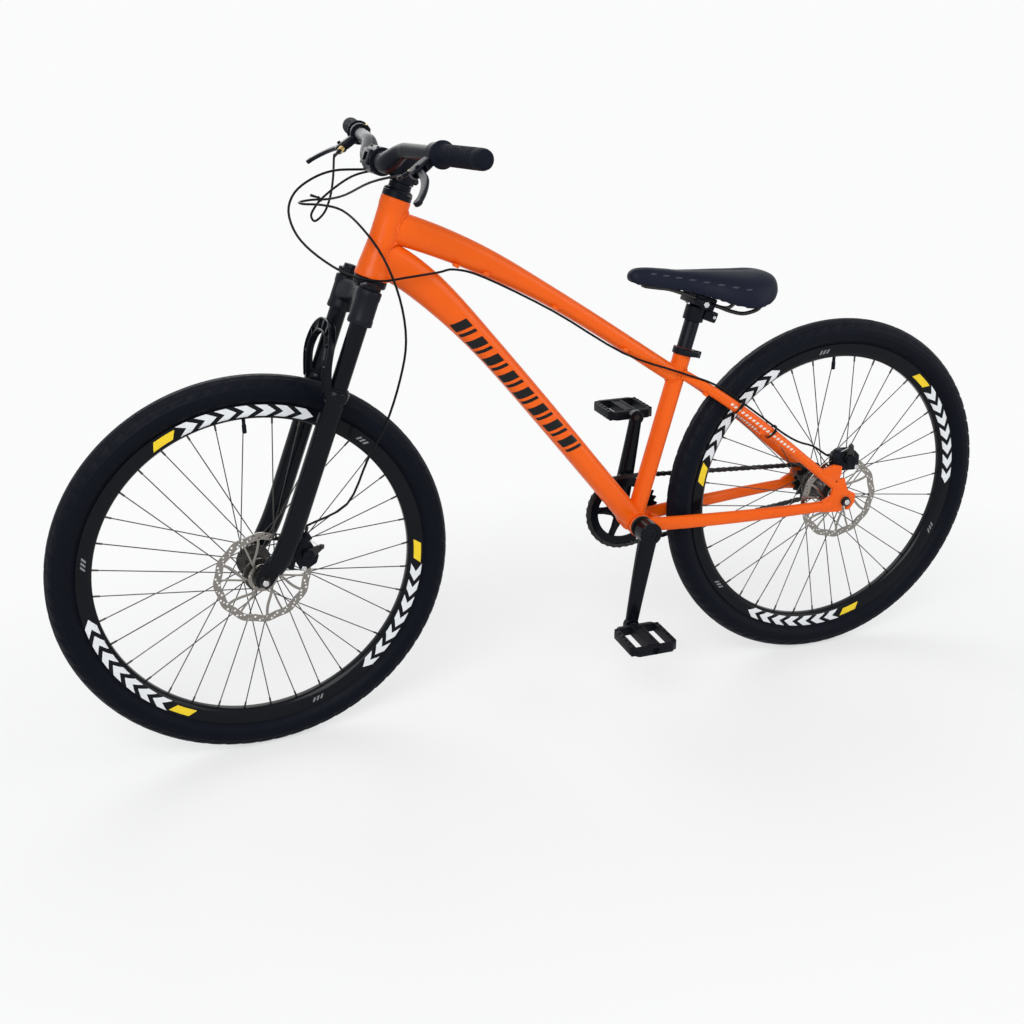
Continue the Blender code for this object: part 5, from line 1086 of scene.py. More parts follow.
cap_at = head(CROWN_TOP + 0.0003, LEG_LEAD, LEG)
cap = lathe("left_leg_cap", [(0.0158, 0), (0.0165, 0.0007), (0.0165, 0.0036), (0.0158, 0.0043),
    (0.0112, 0.007), (0.01, 0.008), (0.0062, 0.008), (0.0056, 0.0066)], cap_at, steer_up, 48)
done(cap, satin_black, "steering", ["left_fork_cap"])
knob_at = head(CROWN_TOP + 0.0003, LEG_LEAD, -LEG)
knob = knurled("preload_dial", [(0.0158, 0), (0.0165, 0.0007), (0.0178, 0.003), (0.019, 0.004),
    (0.019, 0.0098), (0.0182, 0.0106), (0.0142, 0.011), (0.0126, 0.013), (0.0122, 0.0172), (0.0112, 0.018),
    (0.006, 0.018), (0.0055, 0.017)], knob_at, steer_up, 24, 0.0009)
done(knob, satin_black, "preload_knob", ["preload_knob"])

# %% [markdown]
# Both lower legs and the arch ahead of them are one magnesium casting, painted gloss black.
# The arch is a channel with thin webs across it, which is how such castings are made stiff
# and light, so it is drawn as a channel section and the webs are set into it.

# %% Lower legs and arch
LOWER_TOP = 0.335
LEG_LINE = [(LOWER_TOP, 0.016), (0.2, 0.016), (0.09, 0.0165), (0.048, 0.02), (0.024, 0.026)]
LEG_SIZES = [(0.0344, 0.0344), (0.0344, 0.0346), (0.034, 0.0346), (0.033, 0.034), (0.029, 0.03)]
ARCH_LINE = [(1.0, -0.012, 0.031), (0.97, 0.03, 0.044), (0.8, 0.062, 0.0465), (0.42, 0.08, 0.0465),
    (0.0, 0.084, 0.0465), (-0.42, 0.08, 0.0465), (-0.8, 0.062, 0.0465), (-0.97, 0.03, 0.044),
    (-1.0, -0.012, 0.031)]
FORK_TAB = [(0.044, 0.008), (0.044, 0.038), (0.012, 0.049), (-0.006, 0.048), (-0.014, 0.04),
    (-0.014, 0.028), (-0.004, 0.02), (0.012, 0.016)]
FRONT_LUG = [(-0.03, 0.02), (-0.04, 0.09), (-0.05, 0.084), (-0.053, 0.066), (-0.053, 0.026), (-0.048, 0.01)]
CHANNEL = [(-0.0058, -0.0105), (0.0058, -0.0105), (0.0058, -0.008), (0.0016, -0.007), (0.0016, 0.007),
    (0.0058, 0.008), (0.0058, 0.0105), (-0.0058, 0.0105)]
FRONT_INNER = 0.05


def fork_arch():
    """The arch's channel, and the webs that stiffen it."""
    line = [head(LOWER_TOP + up, lead, share * LEG) for share, up, lead in curved(ARCH_LINE, 41)]
    rings = []
    webs = []
    for index, point in enumerate(line):
        ahead = (line[min(index + 1, 40)] - line[max(index - 1, 0)]).normalized()
        wide = (steer_ahead - ahead * ahead.dot(steer_ahead)).normalized()
        across = ahead.cross(wide)
        rings.append([point + wide * a + across * b for a, b in CHANNEL])
        if index % 5 == 0:
            webs.append(brick("arch_web", point + wide * 0.0026, ahead, across, wide,
                (0.0022, 0.0165, 0.0045), 0.0006))
    channel = loft("arch_channel", rings)
    return [soften(channel, 0.0012, 3, 25), *webs]


casting = fork_arch()
for side in (1, -1):
    line = [head(up, lead, side * LEG) for up, lead in curved(LEG_LINE, 30)]
    casting.append(tube("lower_leg", line, curved(LEG_SIZES, 30), 44))
    seam = [head(up, lead + 0.0121, side * (LEG + 0.0121)) for up, lead in curved(LEG_LINE[:4], 20)]
    casting.append(tube("casting_seam", seam, [(0.0022, 0.0026)] * 20, 8))
    collar_at = head(LOWER_TOP - 0.018, LEG_LEAD, side * LEG)
    casting.append(lathe("leg_collar", [(0.0172, -0.004), (0.019, -0.001), (0.0197, 0.001), (0.0197, 0.015),
        (0.0188, 0.0168), (0.0172, 0.0178)], collar_at, steer_up, 48))
    tab = plate("fork_end", [head(up, lead, side * FRONT_INNER) for up, lead in FORK_TAB],
        Y * (side * PLATE_THICKNESS), 0.0016)
    casting.append(carve(tab, *axle_slot(front_axle, side, FRONT_INNER, -steer_up)))
casting.append(side_plate("caliper_lug", FRONT_LUG, front_axle, FRONT_INNER, 0.006))
done(gather("fork_casting", casting), gloss_black, "fork_lowers", ["fork_lowers"], angle=45)
for side, name in SIDES:
    collar_at = head(LOWER_TOP - 0.0002, LEG_LEAD, side * LEG)
    seal = lathe(f"{name}_dust_seal", [(0.0152, 0), (0.018, 0), (0.018, 0.0014), (0.0168, 0.0026),
        (0.0168, 0.0034), (0.0152, 0.004), (0.0146, 0.0034), (0.0146, 0)], collar_at, steer_up, 48, True)
    done(seal, moulded, "fork_lowers")

# %% [markdown]
# Two hexagon nuts with washer faces clamp each axle. The axle's ends are threaded; here the
# thread is a row of fine ridges turned into the bar.

# %% Axles and nuts
def threaded_end(axle, side, start, finish_at):
    """The ridged end of an axle."""
    profile = [(0.0042, start)]
    for ridge in range(int((finish_at - start) / 0.001)):
        profile += [(0.005, start + 0.001 * ridge + 0.0003), (0.0045, start + 0.001 * ridge + 0.0008)]
    profile += [(0.0046, finish_at - 0.0002), (0.0036, finish_at)]
    return lathe("thread", profile, axle, Y * side, 24)


for end, axle, width, body in (("front", front_axle, 0.1, "fork_lowers"),
        ("rear", rear_axle, 0.135, "frame")):
    face = width / 2 + PLATE_THICKNESS + 0.0003
    bar = [rod_through("axle_bar", axle, Y * (face + 0.002), 0.0049, 24)]
    bar += [threaded_end(axle, side, face, face + 0.0086) for side in (1, -1)]
    done(gather(f"{end}_threaded_axle", bar), bare_steel, body, [f"{end}_axle"])
    for side, name in SIDES:
        start = axle + Y * (side * face)
        washer = rod("nut_washer", start, start + Y * (side * 0.0016), 0.0095, 40, 0.0004)
        nut = rod("nut_hexagon", start + Y * (side * 0.0014), start + Y * (side * 0.007), 0.0085, 6, 0)
        done(gather(f"{end}_{name}_axle_nut", [washer, soften(nut, 0.0007)]), black_steel, body,
            [f"{end}_{name}_nut"])

# %% [markdown]
# Each disc brake is a cast body that straddles the rotor. The cable ends in an arm on the
# outside, and pulling the arm turns a ramp that presses the pads. A spring sends it back.

# %% Brake calipers
CALIPER_OUTLINE = [(0.0, -0.7), (0.25, -1.0), (0.8, -0.95), (1.0, -0.5), (1.0, 0.55), (0.75, 0.95),
    (0.2, 1.0), (0.0, 0.7)]
CALIPER_ANGLE = {"front": 156.0, "rear": 93.0}
PULL_ANGLE = {"front": -76.0, "rear": 183.0}
CALIPER_OUTER = {"front": 0.0497, "rear": 0.0672}


def caliper_ways(end):
    """The directions away from the axle and round it at a caliper."""
    turn = math.radians(CALIPER_ANGLE[end])
    return in_plane(turn), Vector((-math.sin(turn), 0, math.cos(turn)))


def cable_stop(end, axle):
    """Where a cable enters its caliper, and the way it goes in."""
    away, round_way = caliper_ways(end)
    way = math.radians(PULL_ANGLE[end])
    hinge = axle + away * 0.08 + Y * CALIPER_OUTER[end]
    return hinge + away * 0.012 - round_way * 0.03 + Y * 0.0025, in_plane(way)


for end, axle, holder in (("front", front_axle, "fork_lowers"), ("rear", rear_axle, "frame")):
    away, round_way = caliper_ways(end)
    outer = CALIPER_OUTER[end]
    inner = ROTOR_AT[end] - 0.0105
    corners = [axle + away * (0.058 + u * 0.038) + round_way * (v * 0.025) + Y * inner
        for u, v in CALIPER_OUTLINE]
    body = plate("caliper_body", corners, Y * (outer - inner), 0.0022)
    slot = brick("rotor_slot", axle + away * 0.0675 + Y * ROTOR_AT[end], away, round_way, Y,
        (0.03, 0.062, 0.0036), 0)
    window = brick("pad_window", axle + away * 0.09 + Y * ROTOR_AT[end], away, round_way, Y,
        (0.02, 0.016, 0.006), 0)
    carve(body, slot, window)
    hinge = axle + away * 0.08 + Y * outer
    dial = knurled("pad_dial", [(0.0104, 0.0062), (0.0104, 0.0108), (0.0098, 0.0118), (0.0042, 0.0118),
        (0.0038, 0.011)], hinge, Y, 16, 0.0008)
    stop_at, pull = cable_stop(end, axle)
    barrel = knurled("cable_barrel", [(0.0034, -0.008), (0.0045, -0.0074), (0.0045, -0.001), (0.0036, 0.0),
        (0.0036, 0.004)], stop_at, pull, 12, 0.0005)
    lug = brick("stop_lug", hinge + away * 0.012 - round_way * 0.026 - Y * 0.0005, away, round_way, Y,
        (0.017, 0.01, 0.012), 0.0018)
    parts = [body, lug, barrel, rod("arm_stub", hinge - Y * 0.002, hinge + Y * 0.008, 0.0055, 32), dial]
    done(gather(f"{end}_caliper_casting", parts), satin_black, holder, [f"{end}_caliper"])
    screws = []
    for along in (-0.019, 0.019):
        spot = axle + away * 0.064 + round_way * along + Y * (outer - 0.0006)
        screws.append(lathe("caliper_screw", [(0.0044, 0), (0.0044, 0.003), (0.0038, 0.0036),
            (0.0022, 0.0036), (0.002, 0.0018)], spot, Y, 24))
    wire = rod("inner_wire", stop_at, hinge + away * 0.0255 + Y * 0.0032, 0.0008, 8)
    pinch = rod("pinch_screw", hinge + away * 0.0265 + Y * 0.0016, hinge + away * 0.0265 + Y * 0.008,
        0.0036, 6, 0.0006)
    done(gather(f"{end}_caliper_screws", screws), bare_steel, holder)
    across = away.cross(Y)
    face = hinge + Y * 0.0006
    tip = face + away * 0.028
    arm = plate("pull_arm", [face + across * 0.01045, tip + across * 0.004, tip + away * 0.004,
        tip - across * 0.004, face - across * 0.01045, face - away * 0.01045], Y * 0.005, 0.0009)
    carve(arm, rod("arm_hole", hinge - Y * 0.01, hinge + Y * 0.02, 0.0058, 32, 0))
    coil = []
    for turn in range(3):
        coil.append(ring_about("spring_turn", [(0.0068 + 0.0006 * math.cos(a), 0.0006 * math.sin(a))
            for a in (math.pi * step / 3 for step in range(6))], hinge + Y * (0.001 - turn * 0.0012), 32))
    done(gather(f"{end}_pull_arm", [arm, pinch]), black_steel, f"{end}_caliper_arm",
        [f"{end}_caliper_arm"])
    done(gather(f"{end}_return_spring_and_wire", [*coil, wire]), bare_steel, holder)

# %% [markdown]
# The headset's cups are turned rings, pressed into both ends of the head tube. The stem slides
# on the steerer and its two screws clamp it there; a plate with four screws holds the bar.

# %% Headset and stem
STEERER_HOLE = 0.0146
STEM_REACH = 0.045


def cup(name, profile, start, body, node):
    """A turned ring of the headset."""
    done(lathe(name, profile, start, steer_up, 56, closed=True), satin_black, body, [node])


cup("lower_cup", [(STEERER_HOLE, 0.0003), (0.025, 0.0003), (0.0262, 0.0012), (0.027, 0.0034),
    (0.027, 0.0108), (0.0262, 0.0117), (STEERER_HOLE, 0.0117)], head(CROWN_TOP), "frame",
    "headset_lower_bearing")
cup("upper_cup", [(STEERER_HOLE, 0.0003), (0.0235, 0.0003), (0.0235, 0.0042), (0.0231, 0.0046),
    (0.0231, 0.0052), (0.0235, 0.0056), (0.0235, 0.0088), (0.0228, 0.0096), (STEERER_HOLE, 0.0096)],
    head(HEAD_TOP), "frame", "headset_upper_bearing")
cup("cover_and_spacer", [(STEERER_HOLE, 0.0099), (0.0235, 0.0099), (0.0232, 0.0114), (0.0212, 0.0138),
    (0.018, 0.0154), (0.0178, 0.0182), (0.0174, 0.0186), (0.0178, 0.019), (0.0178, 0.0233),
    (0.0174, 0.0237), (STEERER_HOLE, 0.0237)], head(HEAD_TOP), "steering", "headset_top_cover")
stem_middle = head(COVER_TOP + STEM_TALL / 2)
bar_centre = head(COVER_TOP + STEM_TALL / 2, STEM_REACH)
ahead = steer_ahead
above = steer_up
CLAMP_RADIUS = 0.0195
CLASP_RADIUS = 0.0211
clamp = lathe("steerer_clamp", [(STEERER_HOLE, 0), (CLAMP_RADIUS - 0.0008, 0), (CLAMP_RADIUS, 0.0008),
    (CLAMP_RADIUS, STEM_TALL - 0.0008), (CLAMP_RADIUS - 0.0008, STEM_TALL), (STEERER_HOLE, STEM_TALL)],
    head(COVER_TOP), steer_up, 56, closed=True)
arm = tube("stem_arm", [stem_middle + ahead * 0.008, stem_middle + ahead * 0.017,
    stem_middle + ahead * 0.0245, bar_centre - ahead * 0.01], [(0.034, 0.0344), (0.031, 0.03),
    (0.031, 0.029), (0.04, 0.032)], 40, 3.0)
clasp = rod_through("bar_clasp", bar_centre, Y * 0.022, CLASP_RADIUS, 56, 0.0012)
carve(arm, rod("steerer_hole", head(0.65), head(0.715), STEERER_HOLE, 40, 0))
carve(clasp, brick("front_cut", bar_centre + ahead * 0.0344, ahead, Y, above, (0.07, 0.06, 0.07), 0))
stem_parts = [clamp, arm, clasp]
for up in (-0.011, 0.011):
    spot = stem_middle - ahead * 0.0185 + above * up
    stem_parts.append(rod_through("clamp_lug", spot, Y * 0.0105, 0.0052, 28, 0.0008))
for solid in (arm, clasp):
    carve(solid, rod_through("bar_hole", bar_centre, Y * 0.03, 0.0162, 48, 0))
stem_body = gather("stem_body", stem_parts)
done(stem_body, satin_black, "steering", ["stem"])
face = rod_through("face_plate", bar_centre, Y * 0.022, CLASP_RADIUS, 56, 0.0012)
pad = brick("face_pad", bar_centre + ahead * 0.0185, ahead, Y, above, (0.0072, 0.0352, 0.024), 0.0012)
carve(face, pad, way="UNION")
carve(face, rod_through("bar_hole", bar_centre, Y * 0.03, 0.0162, 48, 0),
    brick("back_cut", bar_centre - ahead * 0.0344, ahead, Y, above, (0.07, 0.06, 0.07), 0),
    brick("face_window", bar_centre + ahead * 0.02, ahead, Y, above, (0.03, 0.016, 0.012), 0))
done(face, satin_black, "steering", ["stem_faceplate"])
top = lathe("stem_lid", [(0.01, -0.0025), (0.01, 0.0003), (0.018, 0.0003), (0.0185, 0.001),
    (0.0183, 0.0028), (0.015, 0.0036), (0.008, 0.0043), (0.006, 0.004)], head(COVER_TOP + STEM_TALL),
    steer_up, 48)
done(top, satin_black, "steering", ["stem_cap"])


def socket_screw(spot, way, radius=0.0032, tall=0.0032):
    """A round screw head with a socket in it."""
    return lathe("socket_screw", [(radius - 0.0003, 0), (radius, 0.0003), (radius, tall - 0.0004),
        (radius - 0.0004, tall), (radius * 0.55, tall), (radius * 0.5, tall * 0.35)], spot, way, 24)


screws = [socket_screw(bar_centre + ahead * 0.01 + Y * side + above * up, ahead, 0.003, 0.0036)
    for side in (-0.0165, 0.0165) for up in (-0.0168, 0.0168)]
screws += [socket_screw(stem_middle - ahead * 0.0185 + above * up + Y * (side * 0.0098), Y * side)
    for up, side in ((-0.011, 1), (0.011, -1))]
screws.append(socket_screw(head(COVER_TOP + STEM_TALL + 0.0016), steer_up, 0.004, 0.0028))
done(gather("stem_screws", screws), black_steel, "steering")

# %% [markdown]
# The handlebar is one tube that is thick where the stem holds it, then rises, narrows and
# sweeps back to the grips. It's drawn through 47 stations, so that the bends stay round.

# %% Handlebar and grips
BAR_HALF = 0.315
BAR_RADIUS = 0.0111
BAR_CLAMPED = 0.0318
SWEEP_BACK, SWEEP_UP = 9.0, 1.5
GRIP_LONG = 0.114


def bar_point(side):
    """The middle of the handlebar at a distance from its centre, to the left or to the right."""
    out = abs(side)
    share = min(max((out - 0.034) / 0.061, 0), 1)
    easing = share * share * (3 - 2 * share)
    past = max(out - 0.095, 0)
    back = 0.013 * easing + math.tan(math.radians(SWEEP_BACK)) * past
    rise = 0.022 * easing + math.tan(math.radians(SWEEP_UP)) * past
    return bar_centre + Vector((-back, side, rise))


def bar_thickness(side):
    """The bar's diameter at a distance from its centre."""
    share = min(max((abs(side) - 0.046) / 0.049, 0), 1)
    easing = share * share * (3 - 2 * share)
    return BAR_CLAMPED + (2 * BAR_RADIUS - BAR_CLAMPED) * easing


stations = [BAR_HALF, 0.24, 0.17] + [0.115 - 0.005 * step for step in range(19)] + [0.015]
stations += [0.0] + [-out for out in reversed(stations)]
bar = tube("riser_bar", [bar_point(side) for side in stations], [(bar_thickness(side), bar_thickness(side))
    for side in stations], 40, 2, X)
done(bar, satin_black, "steering", ["handlebar"])

grip_rubber = worn("grip_rubber", (0.003, 0.0042, 0.0092), (0.0056, 0.0072, 0.0138), (0.58, 0.74),
    grain=1100, relief=0.45, specular_ior_level=0.08)
for side, name in SIDES:
    start = bar_point(side * (BAR_HALF - GRIP_LONG))
    line = bar_point(side * BAR_HALF) - start
    profile = [(0.0114, 0.0), (0.0186, 0.0), (0.0195, 0.001), (0.0195, 0.0046), (0.0186, 0.0058),
        (0.016, 0.0082), (0.0147, 0.012)]
    for rib in range(22):
        along = 0.014 + rib * 0.004
        profile += [(0.0139, along), (0.0139, along + 0.001), (0.0147, along + 0.0016),
            (0.0147, along + 0.0034)]
    profile += [(0.0147, 0.1052), (0.0144, 0.112), (0.0132, line.length + 0.0012),
        (0.0106, line.length + 0.0028), (0.0085, line.length + 0.003)]
    grip = lathe(f"{name}_ribbed_grip", profile, start, line.normalized(), 56)
    done(grip, grip_rubber, "steering", [f"{name}_grip"])

# %% [markdown]
# The brake levers sit just inside the grips. A cast perch clamps round the bar and holds a
# curved blade on a pin. The cable leaves through a barrel whose knurled ring takes up its
# slack.

# %% Brake levers
LEVER_LINE = [(0.006, 0.037), (0.027, 0.045), (0.046, 0.054), (0.064, 0.067), (0.078, 0.081),
    (0.087, 0.094)]
LEVER_SIZES = [(0.007, 0.01), (0.007, 0.0115), (0.007, 0.012), (0.007, 0.0115), (0.007, 0.0115),
    (0.007, 0.0125)]
LEVER_AT = 0.188
BARREL = ((0.03, -0.004), (0.05, -0.022))


def lever_frame(side):
    """A lever's place on the bar, its way out along the bar, its way forward and its normal."""
    spot = bar_point(side * LEVER_AT)
    out = (bar_point(side * BAR_HALF) - spot).normalized()
    level_way = (X - out * out.dot(X)).normalized()
    fore = Quaternion(Y, math.radians(34.0)) @ level_way
    fore = (fore - out * out.dot(fore)).normalized()
    return spot, out, fore, fore.cross(out) * side


for side, name in SIDES:
    spot, out, fore, normal = lever_frame(side)
    pivot = spot + fore * 0.037 + out * 0.006
    ring = lathe("perch_clamp", [(0.0114, -0.007), (0.0155, -0.007), (0.0165, -0.006), (0.0165, 0.006),
        (0.0155, 0.007), (0.0114, 0.007)], spot, out, 48, closed=True)
    neck = tube("perch_neck", [spot + fore * 0.0125 - out * 0.001, spot + fore * 0.022 - out * 0.001,
        spot + fore * 0.034 - out * 0.0005, spot + fore * 0.0478 - out * 0.001],
        [(0.019, 0.014), (0.0235, 0.015), (0.024, 0.015), (0.0215, 0.014)], 28, 4.0, out)
    carve(neck, brick("blade_slot", pivot + fore * 0.006 + out * 0.008, fore, out, normal,
        (0.03, 0.03, 0.0076), 0))
    low, high = (spot + fore * a + out * b for a, b in BARREL)
    way = (high - low).normalized()
    long = (high - low).length
    barrel = lathe("barrel_tube", [(0.0036, 0), (0.0036, long * 0.6), (0.003, long * 0.62), (0.003, long)],
        low, way, 32)
    pin = rod_through("blade_pin", pivot, normal * 0.0072, 0.0025, 20)
    strap = brick("clamp_ear", spot - fore * 0.0155, fore, out, normal, (0.006, 0.012, 0.01), 0.0014)
    done(gather(f"{name}_perch", [ring, neck, barrel, strap]), satin_black, "steering",
        [f"{name}_lever_perch"])
    knurl = knurled("barrel_ring", [(0.0034, long * 0.4), (0.0048, long * 0.42), (0.0048, long * 0.66),
        (0.0034, long * 0.68)], low, way, 14, 0.0006)
    nut_head = socket_screw(spot - fore * 0.016 + normal * 0.0046, normal, 0.0026, 0.0024)
    done(gather(f"{name}_barrel_ring", [knurl, pin, nut_head]), brass_gold, "steering")
    path = [spot + out * a + fore * b for a, b in curved(LEVER_LINE, 30)]
    blade = tube("lever_blade", path, curved(LEVER_SIZES, 30), 24, 3.0, normal)
    eye = rod_through("lever_eye", pivot, normal * 0.0035, 0.0062, 32, 0.0008)
    tip = path[-1]
    knob_end = rod_through("lever_tip", tip, normal * 0.0035, 0.0062, 32, 0.0012)
    blade = gather(f"{name}_lever_blade", [blade, eye, knob_end])
    carve(blade, rod_through("pin_hole", pivot, normal * 0.01, 0.0029, 24, 0))
    done(blade, satin_black, f"{name}_brake_lever", [f"{name}_brake_lever"])

# %% [markdown]
# The bottom bracket's cartridge shows only its two cups. The cranks are forged and painted
# black; the right one has five arms that carry the chainring.

# %% Cranks
CRANK_INNER = 0.0515
BOSS_WIDE = 0.027
CRANK_LONG = 0.175
CRANK_THICK = 0.013
SPINDLE_HOLE = 0.0088
PEDAL_HOLE = 0.0063
crank_lean = math.radians(11.5)
cups = [lathe("bracket_cup", [(SPINDLE_HOLE, 0), (0.0205, 0), (0.0205, 0.002), (0.0196, 0.003),
    (0.016, 0.0031), (0.0152, 0.0022), (SPINDLE_HOLE, 0.0022)], bracket + Y * (side * 0.0343), Y * side, 40,
    True) for side in (1, -1)]
core = lathe("cartridge", [(SPINDLE_HOLE, -0.0343), (0.0172, -0.0343), (0.0172, 0.0343),
    (SPINDLE_HOLE, 0.0343)], bracket, Y, 40, True)
done(gather("bracket_cartridge", [*cups, core]), black_steel, "frame",
    ["bottom_bracket_cartridge"])
spindle_half = CRANK_INNER + BOSS_WIDE - 0.002
spindle = rod_through("square_spindle", bracket, Y * spindle_half, 0.0085, 32)
done(spindle, black_steel, "cranks", ["crank_spindle"])


def crank_places(side):
    """A crank's boss, and its pedal eye with the eye's thickness."""
    down = Vector((math.sin(crank_lean), 0, -math.cos(crank_lean))) * side
    eye = bracket + down * CRANK_LONG + Y * (side * (CRANK_INNER + 0.018))
    return bracket + Y * (side * CRANK_INNER), eye, Y * (side * CRANK_THICK)


crank_screws = []
for side, name in SIDES:
    boss_at, eye, thick = crank_places(side)
    out = Y * side
    boss = lathe("crank_boss", [(0.0195, 0), (0.021, 0.0012), (0.021, BOSS_WIDE - 0.0016),
        (0.0196, BOSS_WIDE), (0.012, BOSS_WIDE), (0.0114, BOSS_WIDE - 0.003),
        (SPINDLE_HOLE, BOSS_WIDE - 0.0032), (SPINDLE_HOLE, 0)], boss_at, out, 48, True)
    eye_ring = lathe("pedal_eye", [(PEDAL_HOLE, 0), (0.0127, 0), (0.0135, 0.001),
        (0.0135, CRANK_THICK - 0.001), (0.0127, CRANK_THICK), (PEDAL_HOLE, CRANK_THICK)], eye, out, 40,
        True)
    start = boss_at + out * (BOSS_WIDE * 0.58)
    stop = eye + thick / 2
    shape = curved([(0.05, 0, 0.0215, 0.033), (0.18, -0.0006, 0.019, 0.032), (0.34, -0.001, 0.017, 0.031),
        (0.7, -0.001, 0.014, 0.0265), (0.97, 0, 0.013, 0.023)], 26)
    blade = tube("crank_arm", [start + (stop - start) * share + out * bulge
        for share, bulge, wide, deep in shape], [(wide, deep) for share, bulge, wide, deep in shape], 32,
        3.6)
    carve(blade, rod("eye_hole", eye - thick, eye + thick * 2, PEDAL_HOLE, 32, 0),
        rod("spindle_hole", bracket, bracket + out * 0.12, SPINDLE_HOLE, 32, 0))
    crank_parts = [boss, eye_ring, blade]
    if side < 0:
        plane = bracket - Y * 0.0515
        for arm_count in range(5):
            angle = 2 * math.pi * arm_count / 5 + math.radians(78.5)
            away = in_plane(angle)
            wide = away.cross(Y)
            root, tip = plane + away * 0.0126, plane + away * 0.0605
            crank_parts.append(plate("spider_arm", [root + wide * 0.011,
                root + away * 0.024 + wide * 0.0068, tip + wide * 0.006, tip - wide * 0.006,
                root + away * 0.024 - wide * 0.0068, root - wide * 0.011], Y * -0.004, 0.0012))
            crank_screws.append(socket_screw(plane + away * 0.0568 - Y * 0.0036, -Y, 0.0044, 0.0026))
    crank_screws.append(lathe("dust_cap", [(0.0112, 0), (0.0112, 0.0022), (0.01, 0.003), (0.0052, 0.003),
        (0.0046, 0.0016)], boss_at + out * (BOSS_WIDE - 0.0032), out, 32))
    done(gather(f"{name}_forged_crank", crank_parts), gloss_black, "cranks",
        [f"{name}_crank"])
done(gather("crank_screws", crank_screws), satin_black, "cranks")

# %% [markdown]
# Sprocket teeth are rounded valleys of the rollers' own radius between narrow tips. One tooth
# is a handful of points, and the loop places it round the ring, so the teeth and the chain
# share the same pitch.

# %% Chainring and sprocket
PITCH = 0.0127
CHAIN_OUT = 0.05
RING_TEETH, COG_TEETH = 34, 17
RING_RADIUS = PITCH / (2 * math.sin(math.pi / RING_TEETH))
COG_RADIUS = PITCH / (2 * math.sin(math.pi / COG_TEETH))
TOOTH = [(-0.5, -0.0039), (-0.38, -0.0031), (-0.26, -0.0012), (-0.13, 0.0014), (-0.05, 0.0022),
    (0.05, 0.0022), (0.13, 0.0014), (0.26, -0.0012), (0.38, -0.0031)]
ring_centre = bracket - Y * CHAIN_OUT
cog_centre = rear_axle - Y * CHAIN_OUT


def toothed(name, teeth, radius, centre, bore, phase):
    """A toothed plate whose valleys lie where the chain's rollers do."""
    points = []
    for tooth in range(teeth):
        for share, lift in TOOTH:
            angle = phase + 2 * math.pi * (tooth + 0.5 + share) / teeth
            points.append(centre + in_plane(angle) * (radius + lift) - Y * 0.0011)
    made = plate(name, points, Y * 0.0022, 0)
    return carve(made, rod_through("centre_bore", centre, Y * 0.02, bore, 64, 0))


chain_line = cog_centre - ring_centre
heading = math.atan2(chain_line.z, chain_line.x)
wrap = math.acos((RING_RADIUS - COG_RADIUS) / chain_line.length)
big_ring = toothed("chainring", RING_TEETH, RING_RADIUS, ring_centre, 0.0505, heading + wrap)
inner_step = ring_about("chainring_shoulder", [(0.05, -0.001), (0.06, -0.001), (0.06, 0.0017),
    (0.05, 0.0017)], ring_centre, 72)
done(gather("toothed_chainring", [big_ring, inner_step]), gloss_black, "cranks",
    ["chainring"])
cog = toothed("cog", COG_TEETH, COG_RADIUS, cog_centre, 0.0185, heading - wrap)
drum = ring_about("freewheel_drum", [(0.0103, -0.006), (0.0208, -0.006), (0.022, -0.005), (0.022, 0.0052),
    (0.0212, 0.006), (0.0103, 0.006)], cog_centre, 48)
notches = [brick("tool_notch", cog_centre + in_plane(a) * 0.015 - Y * 0.0052, in_plane(a),
    Vector((-math.sin(a), 0, math.cos(a))), Y, (0.004, 0.0046, 0.005), 0)
    for a in (math.pi * step / 2 for step in range(4))]
carve(drum, *notches)
done(gather("freewheel", [cog, drum]), black_steel, "sprocket", ["rear_sprocket"])
print("ring", round(RING_RADIUS, 4), "cog", round(COG_RADIUS, 4))

# %% [markdown]
# A chain is two kinds of link in turn: narrow ones with rollers, and wide ones outside them.
# One link of each kind is modelled and copied round the loop, each turned to the line
# between its own two pins.

# %% Chain
LINK_RADIUS = 0.0041
LINK_WAIST = 0.0031


def chain_places():
    """The pins of the chain, round the chainring, back, round the sprocket and forward."""
    marks = []
    for centre, radius, start, sweep, count in ((ring_centre, RING_RADIUS, heading + wrap,
            2 * math.pi - 2 * wrap, 60), (cog_centre, COG_RADIUS, heading - wrap, 2 * wrap, 40)):
        for step in range(count + 1):
            angle = start + sweep * step / count
            marks.append(centre + in_plane(angle) * radius)
    marks.append(marks[0])
    total = sum((b - a).length for a, b in zip(marks, marks[1:]))
    links = 2 * round(total / PITCH / 2)
    step = total / links
    pins, gone, index = [], 0.0, 0
    for link in range(links):
        while gone + (marks[index + 1] - marks[index]).length < link * step:
            gone += (marks[index + 1] - marks[index]).length
            index += 1
        part = (link * step - gone) / (marks[index + 1] - marks[index]).length
        pins.append(marks[index] + (marks[index + 1] - marks[index]) * part)
    return pins


def link_shape(offset):
    """Two waisted side plates, with their pins or rollers, along X from the origin."""
    outline = []
    for centre, start in ((0.0, 90), (PITCH, -90)):
        for step in range(7):
            angle = math.radians(start + 180 * step / 6)
            outline.append((centre + LINK_RADIUS * math.cos(angle), LINK_RADIUS * math.sin(angle)))
        outline.append((PITCH / 2, -LINK_WAIST if start == 90 else LINK_WAIST))
    made = []
    for side in (1, -1):
        points = [Vector((a, side * offset, b)) for a, b in outline]
        made.append(plate("side_plate", points, Y * (side * 0.0008), 0))
    return made


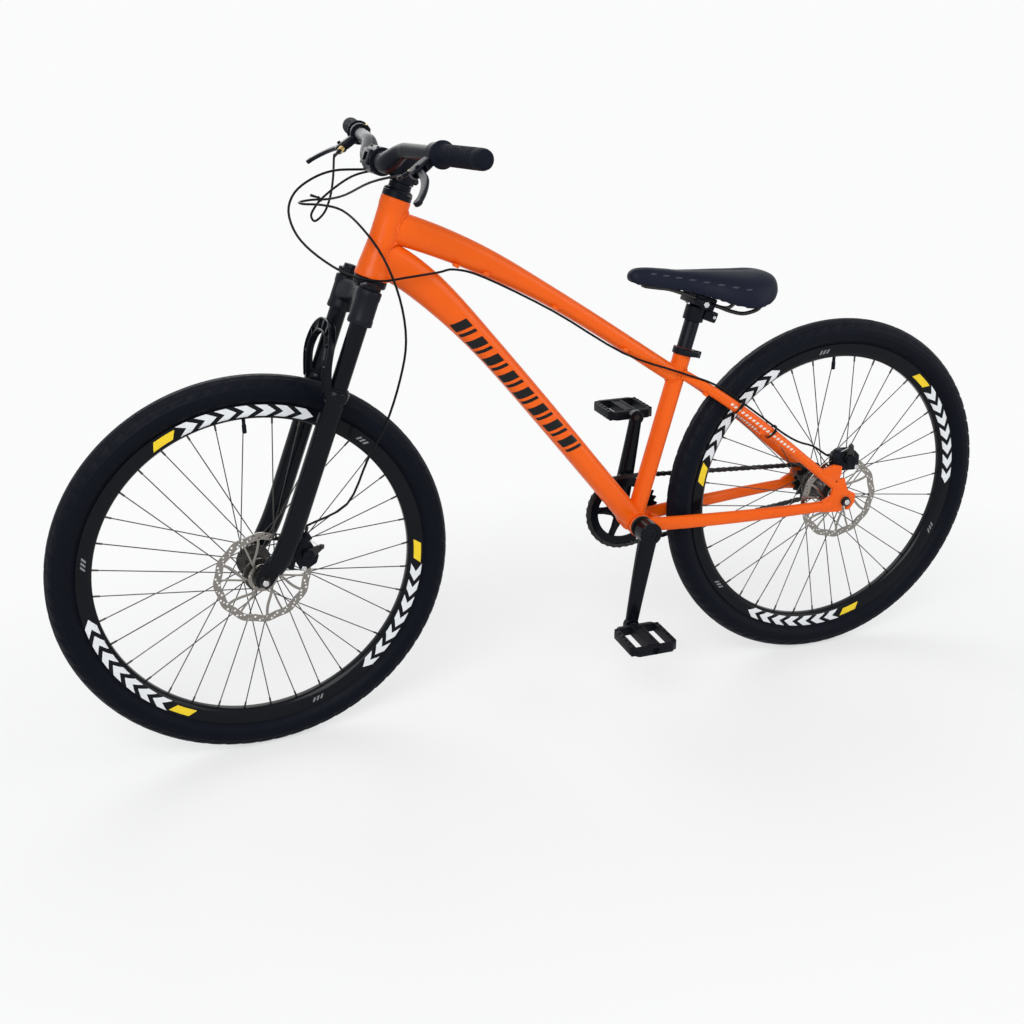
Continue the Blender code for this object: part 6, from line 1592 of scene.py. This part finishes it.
narrow = gather("narrow_link", link_shape(0.0014) + [rod("roller", Vector((a, -0.0014, 0)),
    Vector((a, 0.0014, 0)), 0.0038, 12, 0) for a in (0, PITCH)])
wide = gather("wide_link", link_shape(0.0024) + [rod("pin", Vector((a, -0.0036, 0)), Vector((a, 0.0036, 0)),
    0.0018, 10, 0) for a in (0, PITCH)])
pins = chain_places()
links = []
for index, pin in enumerate(pins):
    after = pins[(index + 1) % len(pins)]
    lean = math.atan2((after - pin).z, (after - pin).x)
    move = Matrix.Translation(pin) @ Matrix.Rotation(-lean, 4, "Y")
    links += copied(wide if index % 2 else narrow, move)
for sample in (narrow, wide):
    bpy.data.objects.remove(sample)
done(gather("roller_chain", links), black_steel, "frame", ["chain"])
print("links", len(pins))

# %% [markdown]
# The pedals are moulded platforms: a frame round two windows, a thick middle that houses the
# axle, and short teeth for grip along the two treads.

# %% Pedals
PEDAL_LONG, PEDAL_BROAD = 0.096, 0.09
for side, name in SIDES:
    boss_at, eye, thick = crank_places(side)
    out = Y * side
    collar = eye + thick + out * 0.0003
    start = collar + out * 0.006
    end_at = start + out * 0.09
    bar = rod("pedal_bar", eye + thick * 0.1, end_at, 0.006, 28)
    flats = rod("spanner_flats", collar, start - out * 0.0003, 0.009, 6, 0.0005)
    done(gather(f"{name}_pedal_bar", [bar, flats]), black_steel, "cranks",
        [f"{name}_pedal_axle"])
    middle = start + out * (PEDAL_LONG / 2)
    half_x, half_y, cut = PEDAL_BROAD / 2 - 0.0003, PEDAL_LONG / 2 - 0.0002, 0.013
    outline = [(half_x - cut, -half_y), (half_x, -half_y + cut), (half_x, half_y - cut),
        (half_x - cut, half_y), (cut - half_x, half_y), (-half_x, half_y - cut), (-half_x, cut - half_y),
        (cut - half_x, -half_y)]
    body = plate("pedal_body", [middle + X * a + Y * b - Z * 0.008 for a, b in outline], Z * 0.016, 0.0022)
    depth = half_x - 0.0105 - 0.011
    windows = [brick("window", middle + X * (way * (0.0112 + depth / 2)), X, Y, Z,
        (depth, PEDAL_LONG - 0.02, 0.04), 0) for way in (1, -1)]
    recess = [brick("recess", middle + Z * (lift * 0.0086), X, Y, Z, (0.013, 0.06, 0.003), 0)
        for lift in (1, -1)]
    carve(body, *windows, *recess, rod("axle_bore", start - out * 0.01, end_at + out * 0.0015, 0.0063, 28,
        0))
    parts = [body]
    for way in (1, -1):
        for step in range(6):
            along = -0.036 + 0.0144 * step
            spot = middle + X * (way * (half_x - 0.005)) + Y * along
            parts.append(brick("grip_tooth", spot, X, Y, Z, (0.006, 0.004, 0.0186), 0.0008))
        parts.append(brick("middle_rib", middle + Y * (way * 0.036), X, Y, Z, (0.02, 0.005, 0.0182),
            0.0012))
    parts.append(rod("end_cap", end_at + out * 0.0016, end_at + out * 0.0058, 0.0078, 28, 0.0008))
    done(gather(f"{name}_platform", parts), moulded, f"{name}_pedal", [f"{name}_pedal"])

# %% [markdown]
# A split ring clamps the seatpost, closed by a small cam lever. The post carries a two-bolt
# cradle that grips the saddle's rails, one bent wire whose ends sit in the saddle's shell.

# %% Seatpost, clamp and rails
POST_RADIUS = 0.0136
RAIL_RADIUS = 0.0035
RAIL_LINE = [(-0.098, 0.04, 0.03), (-0.094, 0.038, 0.018), (-0.078, 0.028, 0.004), (-0.055, 0.022, 0.0),
    (-0.03, 0.022, 0.0), (0.03, 0.022, 0.0), (0.066, 0.0165, -0.001), (0.09, 0.013, -0.006),
    (0.106, 0.007, -0.01)]
collar_back = Quaternion(seat_up, math.radians(25)) @ seat_back
collar_side = seat_up.cross(collar_back)
collar_middle = seat(SEAT_LONG - 0.006)
ring = lathe("collar_ring", [(0.0162, -0.006), (0.0182, -0.006), (0.019, -0.0052), (0.019, 0.0052),
    (0.0182, 0.006), (0.0162, 0.006)], collar_middle, seat_up, 56, True)
ears = brick("collar_ears", collar_middle + collar_back * 0.0235, collar_back, collar_side, seat_up,
    (0.011, 0.018, 0.011), 0.0022)
carve(ears, rod_through("ear_bore", collar_middle, seat_up * 0.02, 0.017, 40, 0))
for solid in (ring, ears):
    carve(solid, brick("collar_slit", collar_middle + collar_back * 0.0245, collar_back, collar_side,
        seat_up, (0.022, 0.002, 0.024), 0))
ring = gather("seat_collar", [ring, ears])
bolt_at = collar_middle + collar_back * 0.0245
collar_nut = lathe("collar_nut", [(0.0046, 0.0086), (0.005, 0.0092), (0.005, 0.012), (0.0036, 0.0134)],
    bolt_at, collar_side, 24)
collar_bolt = rod("collar_bolt", bolt_at - collar_side * 0.0088, bolt_at + collar_side * 0.0145, 0.0025, 20)
done(ring, satin_black, "frame", ["seat_clamp_collar"])
done(gather("collar_bolt_and_nut", [collar_nut, collar_bolt]), black_steel, "frame")
pivot = bolt_at - collar_side * 0.0148
hub = lathe("cam_barrel", [(0.0046, -0.006), (0.0055, -0.0052), (0.0055, 0.0052), (0.0046, 0.006)], pivot,
    seat_up, 32)
lever_path = [pivot + collar_side * a + collar_back * b for a, b in curved(
    [(0.0, 0.0), (-0.008, -0.011), (-0.008, -0.026), (-0.003, -0.042)], 24)]
lever_sizes = curved([(0.0106, 0.0052), (0.0088, 0.004), (0.01, 0.0036), (0.0086, 0.003)], 24)
cam_blade = tube("cam_blade", lever_path, lever_sizes, 20, 3.0, seat_up)
done(gather("cam_lever", [hub, cam_blade]), satin_black, "seat_clamp_lever",
    ["seat_clamp_lever"])

post = lathe("round_seatpost", [(0.0115, 0.213), (0.0115, 0.0), (0.013, 0.0), (POST_RADIUS, 0.0006),
    (POST_RADIUS, 0.224), (0.013, 0.225), (0.008, 0.225), (0.008, 0.213)], seat(0.17), seat_up, 48)
done(post, satin_black, "seat", ["seatpost"])
rail_way = slope(22)
rail_up = Vector((-rail_way.z, 0, rail_way.x))
clamp_centre = seat(0.4095) + rail_up * 0.003


def rail_point(along, side, lift):
    """A point of the saddle's rails, counted from their clamp."""
    return clamp_centre + rail_way * along + Y * side + rail_up * lift


def rail_grooves():
    """Two bars that take away the rails' way through a block."""
    ends = [[rail_point(along, side * 0.022, 0) for along in (-0.05, 0.05)] for side in (1, -1)]
    return [rod("rail_groove", back, front, RAIL_RADIUS + 0.0006, 20, 0) for back, front in ends]


cradle = gather("cradle", [brick("cradle_half", rail_point(0, 0, lift), rail_way, Y, rail_up,
    (0.04, 0.06, tall), 0.0024) for lift, tall in ((-0.005, 0.012), (0.0062, 0.0076))])
carve(cradle, *rail_grooves())
neck = lathe("post_sleeve", [(0.0142, -0.02), (0.0174, -0.02), (0.0181, -0.019), (0.0181, 0.0035),
    (0.016, 0.006), (0.012, 0.0075)], seat(0.395), seat_up, 48)
carve(neck, rod("sleeve_bore", seat(0.36), seat(0.3953), POST_HOLE, 48, 0))
knuckle = rod("clamp_knuckle", clamp_centre - Y * 0.031 - rail_up * 0.004,
    clamp_centre + Y * 0.031 - rail_up * 0.004, 0.01, 40, 0.0012)
carve(knuckle, *rail_grooves())
boss_place = seat(0.39, 0.024)
boss = brick("rear_boss", boss_place, rail_way, Y, rail_up, (0.026, 0.036, 0.019), 0.003)
carve(boss, rod("boss_bore", seat(0.36), seat(0.3953), POST_HOLE, 40, 0))
done(gather("saddle_cradle", [cradle, neck, knuckle, boss]), satin_black, "seat",
    ["saddle_clamp"])
clamp_bolts = []
for along in (-0.0145, 0.0145):
    low, high = rail_point(along, 0, -0.0135), rail_point(along, 0, 0.011)
    clamp_bolts.append(rod("cradle_bolt", low, high, 0.0026, 16))
    clamp_bolts.append(socket_screw(rail_point(along, 0, 0.0095), rail_up, 0.0046, 0.004))
for side in (1, -1):
    clamp_bolts.append(rod("knuckle_nut", clamp_centre + Y * (side * 0.0308) - rail_up * 0.004,
        clamp_centre + Y * (side * 0.0352) - rail_up * 0.004, 0.0055, 6, 0.0006))
    clamp_bolts.append(socket_screw(boss_place + Y * (side * 0.0178) - rail_way * 0.0065, Y * side, 0.003,
        0.0022))
done(gather("clamp_bolts", clamp_bolts), bare_steel, "seat")


def wire_piece(name, path, radius, resolution=4):
    """A round wire or cable along a path, drawn as a curve and turned into a mesh."""
    begin()
    bpy.ops.curve.primitive_bezier_curve_add()
    made = bpy.context.object
    made.name = name
    made.data.splines.clear()
    line = made.data.splines.new("POLY")
    line.points.add(len(path) - 1)
    for knot, point in zip(line.points, path):
        knot.co = (*point, 1)
    made.data.bevel_depth = radius
    made.data.bevel_resolution = resolution
    made.data.use_fill_caps = True
    bpy.ops.object.convert(target="MESH")
    return bpy.context.object


half_wire = [rail_point(*spot) for spot in RAIL_LINE]
other_half = [Vector((point.x, -point.y, point.z)) for point in reversed(half_wire)]
wire_route = curved(half_wire + [rail_point(0.11, 0, -0.0105)] + other_half, 109)
done(wire_piece("saddle_wire", wire_route, RAIL_RADIUS), black_steel, "seat",
    ["saddle_rails"])

# %% [markdown]
# The saddle is foam under a thin cover on a plastic shell. Its outline is lofted from the tail
# to the nose a little too small, remeshed evenly, and blown up with a cloth simulation whose
# underside is held, so that the crown and the drawn-in sides are those of a filled cover. The
# shallow groove along its middle is pressed in afterwards.

# %% Saddle
SADDLE_LONG = 0.272
CLOTH_FRAMES = 20
GROOVE_DEEP, GROOVE_BROAD = 0.0028, 0.0095
SADDLE_STATIONS = [(0.0, 0.03, 0.052, 0.037), (0.04, 0.055, 0.06, 0.024), (0.12, 0.07, 0.0639, 0.0105),
    (0.25, 0.0735, 0.0648, 0.0065), (0.38, 0.062, 0.0668, 0.0145), (0.5, 0.045, 0.069, 0.025),
    (0.62, 0.032, 0.0718, 0.0345), (0.75, 0.0245, 0.0753, 0.0415), (0.88, 0.0205, 0.0798, 0.0475),
    (0.96, 0.0175, 0.0793, 0.0525), (1.0, 0.01, 0.0725, 0.06)]
saddle_tail = seat(0.395) - X * 0.141


def saddle_section(share, half, top, edge):
    """A cross-section of the cushion: a crown, drawn-in sides, a rim and a hollow underside."""
    middle = saddle_tail + X * (0.0012 + share * (SADDLE_LONG - 0.0024))
    half, top = half - 0.001, top - 0.0014
    hollow = 0.0105 * min(1, max(0, min(share - 0.03, 0.97 - share) / 0.05)) + 0.0002
    points = []
    for step in range(33):
        angle = math.pi * step / 32
        reach = math.copysign(abs(math.cos(angle)) ** 0.72, math.cos(angle))
        points.append(middle + Y * (reach * half) + Z * (edge + (top - edge) * abs(math.sin(angle)) ** 0.8))
    inner = max(half - 0.0058, half * 0.5)
    for reach, lift in ((-inner, 0), (-inner + 0.0006, hollow), (inner - 0.0006, hollow), (inner, 0)):
        points.append(middle + Y * reach + Z * (edge + lift))
    return points


def inflate(made, pressure, most):
    """Blow a closed mesh up with cloth pressure, its underside held, and cap how far it moves."""
    modify(made, "REMESH", mode="VOXEL", voxel_size=0.004)
    start = [corner.co.copy() for corner in made.data.vertices]
    held = made.vertex_groups.new(name="held")
    held.add([corner.index for corner in made.data.vertices if corner.normal.z < -0.25], 1.0, "REPLACE")
    bpy.ops.object.modifier_add(type="CLOTH")
    cloth = made.modifiers[-1]
    cloth.settings.vertex_group_mass = "held"
    cloth.settings.use_pressure = True
    cloth.settings.uniform_pressure_force = pressure
    cloth.settings.effector_weights.gravity = 0
    cloth.point_cache.frame_start = 1
    cloth.point_cache.frame_end = CLOTH_FRAMES
    for number in range(1, CLOTH_FRAMES + 1):
        bpy.context.scene.frame_set(number)
    blown = made.evaluated_get(bpy.context.evaluated_depsgraph_get())
    moves = [corner.co - rest for corner, rest in zip(blown.data.vertices, start)]
    made.modifiers.remove(cloth)
    for corner, rest, move in zip(made.data.vertices, start, moves):
        corner.co = rest + move * min(1, most / max(move.length, 1e-6))
    bpy.context.scene.frame_set(1)
    made.vertex_groups.clear()
    print(made.name, "moved at most", round(max(move.length for move in moves) * 1000, 1), "mm")


stations = curved(SADDLE_STATIONS, 61)
cushion = loft("padded_saddle", [saddle_section(*station) for station in stations])
inflate(cushion, 4.0, 0.0022)
modify(cushion, "SMOOTH", factor=0.5, iterations=3)
modify(cushion, "SUBSURF", levels=1, render_levels=1)
for corner in cushion.data.vertices:
    share = (corner.co.x - saddle_tail.x) / SADDLE_LONG
    fade = min(1, max(0, min(share - 0.08, 0.74 - share) / 0.1))
    if corner.normal.z > 0.2:
        corner.co.z -= GROOVE_DEEP * fade * math.exp(-(corner.co.y / GROOVE_BROAD) ** 2)

NAVY, PALE_NAVY = (0.005, 0.0066, 0.0155), (0.0082, 0.0106, 0.0225)
cover = worn("saddle_cover", NAVY, PALE_NAVY, (0.4, 0.56), grain=1500, relief=0.3, specular_ior_level=0.1)
east, _, up = cover.parts(cover.spot(saddle_tail + X * 0.235 + Z * 0.07))
slope_line = up - east * 0.19
slanted = (east * -1) - slope_line * 2.2
dashes = (slanted.repeat(0.0225) < 0.009) * (slope_line.size() < 0.0014) * (slanted > 0) * (slanted < 0.165)
plain = cover.colours(cover.noise(14, 3), NAVY, PALE_NAVY)
cover.set("Base Color", cover.colours(dashes * cover.between(cover.noise(90, 3), 0.1, 1.0), plain,
    (0.085, 0.088, 0.105)))
done(cushion, cover, "seat", ["saddle"], angle=180)

shell_rings = []
for share, half, top, edge in stations[4:-4]:
    middle = saddle_tail + X * (share * SADDLE_LONG) + Z * (edge + 0.0105)
    reach = Y * max(half - 0.0078, half * 0.45)
    shell_rings.append([middle + reach, middle - reach, middle - reach * 0.97 - Z * 0.0028,
        middle + reach * 0.97 - Z * 0.0028])
shell_parts = [loft("saddle_base", shell_rings)]
for end_at, before in ((wire_route[0], wire_route[3]), (wire_route[-1], wire_route[-4])):
    way = (end_at - before).normalized()
    shell_parts.append(lathe("rail_socket", [(0.005, 0.0003), (0.0058, 0.0012), (0.0058, 0.012),
        (0.0046, 0.0136)], end_at, way, 28))
nose_boss = rail_point(0.11, 0, -0.0105) + Z * 0.0041
shell_parts.append(lathe("nose_socket", [(0.0048, 0.0), (0.0058, 0.001), (0.0058, 0.0085)], nose_boss, Z,
    28))
done(gather("saddle_base_and_sockets", shell_parts), moulded, "seat", ["saddle_shell"])

# %% [markdown]
# The brake cables come last, because they touch everything. Each is a stiff sleeve that
# leaves its lever straight, loops ahead of the head tube and runs to its brake. The two are
# held together with a nylon tie where they meet, and the rear one runs along the left of the
# top tube and of the seatstay, at their hooks. Their routes are the CAD part's own points.

# %% Brake cables
CABLE_RADIUS = 0.0019
FRONT_CABLE = [(0.29, 0.112, 0.955), (0.318, 0.03, 0.94), (0.341, -0.058, 0.915), (0.36, -0.106, 0.905),
    (0.386, -0.115, 0.904), (0.408, -0.1, 0.903), (0.405, -0.077, 0.902), (0.378, -0.07, 0.9),
    (0.349, -0.052, 0.892), (0.331, 0.006, 0.871), (0.312, 0.062, 0.832), (0.294, 0.081, 0.772),
    (0.289, 0.088, 0.708), (0.301, 0.086, 0.647), (0.325, 0.076, 0.575), (0.356, 0.067, 0.517),
    (0.393, 0.059, 0.443)]
REAR_CABLE = [(0.342, -0.152, 0.935), (0.35, -0.141, 0.908), (0.36, -0.136, 0.886), (0.371, -0.132, 0.874),
    (0.382, -0.128, 0.869), (0.387, -0.125, 0.878), (0.382, -0.123, 0.889), (0.37, -0.122, 0.903),
    (0.346, -0.121, 0.921), (0.318, -0.119, 0.937), (0.291, -0.116, 0.944), (0.267, -0.103, 0.946),
    (0.266, -0.08, 0.948), (0.29, -0.058, 0.951), (0.319, -0.05, 0.953), (0.359, -0.048, 0.953),
    (0.394, -0.043, 0.943), (0.424, -0.034, 0.924), (0.437, -0.023, 0.897), (0.429, -0.008, 0.863),
    (0.403, 0.014, 0.833), (0.362, 0.038, 0.806), (0.317, 0.05, 0.795), (0.273, 0.047, 0.797),
    (0.219, 0.032, 0.799)]


def from_lever(side):
    """The first points of a cable, just past the barrel of its brake lever."""
    spot, out, fore = lever_frame(side)[:3]
    low, high = (spot + fore * a + out * b for a, b in BARREL)
    way = (high - low).normalized()
    return [turn_left @ (high + way * reach) for reach in (0.0003, 0.005, 0.01)]


def into_caliper(end, axle):
    """The last points of a cable, before and at its caliper's stop."""
    stop_at, pull = cable_stop(end, axle)
    return [stop_at - pull * (0.008 + reach) for reach in (0.012, 0.006, 0.0003)]


def brake_cable(name, points, bodies, node):
    """A cable that bends from the lever's body to the caliper's, with a ferrule on each of them."""
    path = curved(points, (len(points) - 1) * 4 + 1)
    line = wire_piece(name, path, CABLE_RADIUS)
    done(line, sleeve, None, [node], straight=False)
    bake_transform(line)
    for end_at, inside, body, which in ((path[0], path[4], bodies[0], "lever"),
            (path[-1], path[-5], bodies[1], "caliper")):
        way = (inside - end_at).normalized()
        cap = lathe(f"{name}_{which}_ferrule", [(0.0019, 0.0002), (0.0026, 0.0006), (0.0026, 0.0088),
            (0.0023, 0.0094), (0.0018, 0.0096)], end_at, way, 24)
        done(cap, black_steel, body, straight=False)
    long = sum((b - a).length for a, b in zip(path, path[1:]))
    print(name, round(long, 3), "m")


front_stop = [turn_left @ point for point in into_caliper("front", front_axle)]
front_points = from_lever(1) + FRONT_CABLE + front_stop
brake_cable("front_brake_sleeve", front_points, ("steering", "fork_lowers"), "front_brake_cable")
rear_points = from_lever(-1) + REAR_CABLE
for share, lift in TOP_GUIDES:
    rear_points.append(beside(top_tube_line(101), share, 0.0195, lift - 0.0065)[0])
rear_points.append(seat(0.285, -0.01, 0.0245))
for share, clear in ((0.16, 0.0107), (0.36, 0.0107), (0.54, 0.0107), (0.64, 0.016), (0.72, 0.027)):
    rear_points.append(beside(stay_line(1, True, 101), share, 0, clear + CABLE_RADIUS)[0])
rear_points += into_caliper("rear", rear_axle)
brake_cable("rear_brake_sleeve", rear_points, ("steering", "frame"), "rear_brake_cable")


def tie(name, centre, along, across, width, depth, body, tail):
    """A nylon tie: a flat band round a bundle, its lock and its cut tail."""
    up = along.cross(across).normalized()
    across = up.cross(along).normalized()
    rings = []
    for step in range(28):
        angle = 2 * math.pi * step / 28
        way = across * math.cos(angle) + up * math.sin(angle)
        spot = centre + across * (math.cos(angle) * width / 2) + up * (math.sin(angle) * depth / 2)
        rings.append([spot - along * 0.0016, spot + along * 0.0016, spot + along * 0.0016 + way * 0.0009,
            spot - along * 0.0016 + way * 0.0009])
    band = loft("tie_band", rings, closed=True)
    lock_at = centre + across * (width / 2 + 0.0016)
    lock = brick("tie_lock", lock_at, along, across, up, (0.0046, 0.0034, 0.0046), 0.0007)
    strip = tube("tie_tail", [lock_at + tail * share for share in (0.0, 0.25, 0.6, 1.0)],
        [(0.0034, 0.0013), (0.0036, 0.0014), (0.0044, 0.0016), (0.0044, 0.0014)], 12, 4.0, along)
    done(gather(name, [band, lock, strip]), moulded, body, straight=False)


tie("cable_tie", Vector((0.3715, -0.1185, 0.9035)), Vector((-0.75, -0.1, 0.65)), X, 0.0056, 0.0135,
    "steering", Vector((0.012, -0.004, 0.004)))
for share in (0.3, 0.5):
    spot, ahead, up = beside(stay_line(1, True, 101), share, 0, 0.002)
    tie(f"stay_tie_{round(share * 100)}", spot, ahead, Y, 0.0215, 0.0262, "frame", up * 0.006 + Y * 0.002)
